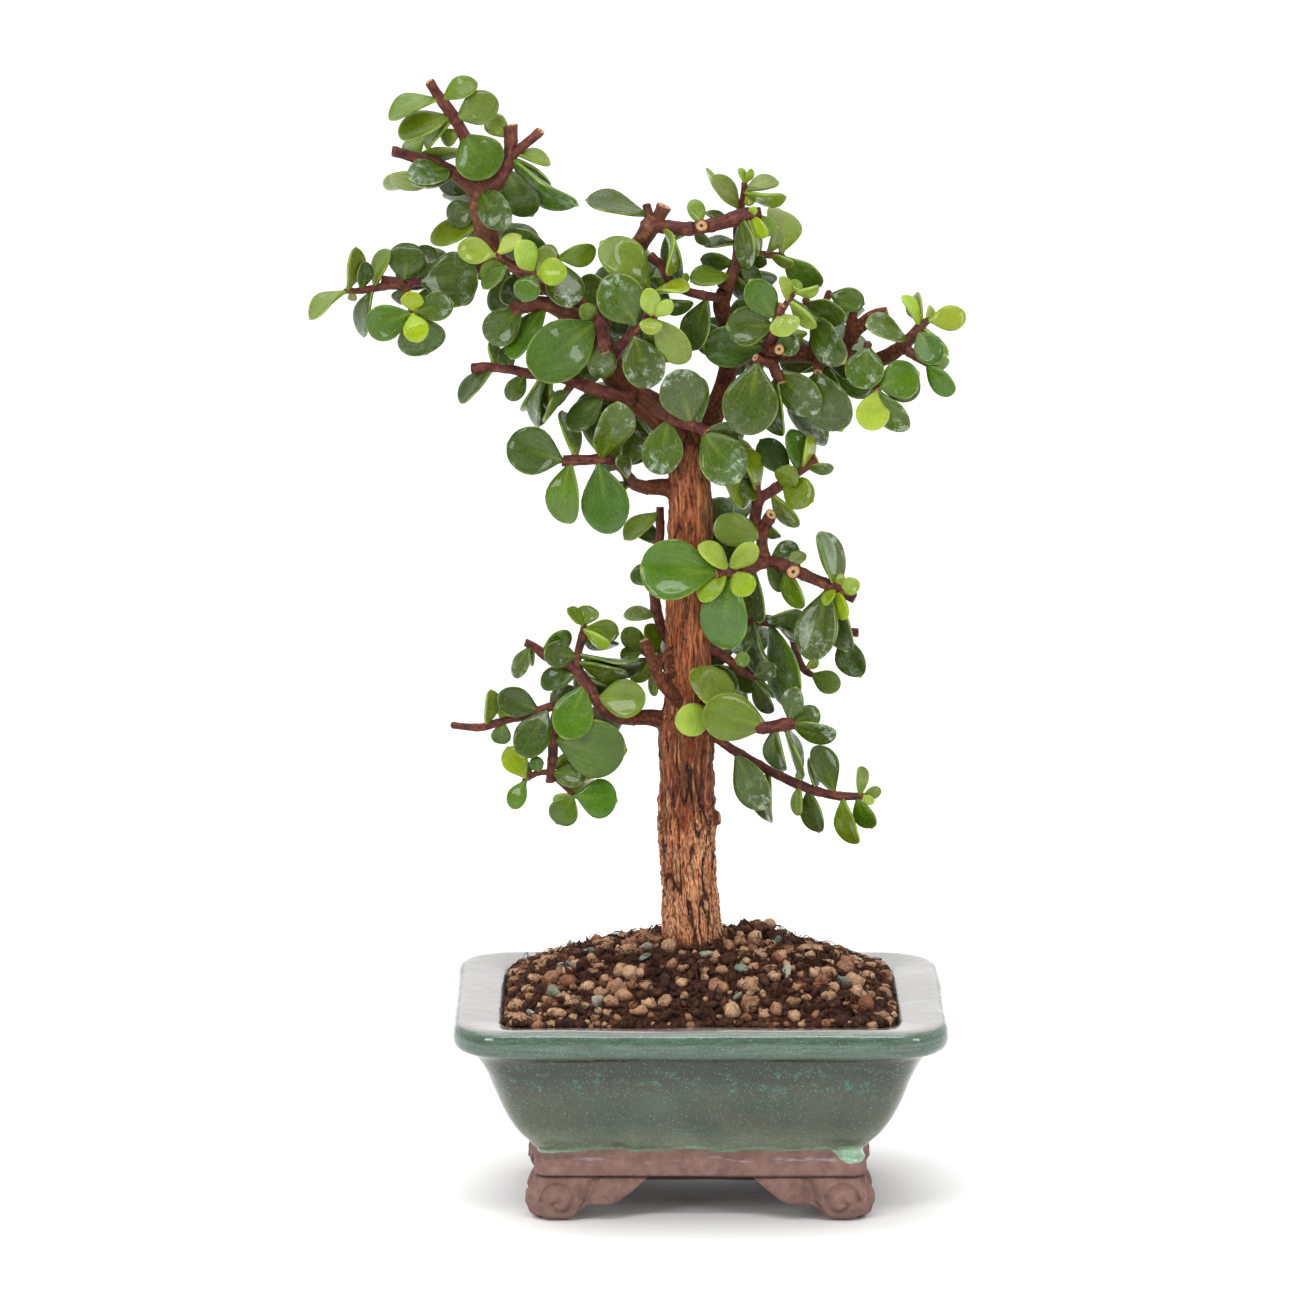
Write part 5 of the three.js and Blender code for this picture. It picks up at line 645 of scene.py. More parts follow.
def root_on_twigs(twigs, u, v):
    """Nearest point on a stem's twigs to where a leaf is seen to leave it."""
    best = None
    for path in twigs:
        for start, end in zip(path, path[1:]):
            du = end[0] - start[0]
            dv = end[1] - start[1]
            share = ((u - start[0]) * du + (v - start[1]) * dv) / (du * du + dv * dv + 1e-9)
            share = min(1, max(0, share))
            at = [a + share * (b - a) for a, b in zip(start, end)]
            distance = math.hypot(at[0] - u, at[1] - v)
            if best is None or distance < best[0]:
                best = (distance, at)
    return best[1]


def grow_stem(growth, name, twigs, leaves):
    for row in leaves:
        root_u, root_v, tip_u, tip_v, showing, behind, turn, tone = row + USUAL[len(row) - 6:]
        u, v, y, diameter = root_on_twigs(twigs, root_u, root_v)

        def tip_at(bend):
            return place(tip_u, tip_v, y + behind + bend)

        growth.grow(name, place(u, v, y), tip_at, showing, turn, tone, TO_VIEWER, diameter / 2)


def grow_rear_stem(growth, name, start_at, end_at):
    """Leaf pairs, each turned a quarter from the last, along a stem at the back."""
    start = place(*start_at)
    end = place(*end_at)
    axis = unit(end - start)
    first_side = unit(np.array([0, 0, 1]) - axis * axis[2])
    pairs = int((np.linalg.norm(end - start) - 4) // REAR_NODE_STEP) + 1
    for pair in range(pairs):
        root = end - axis * (0.6 + pair * REAR_NODE_STEP)
        for half in range(2):
            angle = pair * (math.pi / 2) + half * math.pi + 0.5 * growth.draws.next()
            outward = turned(first_side, axis, angle)
            forward = 0.9 if pair == 0 else 0.45
            shortest, longest = REAR_LEAF_LENGTH
            length = shortest + (longest - shortest) * growth.draws.next()

            def tip_at(bend):
                return root + outward * length + axis * (forward * length * 0.6 + bend * 0.5)

            growth.grow(name, root, tip_at, 0.8 * length, 1, DARK, -axis, 1.3)


def grow_tree():
    """Every leaf in its place, grown in the order that the part's source grows them."""
    growth = Growth(Draws(LEAF_SEED))
    for path in WOOD:
        growth.add_path("wood", path)
    for name, stem in STEMS.items():
        for path in stem["twigs"]:
            growth.add_path(name, path)
    for name, start, end in REAR_STEMS:
        growth.add_path(name, rear_path(start, end))
    growth.freeze()
    for name, stem in STEMS.items():
        grow_stem(growth, name, **stem)
    for name, start, end in REAR_STEMS:
        grow_rear_stem(growth, name, start, end)
    for name, *leaf in SMALL_EXTRAS:
        grow_stem(growth, name, STEMS[name]["twigs"], [leaf])
    return growth


def rear_path(start, end):
    return [[*start, REAR_TWIG[0]], [*end, REAR_TWIG[1]]]


# Meshes
def add_attribute(mesh, key, values):
    values = np.asarray(values, np.float32)
    kind, field = ("FLOAT", "value") if values.ndim == 1 else ("FLOAT_VECTOR", "vector")
    mesh.attributes.new(key, kind, "POINT").data.foreach_set(field, values.ravel())


def new_piece(name, points, faces, attributes=None):
    """An object at the origin from points in millimetres about the pot's middle."""
    mesh = bpy.data.meshes.new(name)
    places = np.asarray(points, float) * MM + ORIGIN
    mesh.from_pydata(places.tolist(), [], [list(map(int, face)) for face in faces])
    for key, values in (attributes or {}).items():
        add_attribute(mesh, key, values)
    mesh.update()
    mesh.shade_smooth()
    piece = bpy.data.objects.new(name, mesh)
    bpy.context.collection.objects.link(piece)
    return piece


def ring_faces(rings, count, closed=False):
    """Quads between rings of count points each; closed joins the last ring to the first."""
    faces = []
    for level in range(rings if closed else rings - 1):
        low = level * count
        high = ((level + 1) % rings) * count
        for i in range(count):
            j = (i + 1) % count
            faces.append((low + i, low + j, high + j, high + i))
    return faces


class Gathered:
    """Points, faces and point attributes of many small shapes, joined as one mesh."""

    def __init__(self):
        self.points = []
        self.faces = []
        self.attributes = {}
        self.count = 0

    def add(self, points, faces, **attributes):
        self.points.append(points)
        self.faces.extend(tuple(self.count + i for i in face) for face in faces)
        for key, values in attributes.items():
            self.attributes.setdefault(key, []).append(np.asarray(values, float))
        self.count += len(points)

    def piece(self, name):
        joined = {key: np.concatenate(values) for key, values in self.attributes.items()}
        return new_piece(name, np.concatenate(self.points), self.faces, joined)


def marks(points, kind, chance):
    """Two random numbers for the looks, with the kind between them, for every point of a shape."""
    return np.tile([chance.random(), kind, chance.random()], (len(points), 1))


LEAF_RING = 16
LEAF_STATIONS = (0.03, 0.09, 0.17, 0.27, 0.38, 0.49, 0.6, 0.69, 0.77, 0.84, 0.9, 0.945, 0.975, 0.993)
PETIOLE = 0.75


def leaf_mesh(leaf, chance):
    """Fleshy blade with a rounded rim, on a short stalk sunk in its twig."""
    thickness = min(LEAF_THICKNESS, 0.9 + 0.09 * leaf.length)
    sink = -0.7 * leaf.twig_radius / leaf.length
    t = np.array((sink,) + LEAF_STATIONS)
    angle = (np.arange(LEAF_RING) / LEAF_RING) * 2 * math.pi
    skew = chance.uniform(-0.05, 0.05)
    closing = np.sqrt(1 - np.clip((t - 0.82) / 0.18, 0, 1) ** 2)
    deep = 0.5 * thickness * (0.78 + 0.22 * np.sin(math.pi * np.clip(t, 0, 1))) * closing
    s = np.cos(angle)[None] * np.ones((len(t), 1))
    swell = np.sign(np.sin(angle)) * np.abs(np.sin(angle)) ** 0.68
    extra_cup = chance.triangular(-0.08, 0.26, 0.1)
    extra_bow = chance.uniform(-0.05, 0.08)
    fold = chance.triangular(-0.06, 0.26, 0.06)
    ripple = chance.uniform(0.0, 0.08)
    phase = chance.uniform(0, 6)
    fullness = chance.uniform(0.86, 1.08)
    point = chance.choice((0, 0, 0.015, 0.035))
    half = np.maximum(0.5 * leaf.width * width_at(t) ** fullness, np.where(t < 0.3, PETIOLE, 0))
    side = s * half[:, None] * (1 + skew * np.sin(3 * t[:, None] + s))
    widths = np.clip(width_at(t), 0, 1)[:, None]
    lift = leaf.rise(np.clip(t, 0, 1)[:, None], s)
    lift = lift + extra_cup * half[:, None] * s * s * widths
    lift = lift + fold * half[:, None] * (np.abs(s) - 0.4) * widths
    lift = lift + extra_bow * leaf.length * (4 * t * (1 - t))[:, None]
    lift = lift + ripple * half[:, None] * s * s * np.sin(7 * t[:, None] + phase + s)
    up = np.where(swell[None] > 0, 0.85, 1.1) * swell[None] * deep[:, None]
    points = (leaf.root + leaf.along * (t * leaf.length)[:, None, None]
              + leaf.across * side[..., None] + leaf.normal * (lift + up)[..., None])
    tip = leaf.root + leaf.along * leaf.length * (1 + point)
    start = leaf.root + leaf.along * (sink * leaf.length - 0.1)
    flat = np.concatenate([points.reshape(-1, 3), [start], [tip]])
    rings = len(t)
    faces = ring_faces(rings, LEAF_RING)
    start_at = rings * LEAF_RING
    last = (rings - 1) * LEAF_RING
    for i in range(LEAF_RING):
        j = (i + 1) % LEAF_RING
        faces.append((start_at, j, i))
        faces.append((start_at + 1, last + i, last + j))
    shape = np.zeros((len(flat), 3))
    shape[:-2] = np.stack([np.repeat(t, LEAF_RING), s.ravel(), np.tile(np.sin(angle), rings)], 1)
    shape[-1] = (1, 0, 0)
    return flat, [face[::-1] for face in faces], shape, marks(flat, leaf.tone, chance)


def knots_of(path):
    return np.array([[*place(*step[:3]), step[3]] for step in path])


def smooth_path(path, spacing):
    return smooth_knots(knots_of(path), spacing)


def smooth_knots(knots, spacing):
    """Catmull-Rom points and diameters along a branch, evenly close together."""
    ends = np.vstack([2 * knots[0] - knots[1], knots, 2 * knots[-1] - knots[-2]])
    made = []
    for i in range(1, len(ends) - 2):
        a, b, c, d = ends[i - 1:i + 3]
        steps = max(2, int(math.ceil(np.linalg.norm(c[:3] - b[:3]) / spacing)))
        for step in range(steps):
            t = step / steps
            made.append(0.5 * (2 * b + (c - a) * t + (2 * a - 5 * b + 4 * c - d) * t * t
                               + (3 * b - a - 3 * c + d) * t ** 3))
    made.append(knots[-1])
    return np.array(made)


def run_along(points):
    """How far along a path each of its points is."""
    return np.concatenate([[0], np.cumsum(np.linalg.norm(np.diff(points, axis=0), axis=1))])


def frames_along(points):
    """Directions along and square to a path, turned as little as possible."""
    along = np.gradient(points, axis=0)
    along /= np.linalg.norm(along, axis=1)[:, None]
    side = np.array([1.0, 0, 0])
    sides = []
    for direction in along:
        side = side - direction * (side @ direction)
        if np.linalg.norm(side) < 0.2:
            side = np.array([0, 1.0, 0]) - direction * direction[1]
        side = unit(side)
        sides.append(side)
    sides = np.array(sides)
    return along, sides, np.cross(along, sides)


# twigs at least this thick end in a pruning cut, thinner ones in a bud
CUT_FROM = 2.5
# how much thicker a twig is where it leaves its branch
COLLAR = 1.3
# rings of the end of a twig: height, share of its radius, and 1 where the cut wood shows; a cut is a
# chamfered rim round a slightly hollow face, a bud is a small dome
CUT_RINGS = ((0.1, 0.97, 0), (0.22, 0.88, 1), (0.2, 0.66, 1), (0.1, 0.42, 1), (-0.05, 0.2, 1))
BUD_RINGS = ((0.35, 0.94, 0), (0.65, 0.76, 0), (0.88, 0.5, 0), (0.98, 0.22, 0))
TWIG_SIDES = 12
TWIG_SPACING = 0.8
TWIG_NODE_STEP = 6.5
CARRIER_SPACING = 1.5


def grown_out(knots, carriers):
    """Adds a first knot within the branch that a twig starts from, with a small collar."""
    start = knots[0, :3]
    gaps = np.linalg.norm(carriers[:, :3] - start, axis=1)
    nearest = (gaps - carriers[:, 3] / 2).argmin()
    if gaps[nearest] < 0.25 * carriers[nearest, 3] or gaps[nearest] > 0.5 * carriers[nearest, 3] + 3:
        return knots
    inside = carriers[nearest, :3] + 0.3 * (start - carriers[nearest, :3])
    return np.vstack([[*inside, knots[0, 3] * COLLAR], knots])


def twig_mesh(path, carriers, chance):
    """A red twig with knuckles where leaves grow and with its end cut or budding."""
    knots = grown_out(knots_of(path), carriers)
    cut = path[-1][3] >= CUT_FROM
    if cut:
        # a cut that faces the viewer stands a little clear of the leaf that leaves it
        forward = unit(knots[-1, :3] - knots[-2, :3])
        knots[-1, :3] += forward * 1.3 * max(0, forward @ TO_VIEWER)
    steps = smooth_knots(knots, TWIG_SPACING)
    centres = steps[:, :3]
    radii = steps[:, 3] / 2
    along, side, other = frames_along(centres)
    run = run_along(centres)
    centres[0] -= along[0] * 1.2
    first_node = chance.uniform(1, TWIG_NODE_STEP)
    away = (run - first_node + TWIG_NODE_STEP / 2) % TWIG_NODE_STEP - TWIG_NODE_STEP / 2
    knuckle = np.exp(-(away / 0.6) ** 2)
    angle = np.arange(TWIG_SIDES) / TWIG_SIDES * 2 * math.pi
    turn = chance.uniform(0, 6)
    uneven = 1 + 0.05 * np.sin(2 * angle[None] + turn + run[:, None] * 0.35)
    uneven = uneven + 0.035 * np.sin(3 * angle[None] - run[:, None] * 0.9 + turn)
    wide = radii[:, None] * uneven * (0.97 + 0.13 * knuckle[:, None])
    rings = [centres[i] + np.outer(np.cos(angle) * wide[i], side[i])
             + np.outer(np.sin(angle) * wide[i], other[i]) for i in range(len(run))]
    extra = [(0.0, 0.0, 0.0)] * len(run)
    end = centres[-1]
    tip_radius = radii[-1]
    tilt = side[-1] * chance.uniform(-0.25, 0.25) + other[-1] * chance.uniform(-0.25, 0.25)
    facing = unit(along[-1] + (tilt if cut else 0))
    for height, share, shown in (CUT_RINGS if cut else BUD_RINGS):
        rise = height if cut else height * tip_radius
        ring = np.outer(np.cos(angle) * wide[-1] * share, side[-1])
        ring = ring + np.outer(np.sin(angle) * wide[-1] * share, other[-1])
        if cut:
            ring = ring - np.outer(ring @ (facing - along[-1]), along[-1])
        rings.append(end + ring + along[-1] * rise)
        extra.append((shown, share, 0))
    points = np.concatenate(rings + [[end + along[-1] * (-0.08 if cut else tip_radius)]])
    faces = ring_faces(len(rings), TWIG_SIDES)
    last = (len(rings) - 1) * TWIG_SIDES
    for i in range(TWIG_SIDES):
        faces.append((last + i, last + (i + 1) % TWIG_SIDES, len(points) - 1))
    faces.append(tuple(reversed(range(TWIG_SIDES))))
    added = len(rings) - len(run)
    lengthwise = np.repeat(np.concatenate([run, [run[-1]] * added]), TWIG_SIDES)
    thick = np.repeat(np.concatenate([radii * 2, [radii[-1] * 2] * added]), TWIG_SIDES)
    shown, share = np.repeat([mark[:2] for mark in extra], TWIG_SIDES, axis=0).T
    shape = np.zeros((len(points), 3))
    shape[:-1] = np.stack([lengthwise, thick, shown], 1)
    shape[-1] = (run[-1], thick[-1], 1 if cut else 0)
    looks = np.zeros((len(points), 3))
    looks[:, 0] = chance.random()
    looks[:-1, 1] = share
    looks[:-1, 2] = np.repeat(np.concatenate([knuckle, [0] * added]), TWIG_SIDES)
    around = np.zeros((len(points), 3))
    around[:-1, 0] = np.tile(np.cos(angle), len(rings)) * (thick / 2)
    around[:-1, 1] = np.tile(np.sin(angle), len(rings)) * (thick / 2)
    around[:-1, 2] = 0.18 * lengthwise + 40 * chance.random()
    around[-1, 2] = around[-2, 2]
    return points, faces, shape, looks, around


def make_stems(growth):
    """Leaves and twigs of every stem, as two pieces for each stem node."""
    made = []
    trunk = [smooth_path(path, CARRIER_SPACING) for path in WOOD]
    paths = {name: stem["twigs"] for name, stem in STEMS.items()}
    paths.update({name: [rear_path(start, end)] for name, start, end in REAR_STEMS})
    for name, twigs in paths.items():
        chance = random.Random(name)
        leaves = Gathered()
        for owner, leaf in growth.leaves:
            if owner == name:
                points, faces, shape, looks = leaf_mesh(leaf, chance)
                leaves.add(points, faces, shape=shape, looks=looks)
        wood = Gathered()
        for i, path in enumerate(twigs):
            others = [smooth_path(twig, CARRIER_SPACING) for k, twig in enumerate(twigs) if k != i]
            carriers = np.concatenate(trunk + others)
            points, faces, shape, looks, around = twig_mesh(path, carriers, chance)
            wood.add(points, faces, shape=shape, looks=looks, round=around)
        short = name.replace("stem_", "")
        for gathered, kind in ((leaves, "leaves"), (wood, "twigs")):
            piece = gathered.piece(f"{kind}_{short}")
            turn_out(piece)
            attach(piece, "root")
            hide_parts(name)
            made.append((kind, piece))
    return made


def turn_out(piece):
    """Makes every closed shell of a mesh face outwards."""
    shells = bmesh.new()
    shells.from_mesh(piece.data)
    bmesh.ops.recalc_face_normals(shells, faces=shells.faces)
    shells.to_mesh(piece.data)
    shells.free()


# Trunk
TRUNK_VOXEL = 0.46
TRUNK_SPACING = 1.2
# the stub of an old shoot on the trunk, cut off pale
STUB = [[-7.0, 164.6, -4.0, 3.6], [-10.6, 165.6, -6.2, 2.6]]
# a torn spur beside the pruned end of the right-hand limb
SPUR = [[45.4, 263.6, 2.8, 4.6], [45.2, 268, 2.2, 3.6], [46.2, 273.8, 1.6, 2.2]]
BRANCHES = WOOD + [STUB, SPUR]
# branches that end in an old pruning cut
BARE_ENDS = (5, 8, 10, 11, 12, 13)
# heights of the rings where leaf pairs once grew
OLD_RINGS = (121, 144.5, 176, 203, 221)
BATCH = 4000


def plain_tube(path, sides):
    steps = smooth_path(path, TRUNK_SPACING)
    centres = steps[:, :3]
    along, side, other = frames_along(centres)
    angle = np.arange(sides) / sides * 2 * math.pi
    rings = [centres[i] + steps[i, 3] / 2 * (np.outer(np.cos(angle), side[i])
                                             + np.outer(np.sin(angle), other[i]))
             for i in range(len(steps))]
    faces = ring_faces(len(rings), sides)
    last = (len(rings) - 1) * sides
    faces.append(tuple(range(last, last + sides)))
    faces.append(tuple(reversed(range(sides))))
    return np.concatenate(rings), faces


def pick(pieces):
    """Selects these pieces alone, the first as the active one."""
    bpy.ops.object.select_all(action="DESELECT")
    for piece in pieces:
        piece.select_set(True)
    bpy.context.view_layer.objects.active = pieces[0]


def joined_by_remesh(pieces, voxel, smoothing):
    """Joins touching pieces into one skin of small even faces."""
    pick(pieces)
    bpy.ops.object.join()
    piece = bpy.context.view_layer.objects.active
    remesh = piece.modifiers.new("Remesh", "REMESH")
    remesh.mode = "VOXEL"
    remesh.voxel_size = voxel * MM
    bpy.ops.object.modifier_apply(modifier=remesh.name)
    smooth = piece.modifiers.new("Smooth", "SMOOTH")
    smooth.factor = 0.5
    smooth.iterations = smoothing
    bpy.ops.object.modifier_apply(modifier=smooth.name)
    piece.data.shade_smooth()
    return piece


def mesh_points(piece):
    """Points of a piece in millimetres about the pot's middle, and its normals."""
    count = len(piece.data.vertices)
    places = np.empty(count * 3)
    piece.data.vertices.foreach_get("co", places)
    normals = np.empty(count * 3)
    piece.data.vertex_normals.foreach_get("vector", normals)
    return (places.reshape(-1, 3) - ORIGIN) / MM, normals.reshape(-1, 3)


def set_points(piece, points):
    piece.data.vertices.foreach_set("co", (points * MM + ORIGIN).ravel())
    piece.data.update()


def smoothstep(low, high, value):
    t = np.clip((value - low) / (high - low), 0, 1)
    return t * t * (3 - 2 * t)


def noise_at(places, scales, offset=0):
    scaled = places * np.array(scales) + offset
    return np.array([noise.noise(Vector(place)) for place in scaled])


def make_trunk():
    """Trunk and branches as one skin, pushed in and out by cracks, plates, flakes and rings."""
    tubes = []
    for i, path in enumerate(BRANCHES):
        points, faces = plain_tube(path, 40 if i == 0 else 20)
        tubes.append(new_piece(f"tube_{i}", points, faces))
    piece = joined_by_remesh(tubes, TRUNK_VOXEL, 6)
    piece.name = "trunk_bark"
    points, normals = mesh_points(piece)
    # nearest branch, how far along it and which way round it, for each point
    centres = []
    for i, path in enumerate(BRANCHES):
        steps = smooth_path(path, TRUNK_SPACING)
        along, side, other = frames_along(steps[:, :3])
        run = run_along(steps[:, :3])
        for j in range(len(steps)):
            centres.append((*steps[j, :3], steps[j, 3] / 2, run[j], i, *along[j], *side[j], *other[j],
                            run[-1]))
    centres = np.array(centres)
    nearest = np.empty(len(points), int)
    for start in range(0, len(points), BATCH):
        some = points[start:start + BATCH]
        gap = np.linalg.norm(some[:, None] - centres[None, :, :3], axis=2) - centres[:, 3]
        nearest[start:start + BATCH] = gap.argmin(1)
    found = centres[nearest]
    offset = points - found[:, :3]
    forward = (offset * found[:, 6:9]).sum(1)
    run = found[:, 4] + forward
    across = (offset * found[:, 9:12]).sum(1)
    beside = (offset * found[:, 12:15]).sum(1)
    radius = np.hypot(across, beside) + 1e-6
    shift = found[:, 5] * 13.7
    flat = np.stack([across, beside, run], 1)
    height = points[:, 2]
    old = smoothstep(170, 95, height) * (found[:, 5] == 0)
    wave = noise_at(flat, (0.10, 0.10, 0.05), 3.1)
    bent = flat + wave[:, None] * np.array([1.4, -1.2, 0]) + shift[:, None]
    long_lines = noise_at(bent, (0.40, 0.40, 0.055), 11.0)
    fine_lines = noise_at(bent, (0.95, 0.95, 0.13), 29.0)
    plates = noise_at(bent, (0.30, 0.30, 0.15), 47.0)
    crumbs = noise_at(points, (1.1, 1.1, 0.8), 5.0)
    crack = 1 - smoothstep(0.02, 0.16, np.abs(long_lines))
    fine = 1 - smoothstep(0.02, 0.20, np.abs(fine_lines))
    split = (1 - smoothstep(0.0, 0.10, np.abs(plates))) * (0.35 + 0.65 * old)
    strength = np.clip((found[:, 3] - 2.0) / 6.0, 0.12, 1) * (0.55 + 0.45 * old)
    ridge = np.zeros(len(points))
    for level in OLD_RINGS:
        away = height - level - 0.8 * np.sin(np.arctan2(beside, across) * 2 + level)
        ridge += np.exp(-(away / 1.1) ** 2) * (found[:, 5] == 0)
    lift = -0.9 * crack - 0.5 * fine * (1 - crack) - 0.45 * split + 0.42 * crumbs + 0.5 * plates
    lift = lift * strength + 0.6 * ridge * strength
    crack = crack * (0.45 + 0.55 * smoothstep(150, 118, height))
    set_points(piece, points + normals * lift[:, None])
    ends = np.isin(found[:, 5], BARE_ENDS) & (run > found[:, 15] - 0.9)
    cut = ends & ((normals * found[:, 6:9]).sum(1) > 0.55)
    add_attribute(piece.data, "bark", np.stack([np.clip(crack + 0.5 * fine, 0, 1), plates, run], 1))
    add_attribute(piece.data, "wood", np.stack([found[:, 3], cut * 1.0, radius / found[:, 3]], 1))
    add_attribute(piece.data, "round", np.stack([across, beside, run], 1))
    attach(piece, "root")
    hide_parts("trunk")
    return piece


# Pot
POT_AROUND = 9            # steps round each corner
POT_STRAIGHT = 22         # steps along each straight side
POT_ROUNDS = 2
FLOOR_TOP = 21.5
UNDERSIDE = 16.5
RING_LOW = 10.3           # the inner foot ring, in shade behind the front arch
DRAIN_RADIUS = 8


def rectangle_ring(z, half_width, half_depth, radius):
    """Points round a rectangle with rounded corners, level at z."""
    def spot(corner, quarters):
        sign_x = 1 if corner % 4 in (0, 3) else -1
        sign_y = 1 if corner % 4 < 2 else -1
        angle = quarters * math.pi / 2
        return (sign_x * (half_width - radius) + radius * math.cos(angle),
                sign_y * (half_depth - radius) + radius * math.sin(angle), z)

    ring = []
    for corner in range(4):
        ring += [spot(corner, corner + step / POT_AROUND) for step in range(POT_AROUND + 1)]
        start = np.array(ring[-1])
        stop = np.array(spot(corner + 1, corner + 1))
        ring += [tuple(start + (stop - start) * step / POT_STRAIGHT) for step in range(1, POT_STRAIGHT)]
    return np.array(ring)


def rounded_levels(levels, rounds):
    """Cuts the corners of a closed profile, so that each turn gets a small radius."""
    for _ in range(rounds):
        made = []
        for here, after in zip(levels, levels[1:] + levels[:1]):
            here = np.array(here, float)
            after = np.array(after, float)
            made.append(here + (after - here) * 0.25)
            made.append(here + (after - here) * 0.75)
        levels = made
    return [tuple(level) for level in levels]


def make_pot_body():
    ring = [(UNDERSIDE, 30, 20, 10), (UNDERSIDE, 38.4, 22.8, 4), (RING_LOW + 0.2, 38.8, 23.2, 4),
            (RING_LOW, 39.2, 23.6, 4), (RING_LOW, 40.6, 25, 4), (RING_LOW + 0.2, 41, 25.4, 4)]
    base = ring + [(UNDERSIDE, 41.4, 25.8, 4), (UNDERSIDE, 42, 26.4, 4), (13.6, 42.6, 27, 4),
                   (13.5, 44, 28.4, 4)]
    hole = [(FLOOR_TOP, 24, 18, 12), (FLOOR_TOP, DRAIN_RADIUS + 1.2, DRAIN_RADIUS + 1.2, 9.2),
            (FLOOR_TOP - 0.6, DRAIN_RADIUS, DRAIN_RADIUS, 8),
            (UNDERSIDE + 0.6, DRAIN_RADIUS, DRAIN_RADIUS, 8),
            (UNDERSIDE, DRAIN_RADIUS + 1.2, DRAIN_RADIUS + 1.2, 9.2)]
    levels = base + [tuple(level) for level in POT_LEVELS + POT_INSIDE] + hole
    levels = rounded_levels(levels, POT_ROUNDS)
    rings = [rectangle_ring(*level) for level in levels]
    points = np.concatenate(rings)
    faces = ring_faces(len(rings), len(rings[0]), closed=True)
    piece = new_piece("pot_body", points, faces)
    turn_out(piece)
    points, normals = mesh_points(piece)
    # thrown and fettled by hand: the walls are never quite flat
    slow = noise_at(points, (0.035, 0.035, 0.05), 9.0)
    quick = noise_at(points, (0.14, 0.14, 0.2), 21.0)
    set_points(piece, points + normals * (0.45 * slow + 0.10 * quick)[:, None])
    flat_rim = smoothstep(0.75, 0.97, normals[:, 2]) * (points[:, 2] > 58)
    add_attribute(piece.data, "rim", flat_rim)
    return piece


# Feet
FOOT_CORNER = (51.4, 35.4)
FOOT_DEPTH = 8.5
FOOT_SIDE_SCALE = 0.72
FOOT_VOXEL = 0.55
FOOT_ROUND = 6
# how far the outer faces lean in, at these heights
FOOT_LEAN_AT = (0, 0.5, 1.9, 4.6, 7.8, 11, 14.4)
FOOT_LEAN = (3.4, 2.4, 0.9, 0, 0.3, 1.4, 2.2)


def foot_wing(name, scale, corner, inward, back):
    """One wing of a bracket foot as an extruded outline; inward and back are directions."""
    outline = rounded_outline([(x * scale, z) for x, z in FOOT_OUTLINE])
    front = [np.array(corner) + np.array(inward) * x + np.array([0, 0, z]) for x, z in outline]
    rear = [point + np.array(back) * FOOT_DEPTH for point in front]
    count = len(front)
    faces = [tuple(range(count)), tuple(range(2 * count - 1, count - 1, -1))]
    faces += [(i, i + count, (i + 1) % count + count, (i + 1) % count) for i in range(count)]
    piece = new_piece(name, np.array(front + rear), faces)
    turn_out(piece)
    return piece


def rounded_outline(points):
    """Cuts the corners of an open outline twice, keeping its ends."""
    for _ in range(2):
        made = [points[0]]
        for here, after in zip(points, points[1:]):
            made.append(tuple(a + (b - a) * 0.25 for a, b in zip(here, after)))
            made.append(tuple(a + (b - a) * 0.75 for a, b in zip(here, after)))
        made.append(points[-1])
        points = made
    return points


def make_foot(sign_x, sign_y):
    corner = (sign_x * FOOT_CORNER[0], sign_y * FOOT_CORNER[1], 0)
    wings = [
        foot_wing("wing", 1, corner, (-sign_x, 0, 0), (0, -sign_y, 0)),
        foot_wing("wing", FOOT_SIDE_SCALE, corner, (0, -sign_y, 0), (-sign_x, 0, 0)),
    ]
    piece = joined_by_remesh(wings, FOOT_VOXEL, 8)
    points, normals = mesh_points(piece)
    # distance in from the two outer faces
    from_x = FOOT_CORNER[0] - points[:, 0] * sign_x
    from_y = FOOT_CORNER[1] - points[:, 1] * sign_y
    # both outer faces lean in above and below the knuckle, as the outline does
    lean = np.interp(points[:, 2], FOOT_LEAN_AT, FOOT_LEAN)
    points[:, 0] -= sign_x * lean * smoothstep(6, 1, from_x)
    points[:, 1] -= sign_y * lean * smoothstep(6, 1, from_y)
    # the corner between them is rounded like a knuckle
    near_x = np.maximum(FOOT_ROUND - from_x, 0)
    near_y = np.maximum(FOOT_ROUND - from_y, 0)
    reach = np.hypot(near_x, near_y)
    over = np.maximum(reach - FOOT_ROUND, 0) / np.maximum(reach, 1e-6)
    points[:, 0] -= sign_x * near_x * over
    points[:, 1] -= sign_y * near_y * over
    on_front = np.abs(normals[:, 1]) > np.abs(normals[:, 0])
    inward = np.where(on_front, from_x, from_y / FOOT_SIDE_SCALE)
    shown = smoothstep(2.5, 0.5, np.where(on_front, from_y, from_x))
    grain = noise_at(points, (0.35, 0.35, 0.35), 2.0)
    lift = foot_relief(inward, points[:, 2]) * shown + 0.22 * grain
    points = points + normals * lift[:, None]
    points[:, 2] = np.maximum(points[:, 2], 0)
    set_points(piece, points)
    return piece


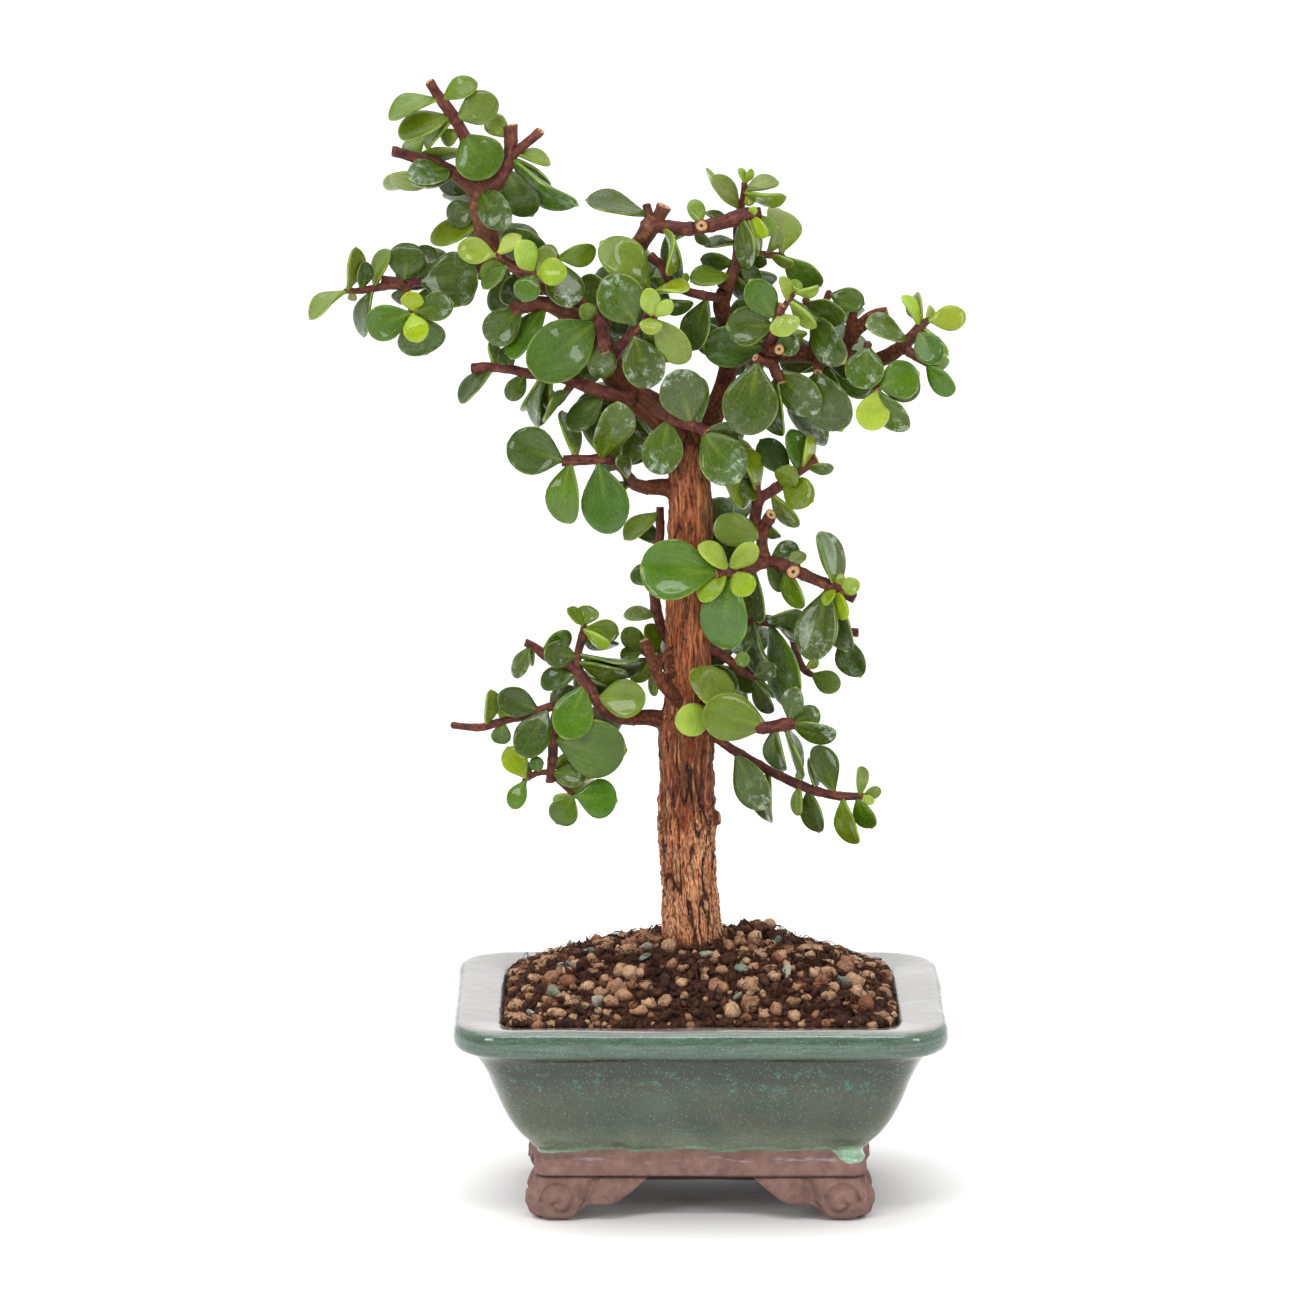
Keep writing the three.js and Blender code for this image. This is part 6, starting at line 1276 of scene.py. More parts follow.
def foot_relief(inward, level):
    """Height of the worn carving: a curled knuckle at the corner and a lobe beside it."""
    across = inward - 9.2
    up = level - 6.0
    knuckle = np.hypot(across, up)
    swell = 1.3 * smoothstep(8.0, 1.5, knuckle)
    # the knuckle is rolled into a curl: a soft groove that winds in to a dimple
    turn = np.arctan2(up, across)
    winding = np.abs(knuckle - 1.9 - 0.6 * (turn + math.pi))
    curl = -1.5 * np.exp(-(winding / 0.8) ** 2) - 0.9 * np.exp(-(knuckle / 1.1) ** 2)
    valley = -1.8 * np.exp(-((inward - 17.4 - 0.35 * (level - 6)) / 1.5) ** 2)
    lobe = np.hypot((inward - 24.0) * 0.6, level - 9.4)
    second = 1.0 * smoothstep(4.6, 1.0, lobe) - 0.7 * np.exp(-((lobe - 2.2) / 0.6) ** 2) * (inward < 24)
    wing_edge = -0.7 * smoothstep(27, 34, inward)
    seam = -0.8 * np.exp(-((level - 13.6) / 0.5) ** 2)
    return swell + curl + valley + second + wing_edge + seam


def make_pot():
    body = make_pot_body()
    feet = [make_foot(sign_x, sign_y) for sign_x in (-1, 1) for sign_y in (-1, 1)]
    pick([body] + feet)
    bpy.ops.object.join()
    body.name = "glazed_pot"
    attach(body, "root")
    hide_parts("pot")
    return body


# Soil
SOIL_HALF = (58.2, 41.2)
SOIL_CORNER = 8.8
SOIL_STEP = 0.75
SOIL_FLOOR = 52
SOIL_EDGE = 61.4
RIM_GRIT = 420
FIBRES = 620
FIBRE_STEPS = 8
# tries for each grain, the room it leaves round the trunk, how close grains lie as a share of their
# sizes, and the size from which a grain is made with more faces
GRAIN_TRIES = 12
TRUNK_ROOM = 9.5
CLOSENESS = 0.74
BIG_GRAIN = 1.7
# how far out the middle of a grain, a bud on a pellet, a fibre's start and a fibre may be
GRAIN_LIMITS = (58, 41)
BUD_LIMITS = (56.6, 39.6)
START_LIMITS = (54, 38)
FIBRE_LIMITS = (56, 39)


def soil_height(x, y):
    """Height of the mound: highest round the trunk, with one more lump at the right."""
    along_x = 1 - np.minimum(1, np.abs(x) / 60) ** 2.6
    along_y = 1 - np.minimum(1, np.abs(y - 3) / 46) ** 2
    collar = 3.2 * np.exp(-((x + 2) ** 2 + y ** 2) / 260)
    lump = 3.4 * np.exp(-((x - 19) ** 2) / 70 - ((y - 10) ** 2) / 60)
    return 61.2 + 17 * along_x * along_y + collar + lump


def into_rim(x, y):
    """Moves points of the soil's rectangle in to its rounded corners."""
    core_x = SOIL_HALF[0] - SOIL_CORNER
    core_y = SOIL_HALF[1] - SOIL_CORNER
    over_x = np.maximum(np.abs(x) - core_x, 0)
    over_y = np.maximum(np.abs(y) - core_y, 0)
    reach = np.hypot(over_x, over_y)
    square = np.maximum(over_x, over_y)
    share = np.where(reach > 0, square / np.maximum(reach, 1e-9), 1)
    return (np.sign(x) * (np.abs(x) - over_x + over_x * share),
            np.sign(y) * (np.abs(y) - over_y + over_y * share))


def held_within(spot, limits):
    """x and y, each no further out than its limit."""
    return [min(limit, max(-limit, value)) for value, limit in zip(spot, limits)]


def make_soil_bed():
    """The peat under the grains, closed down to the inside of the pot."""
    columns = int(2 * SOIL_HALF[0] / SOIL_STEP)
    rows = int(2 * SOIL_HALF[1] / SOIL_STEP)
    grid_x, grid_y = np.meshgrid(np.linspace(-SOIL_HALF[0], SOIL_HALF[0], columns + 1),
                                 np.linspace(-SOIL_HALF[1], SOIL_HALF[1], rows + 1))
    x, y = into_rim(grid_x.ravel(), grid_y.ravel())
    flat = np.stack([x, y, x * 0], 1)
    crumbs = noise_at(flat, (0.28, 0.28, 1), 4.0) * 1.6 + noise_at(flat, (0.75, 0.75, 1), 8.0) * 1.3
    z = soil_height(x, y) - 0.6 + crumbs
    points = np.stack([x, y, z], 1)
    row = columns + 1
    faces = [(j * row + i, j * row + i + 1, (j + 1) * row + i + 1, (j + 1) * row + i)
             for j in range(rows) for i in range(columns)]
    # a wall below the edge closes the bed against the pot
    edge = list(range(columns)) + [j * row + columns for j in range(rows)]
    edge += [rows * row + i for i in range(columns, 0, -1)] + [j * row for j in range(rows, 0, -1)]
    below = points[edge].copy()
    below[:, 2] = SOIL_FLOOR
    first = len(points)
    points = np.concatenate([points, below])
    count = len(edge)
    for k in range(count):
        after = (k + 1) % count
        faces.append((edge[k], first + k, first + after, edge[after]))
    faces.append(tuple(range(first, first + count)))
    looks = np.zeros((len(points), 3))
    looks[:, 2] = 0.5
    return points, faces, looks


PELLET, CHIP, CRUMB, SPLINTER = range(1, 5)
SOIL_SEED = 77
# what is laid out, from large to small: kind, count, smallest and largest radius
SOIL_PLAN = [
    (PELLET, 44, 2.2, 3.2), (CHIP, 22, 1.5, 2.8), (CRUMB, 130, 1.6, 3), (PELLET, 190, 1.4, 2.3),
    (SPLINTER, 120, 1, 1.8), (CRUMB, 560, 0.8, 1.7), (PELLET, 330, 0.7, 1.4),
]
STRETCH = {
    PELLET: (1.15, 0.95, 0.8), CHIP: (1.3, 1.0, 0.42), CRUMB: (1.3, 0.95, 0.55), SPLINTER: (2.6, 0.6, 0.4),
}


def ball_template(subdivisions):
    bpy.ops.mesh.primitive_ico_sphere_add(subdivisions=subdivisions, radius=1)
    ball = bpy.context.view_layer.objects.active
    points = np.array([tuple(vertex.co) for vertex in ball.data.vertices])
    faces = [tuple(face.vertices) for face in ball.data.polygons]
    bpy.data.objects.remove(ball, do_unlink=True)
    return points, faces


def lump(template, size, stretch, chance, facets):
    """A pebble: a ball with flats, dents and a random turn."""
    points = template * np.array(stretch)
    for _ in range(facets):
        facing = unit(np.array([chance.gauss(0, 1) for _ in range(3)]))
        level = chance.uniform(0.62, 0.88)
        height = points @ facing
        points = points - np.outer(np.maximum(height - level, 0) * 0.85, facing)
    shift = chance.uniform(0, 90)
    dents = noise_at(points, (1.2, 1.2, 1.2), shift) + 0.55 * noise_at(points, (2.9, 2.9, 2.9), shift)
    points = points * (1 + 0.3 * dents)[:, None]
    axis = unit(np.array([chance.gauss(0, 1) for _ in range(3)]))
    angle = chance.uniform(0, math.pi)
    return np.array([turned(point, axis, angle) for point in points]) * size


def make_soil():
    chance = random.Random(SOIL_SEED)
    soil = Gathered()
    points, faces, looks = make_soil_bed()
    soil.add(points, faces, looks=looks)
    round_template, round_faces = ball_template(2)
    small_template, small_faces = ball_template(1)
    placed = []
    for kind, count, small, large in SOIL_PLAN:
        made = 0
        for _ in range(count * GRAIN_TRIES):
            if made == count:
                break
            size = chance.uniform(small, large)
            x, y = (chance.uniform(-limit, limit) for limit in GRAIN_LIMITS)
            if math.hypot(x + 2, y) < TRUNK_ROOM + size * 0.6:
                continue
            x, y = (float(value) for value in into_rim(x, y))
            if abs(x) > GRAIN_LIMITS[0] + 0.4 - size or abs(y) > GRAIN_LIMITS[1] + 0.4 - size:
                continue
            if any(math.hypot(x - a, y - b) < CLOSENESS * (size + c) for a, b, c in placed):
                continue
            placed.append((x, y, size))
            made += 1
            big = size > BIG_GRAIN and kind in (PELLET, CHIP)
            shape = lump(round_template if big else small_template, size, STRETCH[kind], chance, 5)
            sit = float(soil_height(x, y)) + size * chance.uniform(-0.1, 0.35)
            if kind == SPLINTER:
                sit += 0.6
            shape = shape + np.array([x, y, sit - 0.3])
            looks = marks(shape, kind, chance)
            soil.add(shape, round_faces if big else small_faces, looks=looks)
            # a pellet is often two or three grown together
            for _ in range(chance.choice((0, 1, 2)) if kind == PELLET and size > 1.2 else 0):
                bud = lump(small_template, size * chance.uniform(0.45, 0.7), (1, 1, 0.9), chance, 3)
                angle = chance.uniform(0, 2 * math.pi)
                away = np.array([math.cos(angle), math.sin(angle), chance.uniform(-0.1, 0.5)]) * size * 0.8
                spot = np.array([x, y, sit - 0.3]) + away
                spot[:2] = held_within(into_rim(spot[0], spot[1]), BUD_LIMITS)
                soil.add(bud + spot, small_faces, looks=np.tile(looks[0], (len(bud), 1)))
    for _ in range(RIM_GRIT):
        # grit that has rolled down against the inner edge of the pot
        x, y = into_rim(*rim_spot(chance))
        kind = chance.choice((PELLET, PELLET, CRUMB, CRUMB, CRUMB, SPLINTER))
        size = chance.uniform(0.7, 1.9)
        shape = lump(small_template, size, (1.1, 0.95, 0.85), chance, 3)
        shape = shape + np.array([x, y, SOIL_EDGE + chance.uniform(-0.3, 0.9)])
        soil.add(shape, small_faces, looks=marks(shape, kind, chance))
    for _ in range(FIBRES):
        add_fibre(soil, *(chance.uniform(-limit, limit) for limit in START_LIMITS), chance)
    piece = soil.piece("gritty_soil")
    turn_out(piece)
    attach(piece, "root")
    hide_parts("soil")
    return piece


def rim_spot(chance):
    """A place just inside the edge of the soil."""
    inset = chance.uniform(0.2, 2.4)
    half_x = SOIL_HALF[0] - inset
    half_y = SOIL_HALF[1] - inset
    share = chance.uniform(-1, 1)
    if chance.random() < half_x / (half_x + half_y):
        return share * half_x, chance.choice((-1, 1)) * half_y
    return chance.choice((-1, 1)) * half_x, share * half_y


def add_fibre(soil, x, y, chance):
    """A thin peat fibre or rootlet that lies over the grit."""
    steps = FIBRE_STEPS
    heading = chance.uniform(0, 2 * math.pi)
    length = chance.triangular(2.5, 12, 4)
    curl = chance.uniform(-2.2, 2.2)
    arch = chance.triangular(0.1, 2.4, 0.3)
    radius = chance.triangular(0.08, 0.32, 0.12)
    centres = []
    for i in range(steps):
        share = i / (steps - 1)
        turn = heading + curl * share
        x += math.cos(turn) * length / steps
        y += math.sin(turn) * length / steps
        x, y = held_within((x, y), FIBRE_LIMITS)
        ground = float(soil_height(x, y)) + 1.0
        centres.append((x, y, ground + arch * math.sin(math.pi * share)))
    centres = np.array(centres)
    along, side, other = frames_along(centres)
    angle = np.arange(4) / 4 * 2 * math.pi
    taper = np.linspace(1, 0.35, steps)
    rings = [centres[i] + radius * taper[i] * (np.outer(np.cos(angle), side[i])
                                               + np.outer(np.sin(angle), other[i]))
             for i in range(steps)]
    faces = ring_faces(steps, 4) + [(3, 2, 1, 0), tuple(range(4 * steps - 4, 4 * steps))]
    points = np.concatenate(rings)
    soil.add(points, faces, looks=marks(points, SPLINTER, chance))


# Drain mesh and wire
def make_drain_mesh():
    low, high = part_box("drain_mesh")
    centre = (low + high) / 2
    bpy.ops.mesh.primitive_grid_add(x_subdivisions=10, y_subdivisions=10, size=high.x - low.x - 0.001,
                                    location=centre)
    piece = bpy.context.view_layer.objects.active
    bpy.ops.object.transform_apply(location=True, rotation=False, scale=False)
    wires = piece.modifiers.new("Wires", "WIREFRAME")
    wires.thickness = 0.0011
    wires.use_even_offset = False
    bpy.ops.object.modifier_apply(modifier=wires.name)
    piece.name = "drain_net"
    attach(piece, "root")
    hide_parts("drain_mesh")
    return piece


WIRE_RADIUS = 0.7


def make_wire():
    over = FLOOR_TOP + 0.3 + 1.2 + 0.3 + WIRE_RADIUS
    under = UNDERSIDE - 0.3 - WIRE_RADIUS
    half = [(0, 0, over), (6, 0, over), (7, 0, over - 1.2), (7, 0, under + 1.4), (7.8, 0, under),
            (12, -0.4, under - 0.6), (16, -1.6, under - 2.4)]
    route = [(-x, -y, z) for x, y, z in reversed(half[1:])] + half
    curve = bpy.data.curves.new("wire_staple", "CURVE")
    curve.dimensions = "3D"
    curve.bevel_depth = WIRE_RADIUS * MM
    curve.bevel_resolution = 3
    curve.resolution_u = 6
    curve.use_fill_caps = True
    spline = curve.splines.new("NURBS")
    spline.points.add(len(route) - 1)
    for point, spot in zip(spline.points, route):
        point.co = (*(np.array(spot) * MM + ORIGIN), 1)
    spline.order_u = 3
    spline.use_endpoint_u = True
    piece = bpy.data.objects.new("wire_staple", curve)
    bpy.context.collection.objects.link(piece)
    pick([piece])
    bpy.ops.object.convert(target="MESH")
    piece = bpy.context.view_layer.objects.active
    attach(piece, "root")
    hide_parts("mesh_wire")
    return piece


# Materials
def linear(red, green, blue):
    """Linear colour from screen values of 0 to 255."""
    return tuple((c / 255 / 12.92) if c <= 10 else ((c / 255 + 0.055) / 1.055) ** 2.4
                 for c in (red, green, blue)) + (1.0,)


class Tree:
    """Short ways to add and join nodes in one node tree. Each gives back the socket to read from."""

    def __init__(self, tree):
        self.tree = tree

    def put(self, socket, value):
        if hasattr(value, "is_output"):
            self.tree.links.new(value, socket)
        elif value is not None:
            socket.default_value = value

    def fill(self, node, inputs):
        """Puts values or links on the inputs of a node, by name or by number."""
        for key, value in inputs.items():
            self.put(node.inputs[key], value)

    def add(self, kind, inputs=None, **settings):
        made = self.tree.nodes.new(kind)
        for key, value in settings.items():
            setattr(made, key, value)
        self.fill(made, inputs or {})
        return made

    def noise(self, vector, scale, detail=2, roughness=0.5, distortion=0):
        return self.add("ShaderNodeTexNoise",
                        {"Vector": vector, "Scale": scale, "Detail": detail, "Roughness": roughness,
                         "Distortion": distortion}).outputs[0]

    def calc(self, operation, a, b=None, clamp=False):
        return self.add("ShaderNodeMath", {0: a, 1: b}, operation=operation, use_clamp=clamp).outputs[0]

    def times(self, a, b):
        return self.calc("MULTIPLY", a, b)

    def matches(self, value, number):
        """1 where a whole number painted on the mesh is this one."""
        compared = self.calc("COMPARE", value, number)
        compared.node.inputs[2].default_value = 0.3
        return compared

    def fit(self, value, low, high, new_low=0.0, new_high=1.0, smooth=True):
        """Carries low..high over to new_low..new_high."""
        inputs = {"Value": value, "From Min": low, "From Max": high, "To Min": new_low, "To Max": new_high}
        curve = "SMOOTHSTEP" if smooth else "LINEAR"
        return self.add("ShaderNodeMapRange", inputs, interpolation_type=curve).outputs[0]

    def band(self, value, outer_low, inner_low, outer_high, inner_high):
        """1 between the two inner values, fading to 0 at the outer ones."""
        return self.times(self.fit(value, outer_low, inner_low), self.fit(value, outer_high, inner_high))

    def even(self, value, at_none, at_full):
        return self.fit(value, 0, 1, at_none, at_full, smooth=False)

    def mix(self, factor, a, b):
        return self.add("ShaderNodeMix", {0: factor, 6: a, 7: b}, data_type="RGBA").outputs[2]

    def tint(self, colour, shade, amount, strength=None):
        """A colour mixed with a shade, given by its screen values, by amount times strength."""
        factor = amount if strength is None else self.times(amount, strength)
        return self.mix(factor, colour, linear(*shade))

    def ramp(self, factor, stops, interpolation="LINEAR"):
        made = self.add("ShaderNodeValToRGB", {0: factor})
        made.color_ramp.interpolation = interpolation
        elements = made.color_ramp.elements
        while len(elements) < len(stops):
            elements.new(0.5)
        for element, (position, colour) in zip(elements, stops):
            element.position = position
            element.color = colour
        return made.outputs[0]

    def shades(self, factor, *stops):
        """A ramp through shades, each given as its position and its screen values."""
        return self.ramp(factor, [(position, linear(*shade)) for position, *shade in stops])

    def split(self, vector):
        return tuple(self.add("ShaderNodeSeparateXYZ", {0: vector}).outputs)

    def stretch(self, vector, scale):
        return self.add("ShaderNodeVectorMath", {0: vector, 1: scale}, operation="MULTIPLY").outputs[0]

    def attribute(self, name):
        return self.add("ShaderNodeAttribute", attribute_name=name).outputs["Vector"]

    def place(self):
        """Object coordinates in millimetres."""
        return self.stretch(self.add("ShaderNodeTexCoord").outputs["Object"], (1000, 1000, 1000))

    def specks(self, place, scale, size, share):
        inputs = {"Place": place, "Scale": scale, "Size": size, "Share": share}
        return self.add("ShaderNodeGroup", inputs, node_tree=SPECKS).outputs[0]

    def patchy(self, place, colour, scale, spread):
        inputs = {"Place": place, "Colour": colour, "Scale": scale, "Spread": spread}
        return self.add("ShaderNodeGroup", inputs, node_tree=SHADE).outputs[0]

    def bump(self, height, strength, distance, normal=None):
        return self.add("ShaderNodeBump", {"Height": height, "Strength": strength, "Distance": distance,
                                           "Normal": normal}).outputs[0]


def new_group(name, inputs, outputs):
    group = bpy.data.node_groups.new(name, "ShaderNodeTree")
    for key, kind, value in inputs:
        socket = group.interface.new_socket(key, in_out="INPUT", socket_type=kind)
        if value is not None:
            socket.default_value = value
    for key, kind in outputs:
        group.interface.new_socket(key, in_out="OUTPUT", socket_type=kind)
    tree = Tree(group)
    return group, tree, tree.add("NodeGroupInput").outputs, tree.add("NodeGroupOutput").inputs


def specks_group():
    """Small scattered spots, such as dust, grit or pinholes."""
    group, tree, source, result = new_group(
        "Specks",
        [("Place", "NodeSocketVector", None), ("Scale", "NodeSocketFloat", 1.0),
         ("Size", "NodeSocketFloat", 0.2), ("Share", "NodeSocketFloat", 0.5)],
        [("Factor", "NodeSocketFloat")])
    cells = tree.add("ShaderNodeTexVoronoi", {"Vector": source["Place"], "Scale": source["Scale"]})
    spot = tree.calc("LESS_THAN", cells.outputs["Distance"], source["Size"])
    patch = tree.noise(source["Place"], tree.times(source["Scale"], 0.23), 2)
    chosen = tree.calc("GREATER_THAN", patch, tree.calc("SUBTRACT", 1, source["Share"]))
    tree.put(result["Factor"], tree.times(spot, chosen))
    return group


def shade_group():
    """A colour made a little darker and lighter in soft patches."""
    group, tree, source, result = new_group(
        "Patchy shade",
        [("Place", "NodeSocketVector", None), ("Colour", "NodeSocketColor", None),
         ("Scale", "NodeSocketFloat", 0.2), ("Spread", "NodeSocketFloat", 0.3)],
        [("Colour", "NodeSocketColor")])
    patch = tree.noise(source["Place"], source["Scale"], 4, 0.6)
    low = tree.calc("SUBTRACT", 1, source["Spread"])
    high = tree.calc("ADD", 1, source["Spread"])
    strength = tree.fit(patch, 0.3, 0.7, low, high, smooth=False)
    shade = tree.add("ShaderNodeHueSaturation", {"Value": strength, "Color": source["Colour"]})
    tree.put(result["Colour"], shade.outputs[0])
    return group


SPECKS = specks_group()
SHADE = shade_group()


def new_material(name):
    material = bpy.data.materials.new(name)
    material.use_nodes = True
    tree = Tree(material.node_tree)
    shader = material.node_tree.nodes["Principled BSDF"]
    return material, tree, shader


# screen values of the tones, in their order
LEAF_COLOURS = ((134, 155, 30), (97, 118, 14), (56, 76, 10), (62, 82, 11), (66, 98, 8))


def leaf_material():
    material, tree, shader = new_material("succulent_leaf")
    place = tree.place()
    share, side, face = tree.split(tree.attribute("shape"))
    chance, tone, other = tree.split(tree.attribute("looks"))
    stops = [(i / 5, linear(*colour)) for i, colour in enumerate(LEAF_COLOURS)]
    base = tree.ramp(tree.calc("DIVIDE", tree.calc("ADD", tone, 0.5), 5), stops, "CONSTANT")
    base = tree.patchy(place, base, 0.16, 0.16)
    bright = tree.calc("FRACT", tree.times(chance, 7.3))
    colour = tree.add("ShaderNodeHueSaturation", {
        "Hue": tree.even(chance, 0.488, 0.515),
        "Saturation": tree.even(other, 0.9, 1.08),
        "Value": tree.even(bright, 0.82, 1.18),
        "Color": base,
    }).outputs[0]
    # pale vein up the middle near the stalk, a painted highlight along the rim and at the tip, paler
    # underside
    vein = tree.times(tree.fit(tree.calc("ABSOLUTE", side), 0.28, 0.0), tree.fit(share, 0.75, 0.0))
    colour = tree.tint(colour, (156, 172, 64), vein, 0.25)
    rays = tree.noise(tree.stretch(tree.attribute("shape"), (1.5, 9, 0)), 1.0, 3, 0.6)
    rays = tree.times(tree.fit(rays, 0.5, 0.62), tree.fit(share, 0.9, 0.2))
    colour = tree.tint(colour, (132, 158, 52), rays, 0.2)
    # painted highlight: the rim and the tip are made paler green
    rim = tree.fit(tree.calc("ABSOLUTE", side), 0.93, 1.0)
    tip = tree.fit(share, 0.97, 1.0)
    edge = tree.times(tree.calc("MAXIMUM", rim, tip),
                      tree.fit(tree.noise(place, 0.16, 2), 0.36, 0.62, 0.12, 0.6))
    colour = tree.tint(colour, (172, 188, 92), edge)
    under = tree.fit(face, 0.1, -0.6)
    colour = tree.tint(colour, (124, 152, 70), under, 0.25)
    # waxy bloom, rubbed off in patches; its pale grey is partly the bloom's own colour and partly a
    # painted sheen
    is_bloom = tree.matches(tone, BLOOM)
    is_dark = tree.matches(tone, DARK)
    bloom_and_sheen = tree.fit(tree.noise(place, 0.3, 5, 0.7, 0.15), 0.48, 0.66)
    bloom_and_sheen = tree.times(bloom_and_sheen, tree.fit(tree.noise(place, 1.7, 4, 0.75), 0.34, 0.62))
    bloom_and_sheen = tree.times(bloom_and_sheen, tree.fit(share, 0.35, 0.95))
    some = tree.times(tree.fit(other, 0.55, 0.8), 0.3)
    amount = tree.calc("ADD", tree.times(is_bloom, 0.95), tree.times(is_dark, some))
    bloom_and_sheen = tree.times(bloom_and_sheen, amount)
    colour = tree.tint(colour, (188, 202, 186), bloom_and_sheen)
    dust = tree.specks(place, 2.0, 0.14, 0.51)
    colour = tree.tint(colour, (205, 214, 180), dust, 0.5)
    tree.fill(shader, {"Base Color": colour})
    rough = tree.fit(tree.noise(place, 0.9, 3), 0.3, 0.7, 0.22, 0.38)
    tree.fill(shader, {
        "Roughness": tree.calc("ADD", rough, tree.times(bloom_and_sheen, 0.4)),
        "Specular IOR Level": 0.2,
        "Subsurface Weight": 0.2,
        "Subsurface Radius": (0.7, 1.0, 0.15),
        "Subsurface Scale": 0.0014,
        "Coat Weight": 0.4,
        "Coat Roughness": 0.07,
    })
    dents = tree.noise(place, 0.5, 3, 0.5)
    grain = tree.noise(place, 2.6, 3, 0.6)
    normal = tree.bump(dents, 0.5, 0.0011)
    tree.fill(shader, {"Normal": tree.bump(grain, 0.25, 0.0004, normal)})
    return material


def twig_material():
    material, tree, shader = new_material("red_twig")
    place = tree.place()
    run, thick, cut = tree.split(tree.attribute("shape"))
    chance, share, knuckle = tree.split(tree.attribute("looks"))
    young = tree.shades(tree.noise(place, 0.5, 4, 0.6), (0.32, 44, 12, 12), (0.55, 84, 27, 24),
                        (0.72, 132, 58, 44))
    old = tree.shades(tree.noise(place, 0.6, 5, 0.65), (0.28, 48, 22, 14), (0.5, 104, 58, 36),
                      (0.72, 158, 104, 72))
    age = tree.fit(thick, 3.7, 5.8)
    patchy = tree.calc("ADD", age, tree.fit(tree.noise(place, 0.22, 3), 0.4, 0.7, -0.25, 0.35), clamp=True)
    colour = tree.mix(patchy, young, old)
    streak = tree.fit(tree.noise(tree.attribute("round"), 1.0, 4, 0.65), 0.52, 0.66)
    colour = tree.tint(colour, (150, 92, 62), streak, 0.4)
    colour = tree.tint(colour, (120, 72, 48), knuckle, 0.35)
    bark = tree.shades(tree.noise(place, 0.8, 5, 0.7), (0.34, 44, 18, 8), (0.64, 122, 66, 38))
    colour = tree.mix(tree.times(tree.fit(run, 9, 2), 0.85), colour, bark)
    scar = tree.specks(place, 1.3, 0.17, 0.5)
    colour = tree.tint(colour, (170, 130, 104), scar, 0.5)
    wood = tree.shades(share, (0.0, 70, 40, 28), (0.24, 96, 60, 40), (0.36, 206, 168, 120),
                       (0.8, 188, 142, 96), (0.95, 104, 62, 44))
    wood = tree.patchy(place, wood, 1.2, 0.2)
    colour = tree.mix(tree.fit(cut, 0.4, 0.9), colour, wood)
    tree.fill(shader, {"Base Color": colour})
    rough = tree.fit(tree.noise(place, 1.2, 3), 0.3, 0.7, 0.38, 0.6)
    tree.fill(shader, {
        "Roughness": tree.calc("MAXIMUM", rough, tree.times(cut, 0.85)),
        "Specular IOR Level": 0.35,
    })
    lines = tree.noise(tree.attribute("round"), 1.7, 5, 0.65)
    rings = tree.calc("SINE", tree.times(run, 2.4))
    height = tree.calc("ADD", lines, tree.times(rings, 0.06))
    tree.fill(shader, {"Normal": tree.bump(height, 0.8, 0.0009)})
    return material


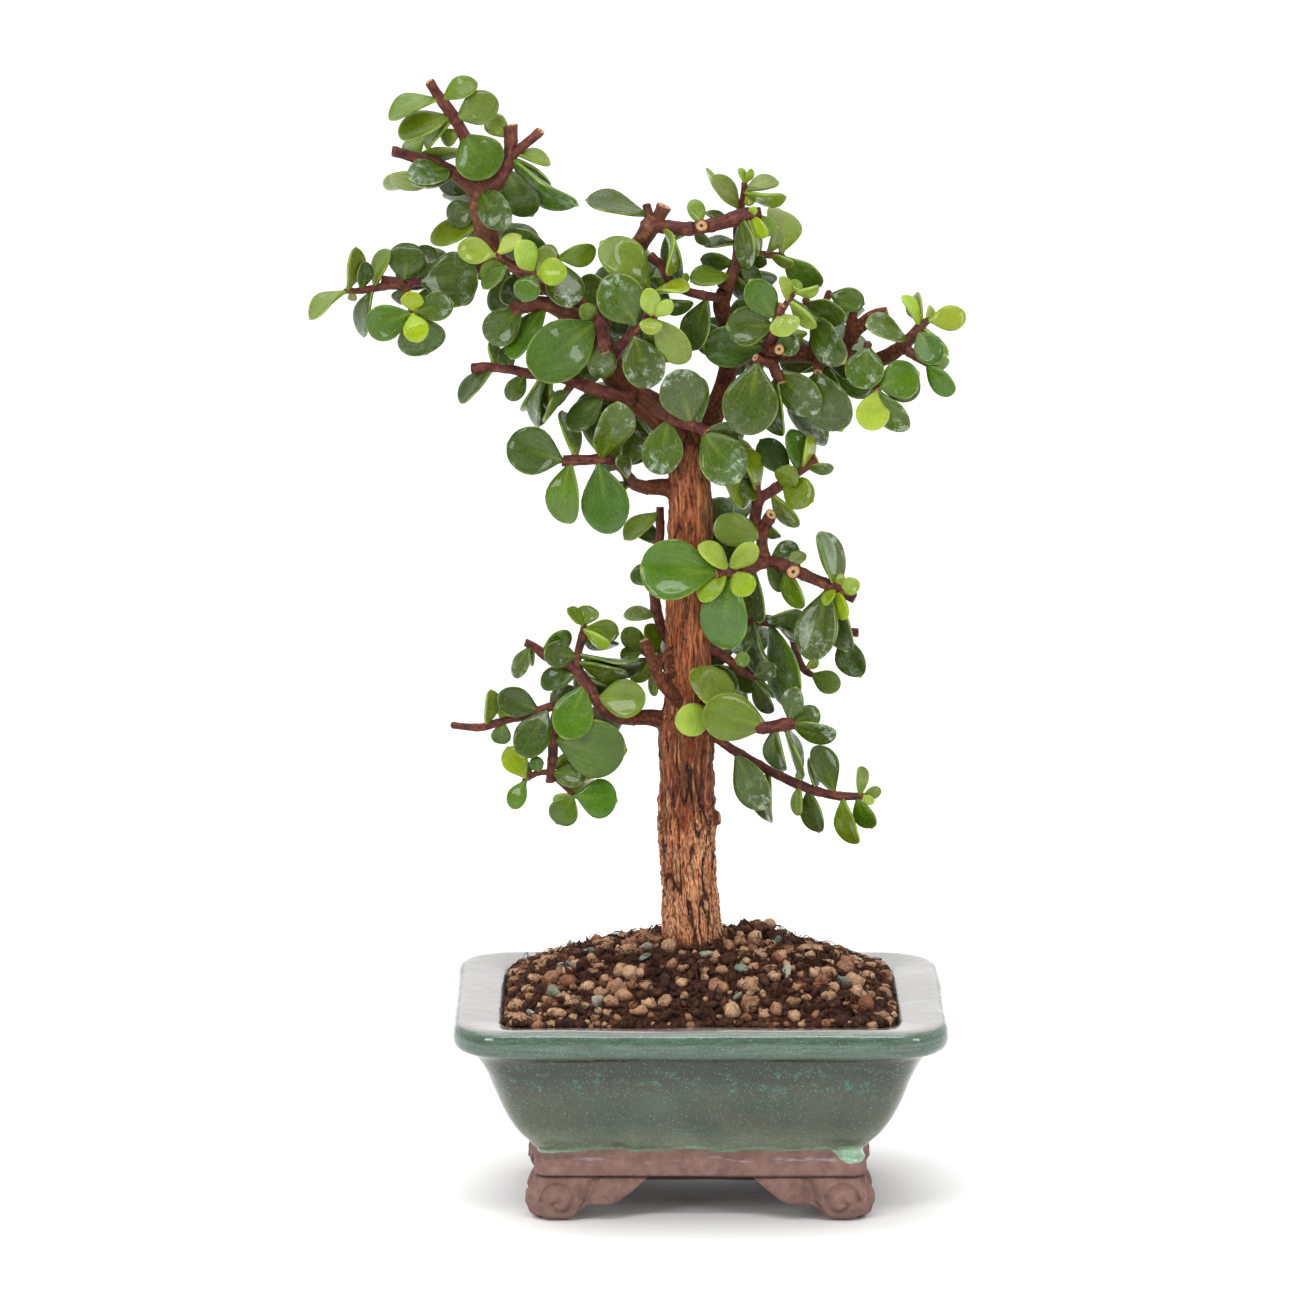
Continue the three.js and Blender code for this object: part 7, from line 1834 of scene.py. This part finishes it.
def bark_material():
    material, tree, shader = new_material("fissured_bark")
    place = tree.place()
    crack, plate, run = tree.split(tree.attribute("bark"))
    radius, cut, share = tree.split(tree.attribute("wood"))
    round_place = tree.attribute("round")
    grain = tree.noise(tree.stretch(round_place, (1.1, 1.1, 0.16)), 1.0, 5, 0.66)
    colour = tree.shades(grain, (0.27, 44, 12, 4), (0.42, 108, 46, 18), (0.56, 170, 86, 42),
                         (0.72, 238, 158, 98))
    fine = tree.noise(tree.stretch(round_place, (2.6, 2.6, 0.5)), 1.0, 4, 0.6)
    # pale flaking bark low down, a dark damp length above it, red-brown higher up
    level = tree.calc("ADD", tree.split(place)[2],
                      tree.fit(tree.noise(tree.stretch(place, (1, 1, 0.35)), 0.3, 3), 0.3, 0.7, -9, 9))
    low = tree.fit(level, 126, 112)
    damp = tree.band(level, 112, 124, 160, 138)
    pale = tree.times(tree.fit(fine, 0.42, 0.6), tree.fit(low, 0, 1, 0.2, 0.95))
    colour = tree.tint(colour, (255, 198, 150), pale)
    colour = tree.tint(colour, (74, 32, 8), damp, 0.55)
    shadows = tree.fit(tree.noise(tree.stretch(place, (1, 1, 0.3)), 0.22, 4, 0.65), 0.5, 0.66)
    colour = tree.tint(colour, (70, 26, 8), shadows, tree.fit(low, 0, 1, 0.6, 0.25))
    lights = tree.fit(tree.noise(tree.stretch(round_place, (1.4, 1.4, 0.12)), 0.8, 4, 0.6), 0.52, 0.66)
    colour = tree.tint(colour, (240, 160, 106), lights, 0.7)
    red = tree.fit(tree.noise(tree.stretch(place, (1, 1, 0.4)), 0.14, 3), 0.42, 0.6)
    colour = tree.tint(colour, (140, 52, 16), red, 0.35)
    green = tree.fit(tree.noise(tree.stretch(place, (1, 1, 0.4)), 0.16, 3), 0.58, 0.7)
    colour = tree.tint(colour, (92, 84, 32), green, 0.35)
    dark = tree.fit(crack, 0.2, 0.9)
    colour = tree.tint(colour, (34, 12, 5), dark, 0.9)
    flake = tree.specks(tree.stretch(place, (1, 1, 0.45)), 1.0, 0.24, 0.5)
    colour = tree.tint(colour, (230, 184, 146), flake, tree.fit(low, 0, 1, 0.15, 0.4))
    # painted shade darkens the limbs under the crown's leaves; thin branches are smoother and redder than
    # the trunk, and their darker ramp is partly painted shade as well
    crown = tree.band(level, 214, 236, 278, 256)
    colour = tree.tint(colour, (58, 22, 8), crown, 0.5)
    thin = tree.fit(radius, 5.6, 3.2)
    slim = tree.shades(tree.noise(round_place, 0.9, 5, 0.66), (0.3, 40, 14, 7), (0.5, 86, 40, 20),
                       (0.7, 150, 88, 54))
    colour = tree.mix(tree.times(thin, 0.85), colour, slim)
    wood = tree.shades(tree.noise(place, 0.9, 3), (0.3, 176, 128, 84), (0.7, 214, 176, 126))
    pith = tree.fit(share, 0.35, 0.15)
    wood = tree.tint(wood, (84, 50, 34), pith)
    colour = tree.mix(cut, colour, wood)
    tree.fill(shader, {
        "Base Color": colour,
        "Roughness": tree.fit(tree.times(damp, fine), 0.25, 0.5, 0.75, 0.3),
        "Specular IOR Level": 0.3,
    })
    height = tree.calc("ADD", tree.times(grain, 1.0), tree.times(fine, 0.7))
    tree.fill(shader, {"Normal": tree.bump(height, 1.0, 0.0015)})
    return material


GLAZE_LINE = 21.6


def pot_material():
    material, tree, shader = new_material("celadon_over_clay")
    place = tree.place()
    across, depth, level = tree.split(place)
    wobble = tree.fit(tree.noise(place, 0.06, 3), 0.3, 0.7, -1.0, 1.0, smooth=False)
    fine_wobble = tree.fit(tree.noise(place, 0.5, 2), 0.3, 0.7, -0.2, 0.2, smooth=False)
    line = tree.calc("ADD", tree.calc("ADD", level, wobble), fine_wobble)
    # a run of thick glaze at the right front corner
    pot_x = tree.calc("SUBTRACT", across, ORIGIN[0] / MM)
    run_x = tree.calc("ABSOLUTE", tree.calc("SUBTRACT", pot_x, 46.0))
    run = tree.times(tree.fit(run_x, 7.4, 2.2), tree.fit(depth, -22, -30))
    line = tree.calc("ADD", line, tree.times(run, 3.6))
    glazed = tree.fit(line, GLAZE_LINE - 0.15, GLAZE_LINE + 0.15)
    # glaze: green pooled thick in hollows, thin and brown where it drains off the wall
    cloud = tree.noise(tree.stretch(place, (1, 1, 0.7)), 0.055, 5, 0.6)
    glaze = tree.shades(cloud, (0.3, 36, 50, 38), (0.5, 50, 66, 50), (0.7, 66, 82, 64))
    drained = tree.noise(tree.stretch(place, (0.6, 0.6, 1)), 0.075, 5, 0.62)
    thin_wall = tree.band(level, 52, 44, 23, 27)
    thin_wall = tree.times(thin_wall, tree.fit(drained, 0.38, 0.6))
    glaze = tree.tint(glaze, (70, 66, 46), thin_wall, 0.6)
    # paler towards the foot of the wall: painted light from the bright floor, over mottling like thinner
    # glaze; mottled on the lip; pale grey on the flat rim
    low_wall = tree.times(tree.fit(level, 33, 23), tree.fit(cloud, 0.3, 0.6, 0.4, 0.85))
    glaze = tree.tint(glaze, (106, 115, 94), low_wall)
    brushed = tree.noise(tree.stretch(place, (0.12, 0.12, 1.3)), 1.0, 4, 0.6)
    top = tree.add("ShaderNodeAttribute", attribute_name="rim").outputs["Fac"]
    lip = tree.times(tree.fit(level, 54.5, 57), tree.fit(brushed, 0.36, 0.64))
    lip = tree.times(lip, tree.fit(top, 0.5, 0))
    glaze = tree.tint(glaze, (72, 94, 82), tree.fit(level, 53.6, 55, 0, 0.5))
    glaze = tree.tint(glaze, (106, 130, 118), lip, 0.3)
    # painted reflection: the flat rim is made pale grey, as the white room would show in it
    glaze = tree.tint(glaze, (156, 149, 148), top, 0.7)
    # brown patches on the flat rim
    brown_rim_patches = tree.times(top, tree.fit(tree.noise(place, 0.12, 4, 0.65), 0.52, 0.66))
    glaze = tree.tint(glaze, (126, 108, 82), brown_rim_patches, 0.4)
    # painted shade: the band just under the lip's overhang is made much darker
    shade_lip = tree.band(level, 40, 50, 54.5, 52.5)
    glaze = tree.tint(glaze, (26, 32, 24), shade_lip, 0.9)
    under_lip = tree.band(level, 37, 43, 53, 47)
    blue = tree.times(under_lip, tree.fit(tree.noise(place, 0.3, 6, 0.8), 0.54, 0.62))
    glaze = tree.tint(glaze, (58, 118, 102), blue, 0.65)
    pale_line = tree.times(tree.fit(line, GLAZE_LINE + 1.7, GLAZE_LINE + 0.5), glazed)
    glaze = tree.tint(glaze, (122, 160, 130), pale_line, 0.7)
    glaze = tree.tint(glaze, (150, 184, 156), run, tree.fit(level, 24, 21))
    spray = tree.specks(place, 1.05, 0.2, 0.58)
    glaze = tree.tint(glaze, (124, 148, 126), spray, 0.55)
    motes = tree.specks(tree.stretch(place, (1.07, 1.11, 0.96)), 2.6, 0.22, 0.5)
    glaze = tree.tint(glaze, (44, 62, 50), motes, 0.3)
    pits = tree.specks(tree.stretch(place, (1.13, 1.09, 1.21)), 0.55, 0.07, 0.5)
    glaze = tree.tint(glaze, (48, 42, 36), pits, 0.7)
    glaze = tree.patchy(place, glaze, 0.9, tree.fit(top, 0, 1, 0.2, 0.03))
    # clay: matt, pinkish brown, with grit and pale scuffs
    clay = tree.shades(tree.noise(place, 0.18, 5, 0.65), (0.3, 110, 81, 74), (0.7, 154, 119, 108))
    grit = tree.specks(place, 1.7, 0.18, 0.5)
    clay = tree.tint(clay, (160, 136, 126), grit, 0.4)
    dark_grit = tree.specks(tree.stretch(place, (0.9, 1.1, 0.97)), 1.4, 0.12, 0.5)
    clay = tree.tint(clay, (72, 50, 44), dark_grit, 0.5)
    scuff = tree.times(tree.fit(tree.noise(tree.stretch(place, (0.3, 0.3, 1.2)), 0.5, 3), 0.56, 0.68),
                       tree.band(level, 17.5, 18.6, 20.4, 19.4))
    clay = tree.tint(clay, (176, 168, 180), scuff, 0.5)
    seam = tree.band(level, 12.6, 13.3, 14.4, 13.7)
    clay = tree.tint(clay, (52, 34, 30), seam, 0.6)
    # painted shade: the underside and the inner foot ring are made nearly black
    below = tree.times(tree.fit(tree.calc("ABSOLUTE", depth), 27.2, 26.4),
                       tree.fit(tree.calc("ABSOLUTE", pot_x), 43.4, 42.4))
    below = tree.times(below, tree.fit(level, 17.5, 16.8))
    clay = tree.tint(clay, (28, 20, 18), below, 0.9)
    tree.fill(shader, {"Base Color": tree.mix(glazed, clay, glaze)})
    gloss = tree.fit(tree.noise(place, 0.15, 2), 0.3, 0.7, 0.14, 0.24)
    tree.fill(shader, {"Roughness": tree.calc("ADD", gloss, tree.fit(glazed, 1, 0, 0, 0.6))})
    coated = tree.times(glazed, tree.even(top, 0.4, 1))
    tree.fill(shader, {
        "Coat Weight": coated,
        "Coat IOR": 1.55,
        "Coat Roughness": 0.06,
    })
    swell = tree.noise(place, 0.12, 3, 0.5)
    rough_clay = tree.times(tree.noise(place, 1.9, 4, 0.65), tree.fit(glazed, 1, 0, 0.03, 1))
    rough_clay = tree.times(rough_clay, tree.fit(top, 0.3, 0))
    step = tree.times(glazed, 0.5)
    pit_dip = tree.times(pits, -0.5)
    height = tree.calc("ADD", tree.calc("ADD", rough_clay, step), pit_dip)
    normal = tree.bump(swell, 0.35, 0.002)
    tree.fill(shader, {"Normal": tree.bump(height, 0.6, 0.0007, normal)})
    return material


def soil_material():
    material, tree, shader = new_material("gritty_soil_mix")
    place = tree.place()
    chance, kind, other = tree.split(tree.attribute("looks"))
    peat = tree.shades(tree.noise(place, 0.55, 5, 0.7), (0.3, 32, 17, 11), (0.52, 80, 48, 34),
                       (0.74, 142, 96, 70))
    tan = tree.shades(chance, (0.0, 156, 106, 76), (0.35, 208, 160, 122), (0.7, 230, 186, 146),
                      (0.9, 192, 142, 110), (1.0, 150, 84, 58))
    tan = tree.patchy(place, tan, 0.5, 0.28)
    stain = tree.fit(tree.noise(place, 0.42, 4, 0.65), 0.50, 0.64)
    tan = tree.tint(tan, (96, 60, 40), stain, 0.55)
    pores = tree.specks(place, 1.5, 0.26, 0.54)
    tan = tree.tint(tan, (58, 32, 20), pores, 0.75)
    chip = tree.shades(chance, (0.0, 124, 144, 126), (0.6, 172, 182, 158), (1.0, 214, 208, 184))
    chip = tree.patchy(place, chip, 0.5, 0.2)
    bark = tree.shades(chance, (0.0, 40, 22, 16), (0.5, 82, 46, 32), (1.0, 120, 72, 48))
    colour = peat
    for number, look in ((PELLET, tan), (CHIP, chip), (SPLINTER, bark)):
        colour = tree.mix(tree.matches(kind, number), colour, look)
    dust = tree.specks(place, 1.5, 0.2, 0.5)
    colour = tree.tint(colour, (50, 30, 22), dust, 0.4)
    height = tree.calc("SUBTRACT", tree.noise(place, 1.1, 6, 0.75), tree.times(pores, 0.3))
    tree.fill(shader, {
        "Base Color": colour,
        "Roughness": tree.even(other, 0.75, 0.95),
        "Specular IOR Level": 0.25,
        "Normal": tree.bump(height, 1.0, 0.0018),
    })
    return material


def plain_material(name, dark, light, roughness, metallic=0):
    material, tree, shader = new_material(name)
    place = tree.place()
    worn = tree.noise(place, 1.2, 3)
    tree.fill(shader, {
        "Base Color": tree.shades(tree.noise(place, 0.6, 4), (0.3, *dark), (0.7, *light)),
        "Metallic": metallic,
        "Roughness": tree.fit(worn, 0.3, 0.7, roughness - 0.08, roughness + 0.08),
        "Normal": tree.bump(tree.noise(place, 2.5, 2), 0.3, 0.0004),
    })
    return material


def paint(piece, material):
    piece.data.materials.clear()
    piece.data.materials.append(material)


# The tree in its pot
growth = grow_tree()
leaf_look = leaf_material()
twig_look = twig_material()
for kind, piece in make_stems(growth):
    paint(piece, leaf_look if kind == "leaves" else twig_look)
paint(make_trunk(), bark_material())
paint(make_pot(), pot_material())
paint(make_soil(), soil_material())
paint(make_drain_mesh(), plain_material("black_net", (22, 24, 24), (44, 46, 46), 0.6))
paint(make_wire(), plain_material("soft_wire", (150, 152, 156), (188, 190, 194), 0.35, 1))

# Floor, light and camera
FLOOR_SIZE = 14
bpy.ops.mesh.primitive_plane_add(size=FLOOR_SIZE, location=(0, 0, 0))
floor = bpy.context.view_layer.objects.active
floor.name = "studio_floor"
floor_look, floor_tree, floor_shader = new_material("pale_paper")
paper = floor_tree.noise(floor_tree.place(), 0.01, 2)
floor_tree.fill(floor_shader, {
    "Base Color": floor_tree.ramp(paper, [(0.3, (0.9, 0.9, 0.905, 1)), (0.7, (0.93, 0.93, 0.93, 1))]),
    "Roughness": 0.7,
})
paint(floor, floor_look)

FRONT_LIGHT = 0.18
BACK_LIGHT = 1.0
world = bpy.data.worlds.new("studio")
world.use_nodes = True
bpy.context.scene.world = world
bpy.context.scene.view_settings.view_transform = "Standard"
sky = Tree(world.node_tree)
# a bright sweep behind and above the tree, a darker room behind the camera
_, toward_back, upward = sky.split(sky.add("ShaderNodeTexCoord").outputs["Generated"])
back = sky.fit(toward_back, -0.55, 0.35, FRONT_LIGHT, BACK_LIGHT)
above = sky.fit(upward, 0.35, 0.9, 0, 0.35)
background = world.node_tree.nodes["Background"]
background.inputs["Color"].default_value = (1, 1, 1, 1)
sky.put(background.inputs["Strength"], sky.calc("ADD", back, above))


MIDDLE = (0.0, 0.0, 0.17)


def area_light(name, spot, size, power):
    """A light box that points at the middle of the tree."""
    light = bpy.data.lights.new(name, "AREA")
    light.shape = "RECTANGLE"
    light.size = size[0]
    light.size_y = size[1]
    light.energy = power
    lamp = bpy.data.objects.new(name, light)
    lamp.location = spot
    lamp.rotation_euler = (Vector(MIDDLE) - Vector(spot)).to_track_quat("-Z", "Y").to_euler()
    bpy.context.collection.objects.link(lamp)


def sun_light(name, spot, spread, strength):
    light = bpy.data.lights.new(name, "SUN")
    light.angle = math.radians(spread)
    light.energy = strength
    lamp = bpy.data.objects.new(name, light)
    lamp.rotation_euler = (-Vector(spot)).to_track_quat("-Z", "Y").to_euler()
    bpy.context.collection.objects.link(lamp)


sun_light("overhead", (-0.15, -0.15, 1), 60, 1.9)
area_light("left_box", (-0.75, -0.85, 0.6), (0.32, 0.4), 4.0)
area_light("right_box", (0.85, -0.75, 0.5), (0.26, 0.36), 2.8)
area_light("front_strip", (0.1, -0.8, 1.15), (0.9, 0.14), 4.0)

target = np.array([TARGET_X, 0, TARGET_Z])
eye = target + DISTANCE * TO_VIEWER
camera_data = bpy.data.cameras.new("front_camera")
camera_data.sensor_width = FRAME_SENSOR
camera_data.lens = FRAME_SENSOR * DISTANCE / FRAME_WIDTH
camera = bpy.data.objects.new("front_camera", camera_data)
camera.location = eye * MM + ORIGIN
camera.rotation_euler = (math.pi / 2 - PITCH, 0, 0)
bpy.context.collection.objects.link(camera)
bpy.context.scene.camera = camera
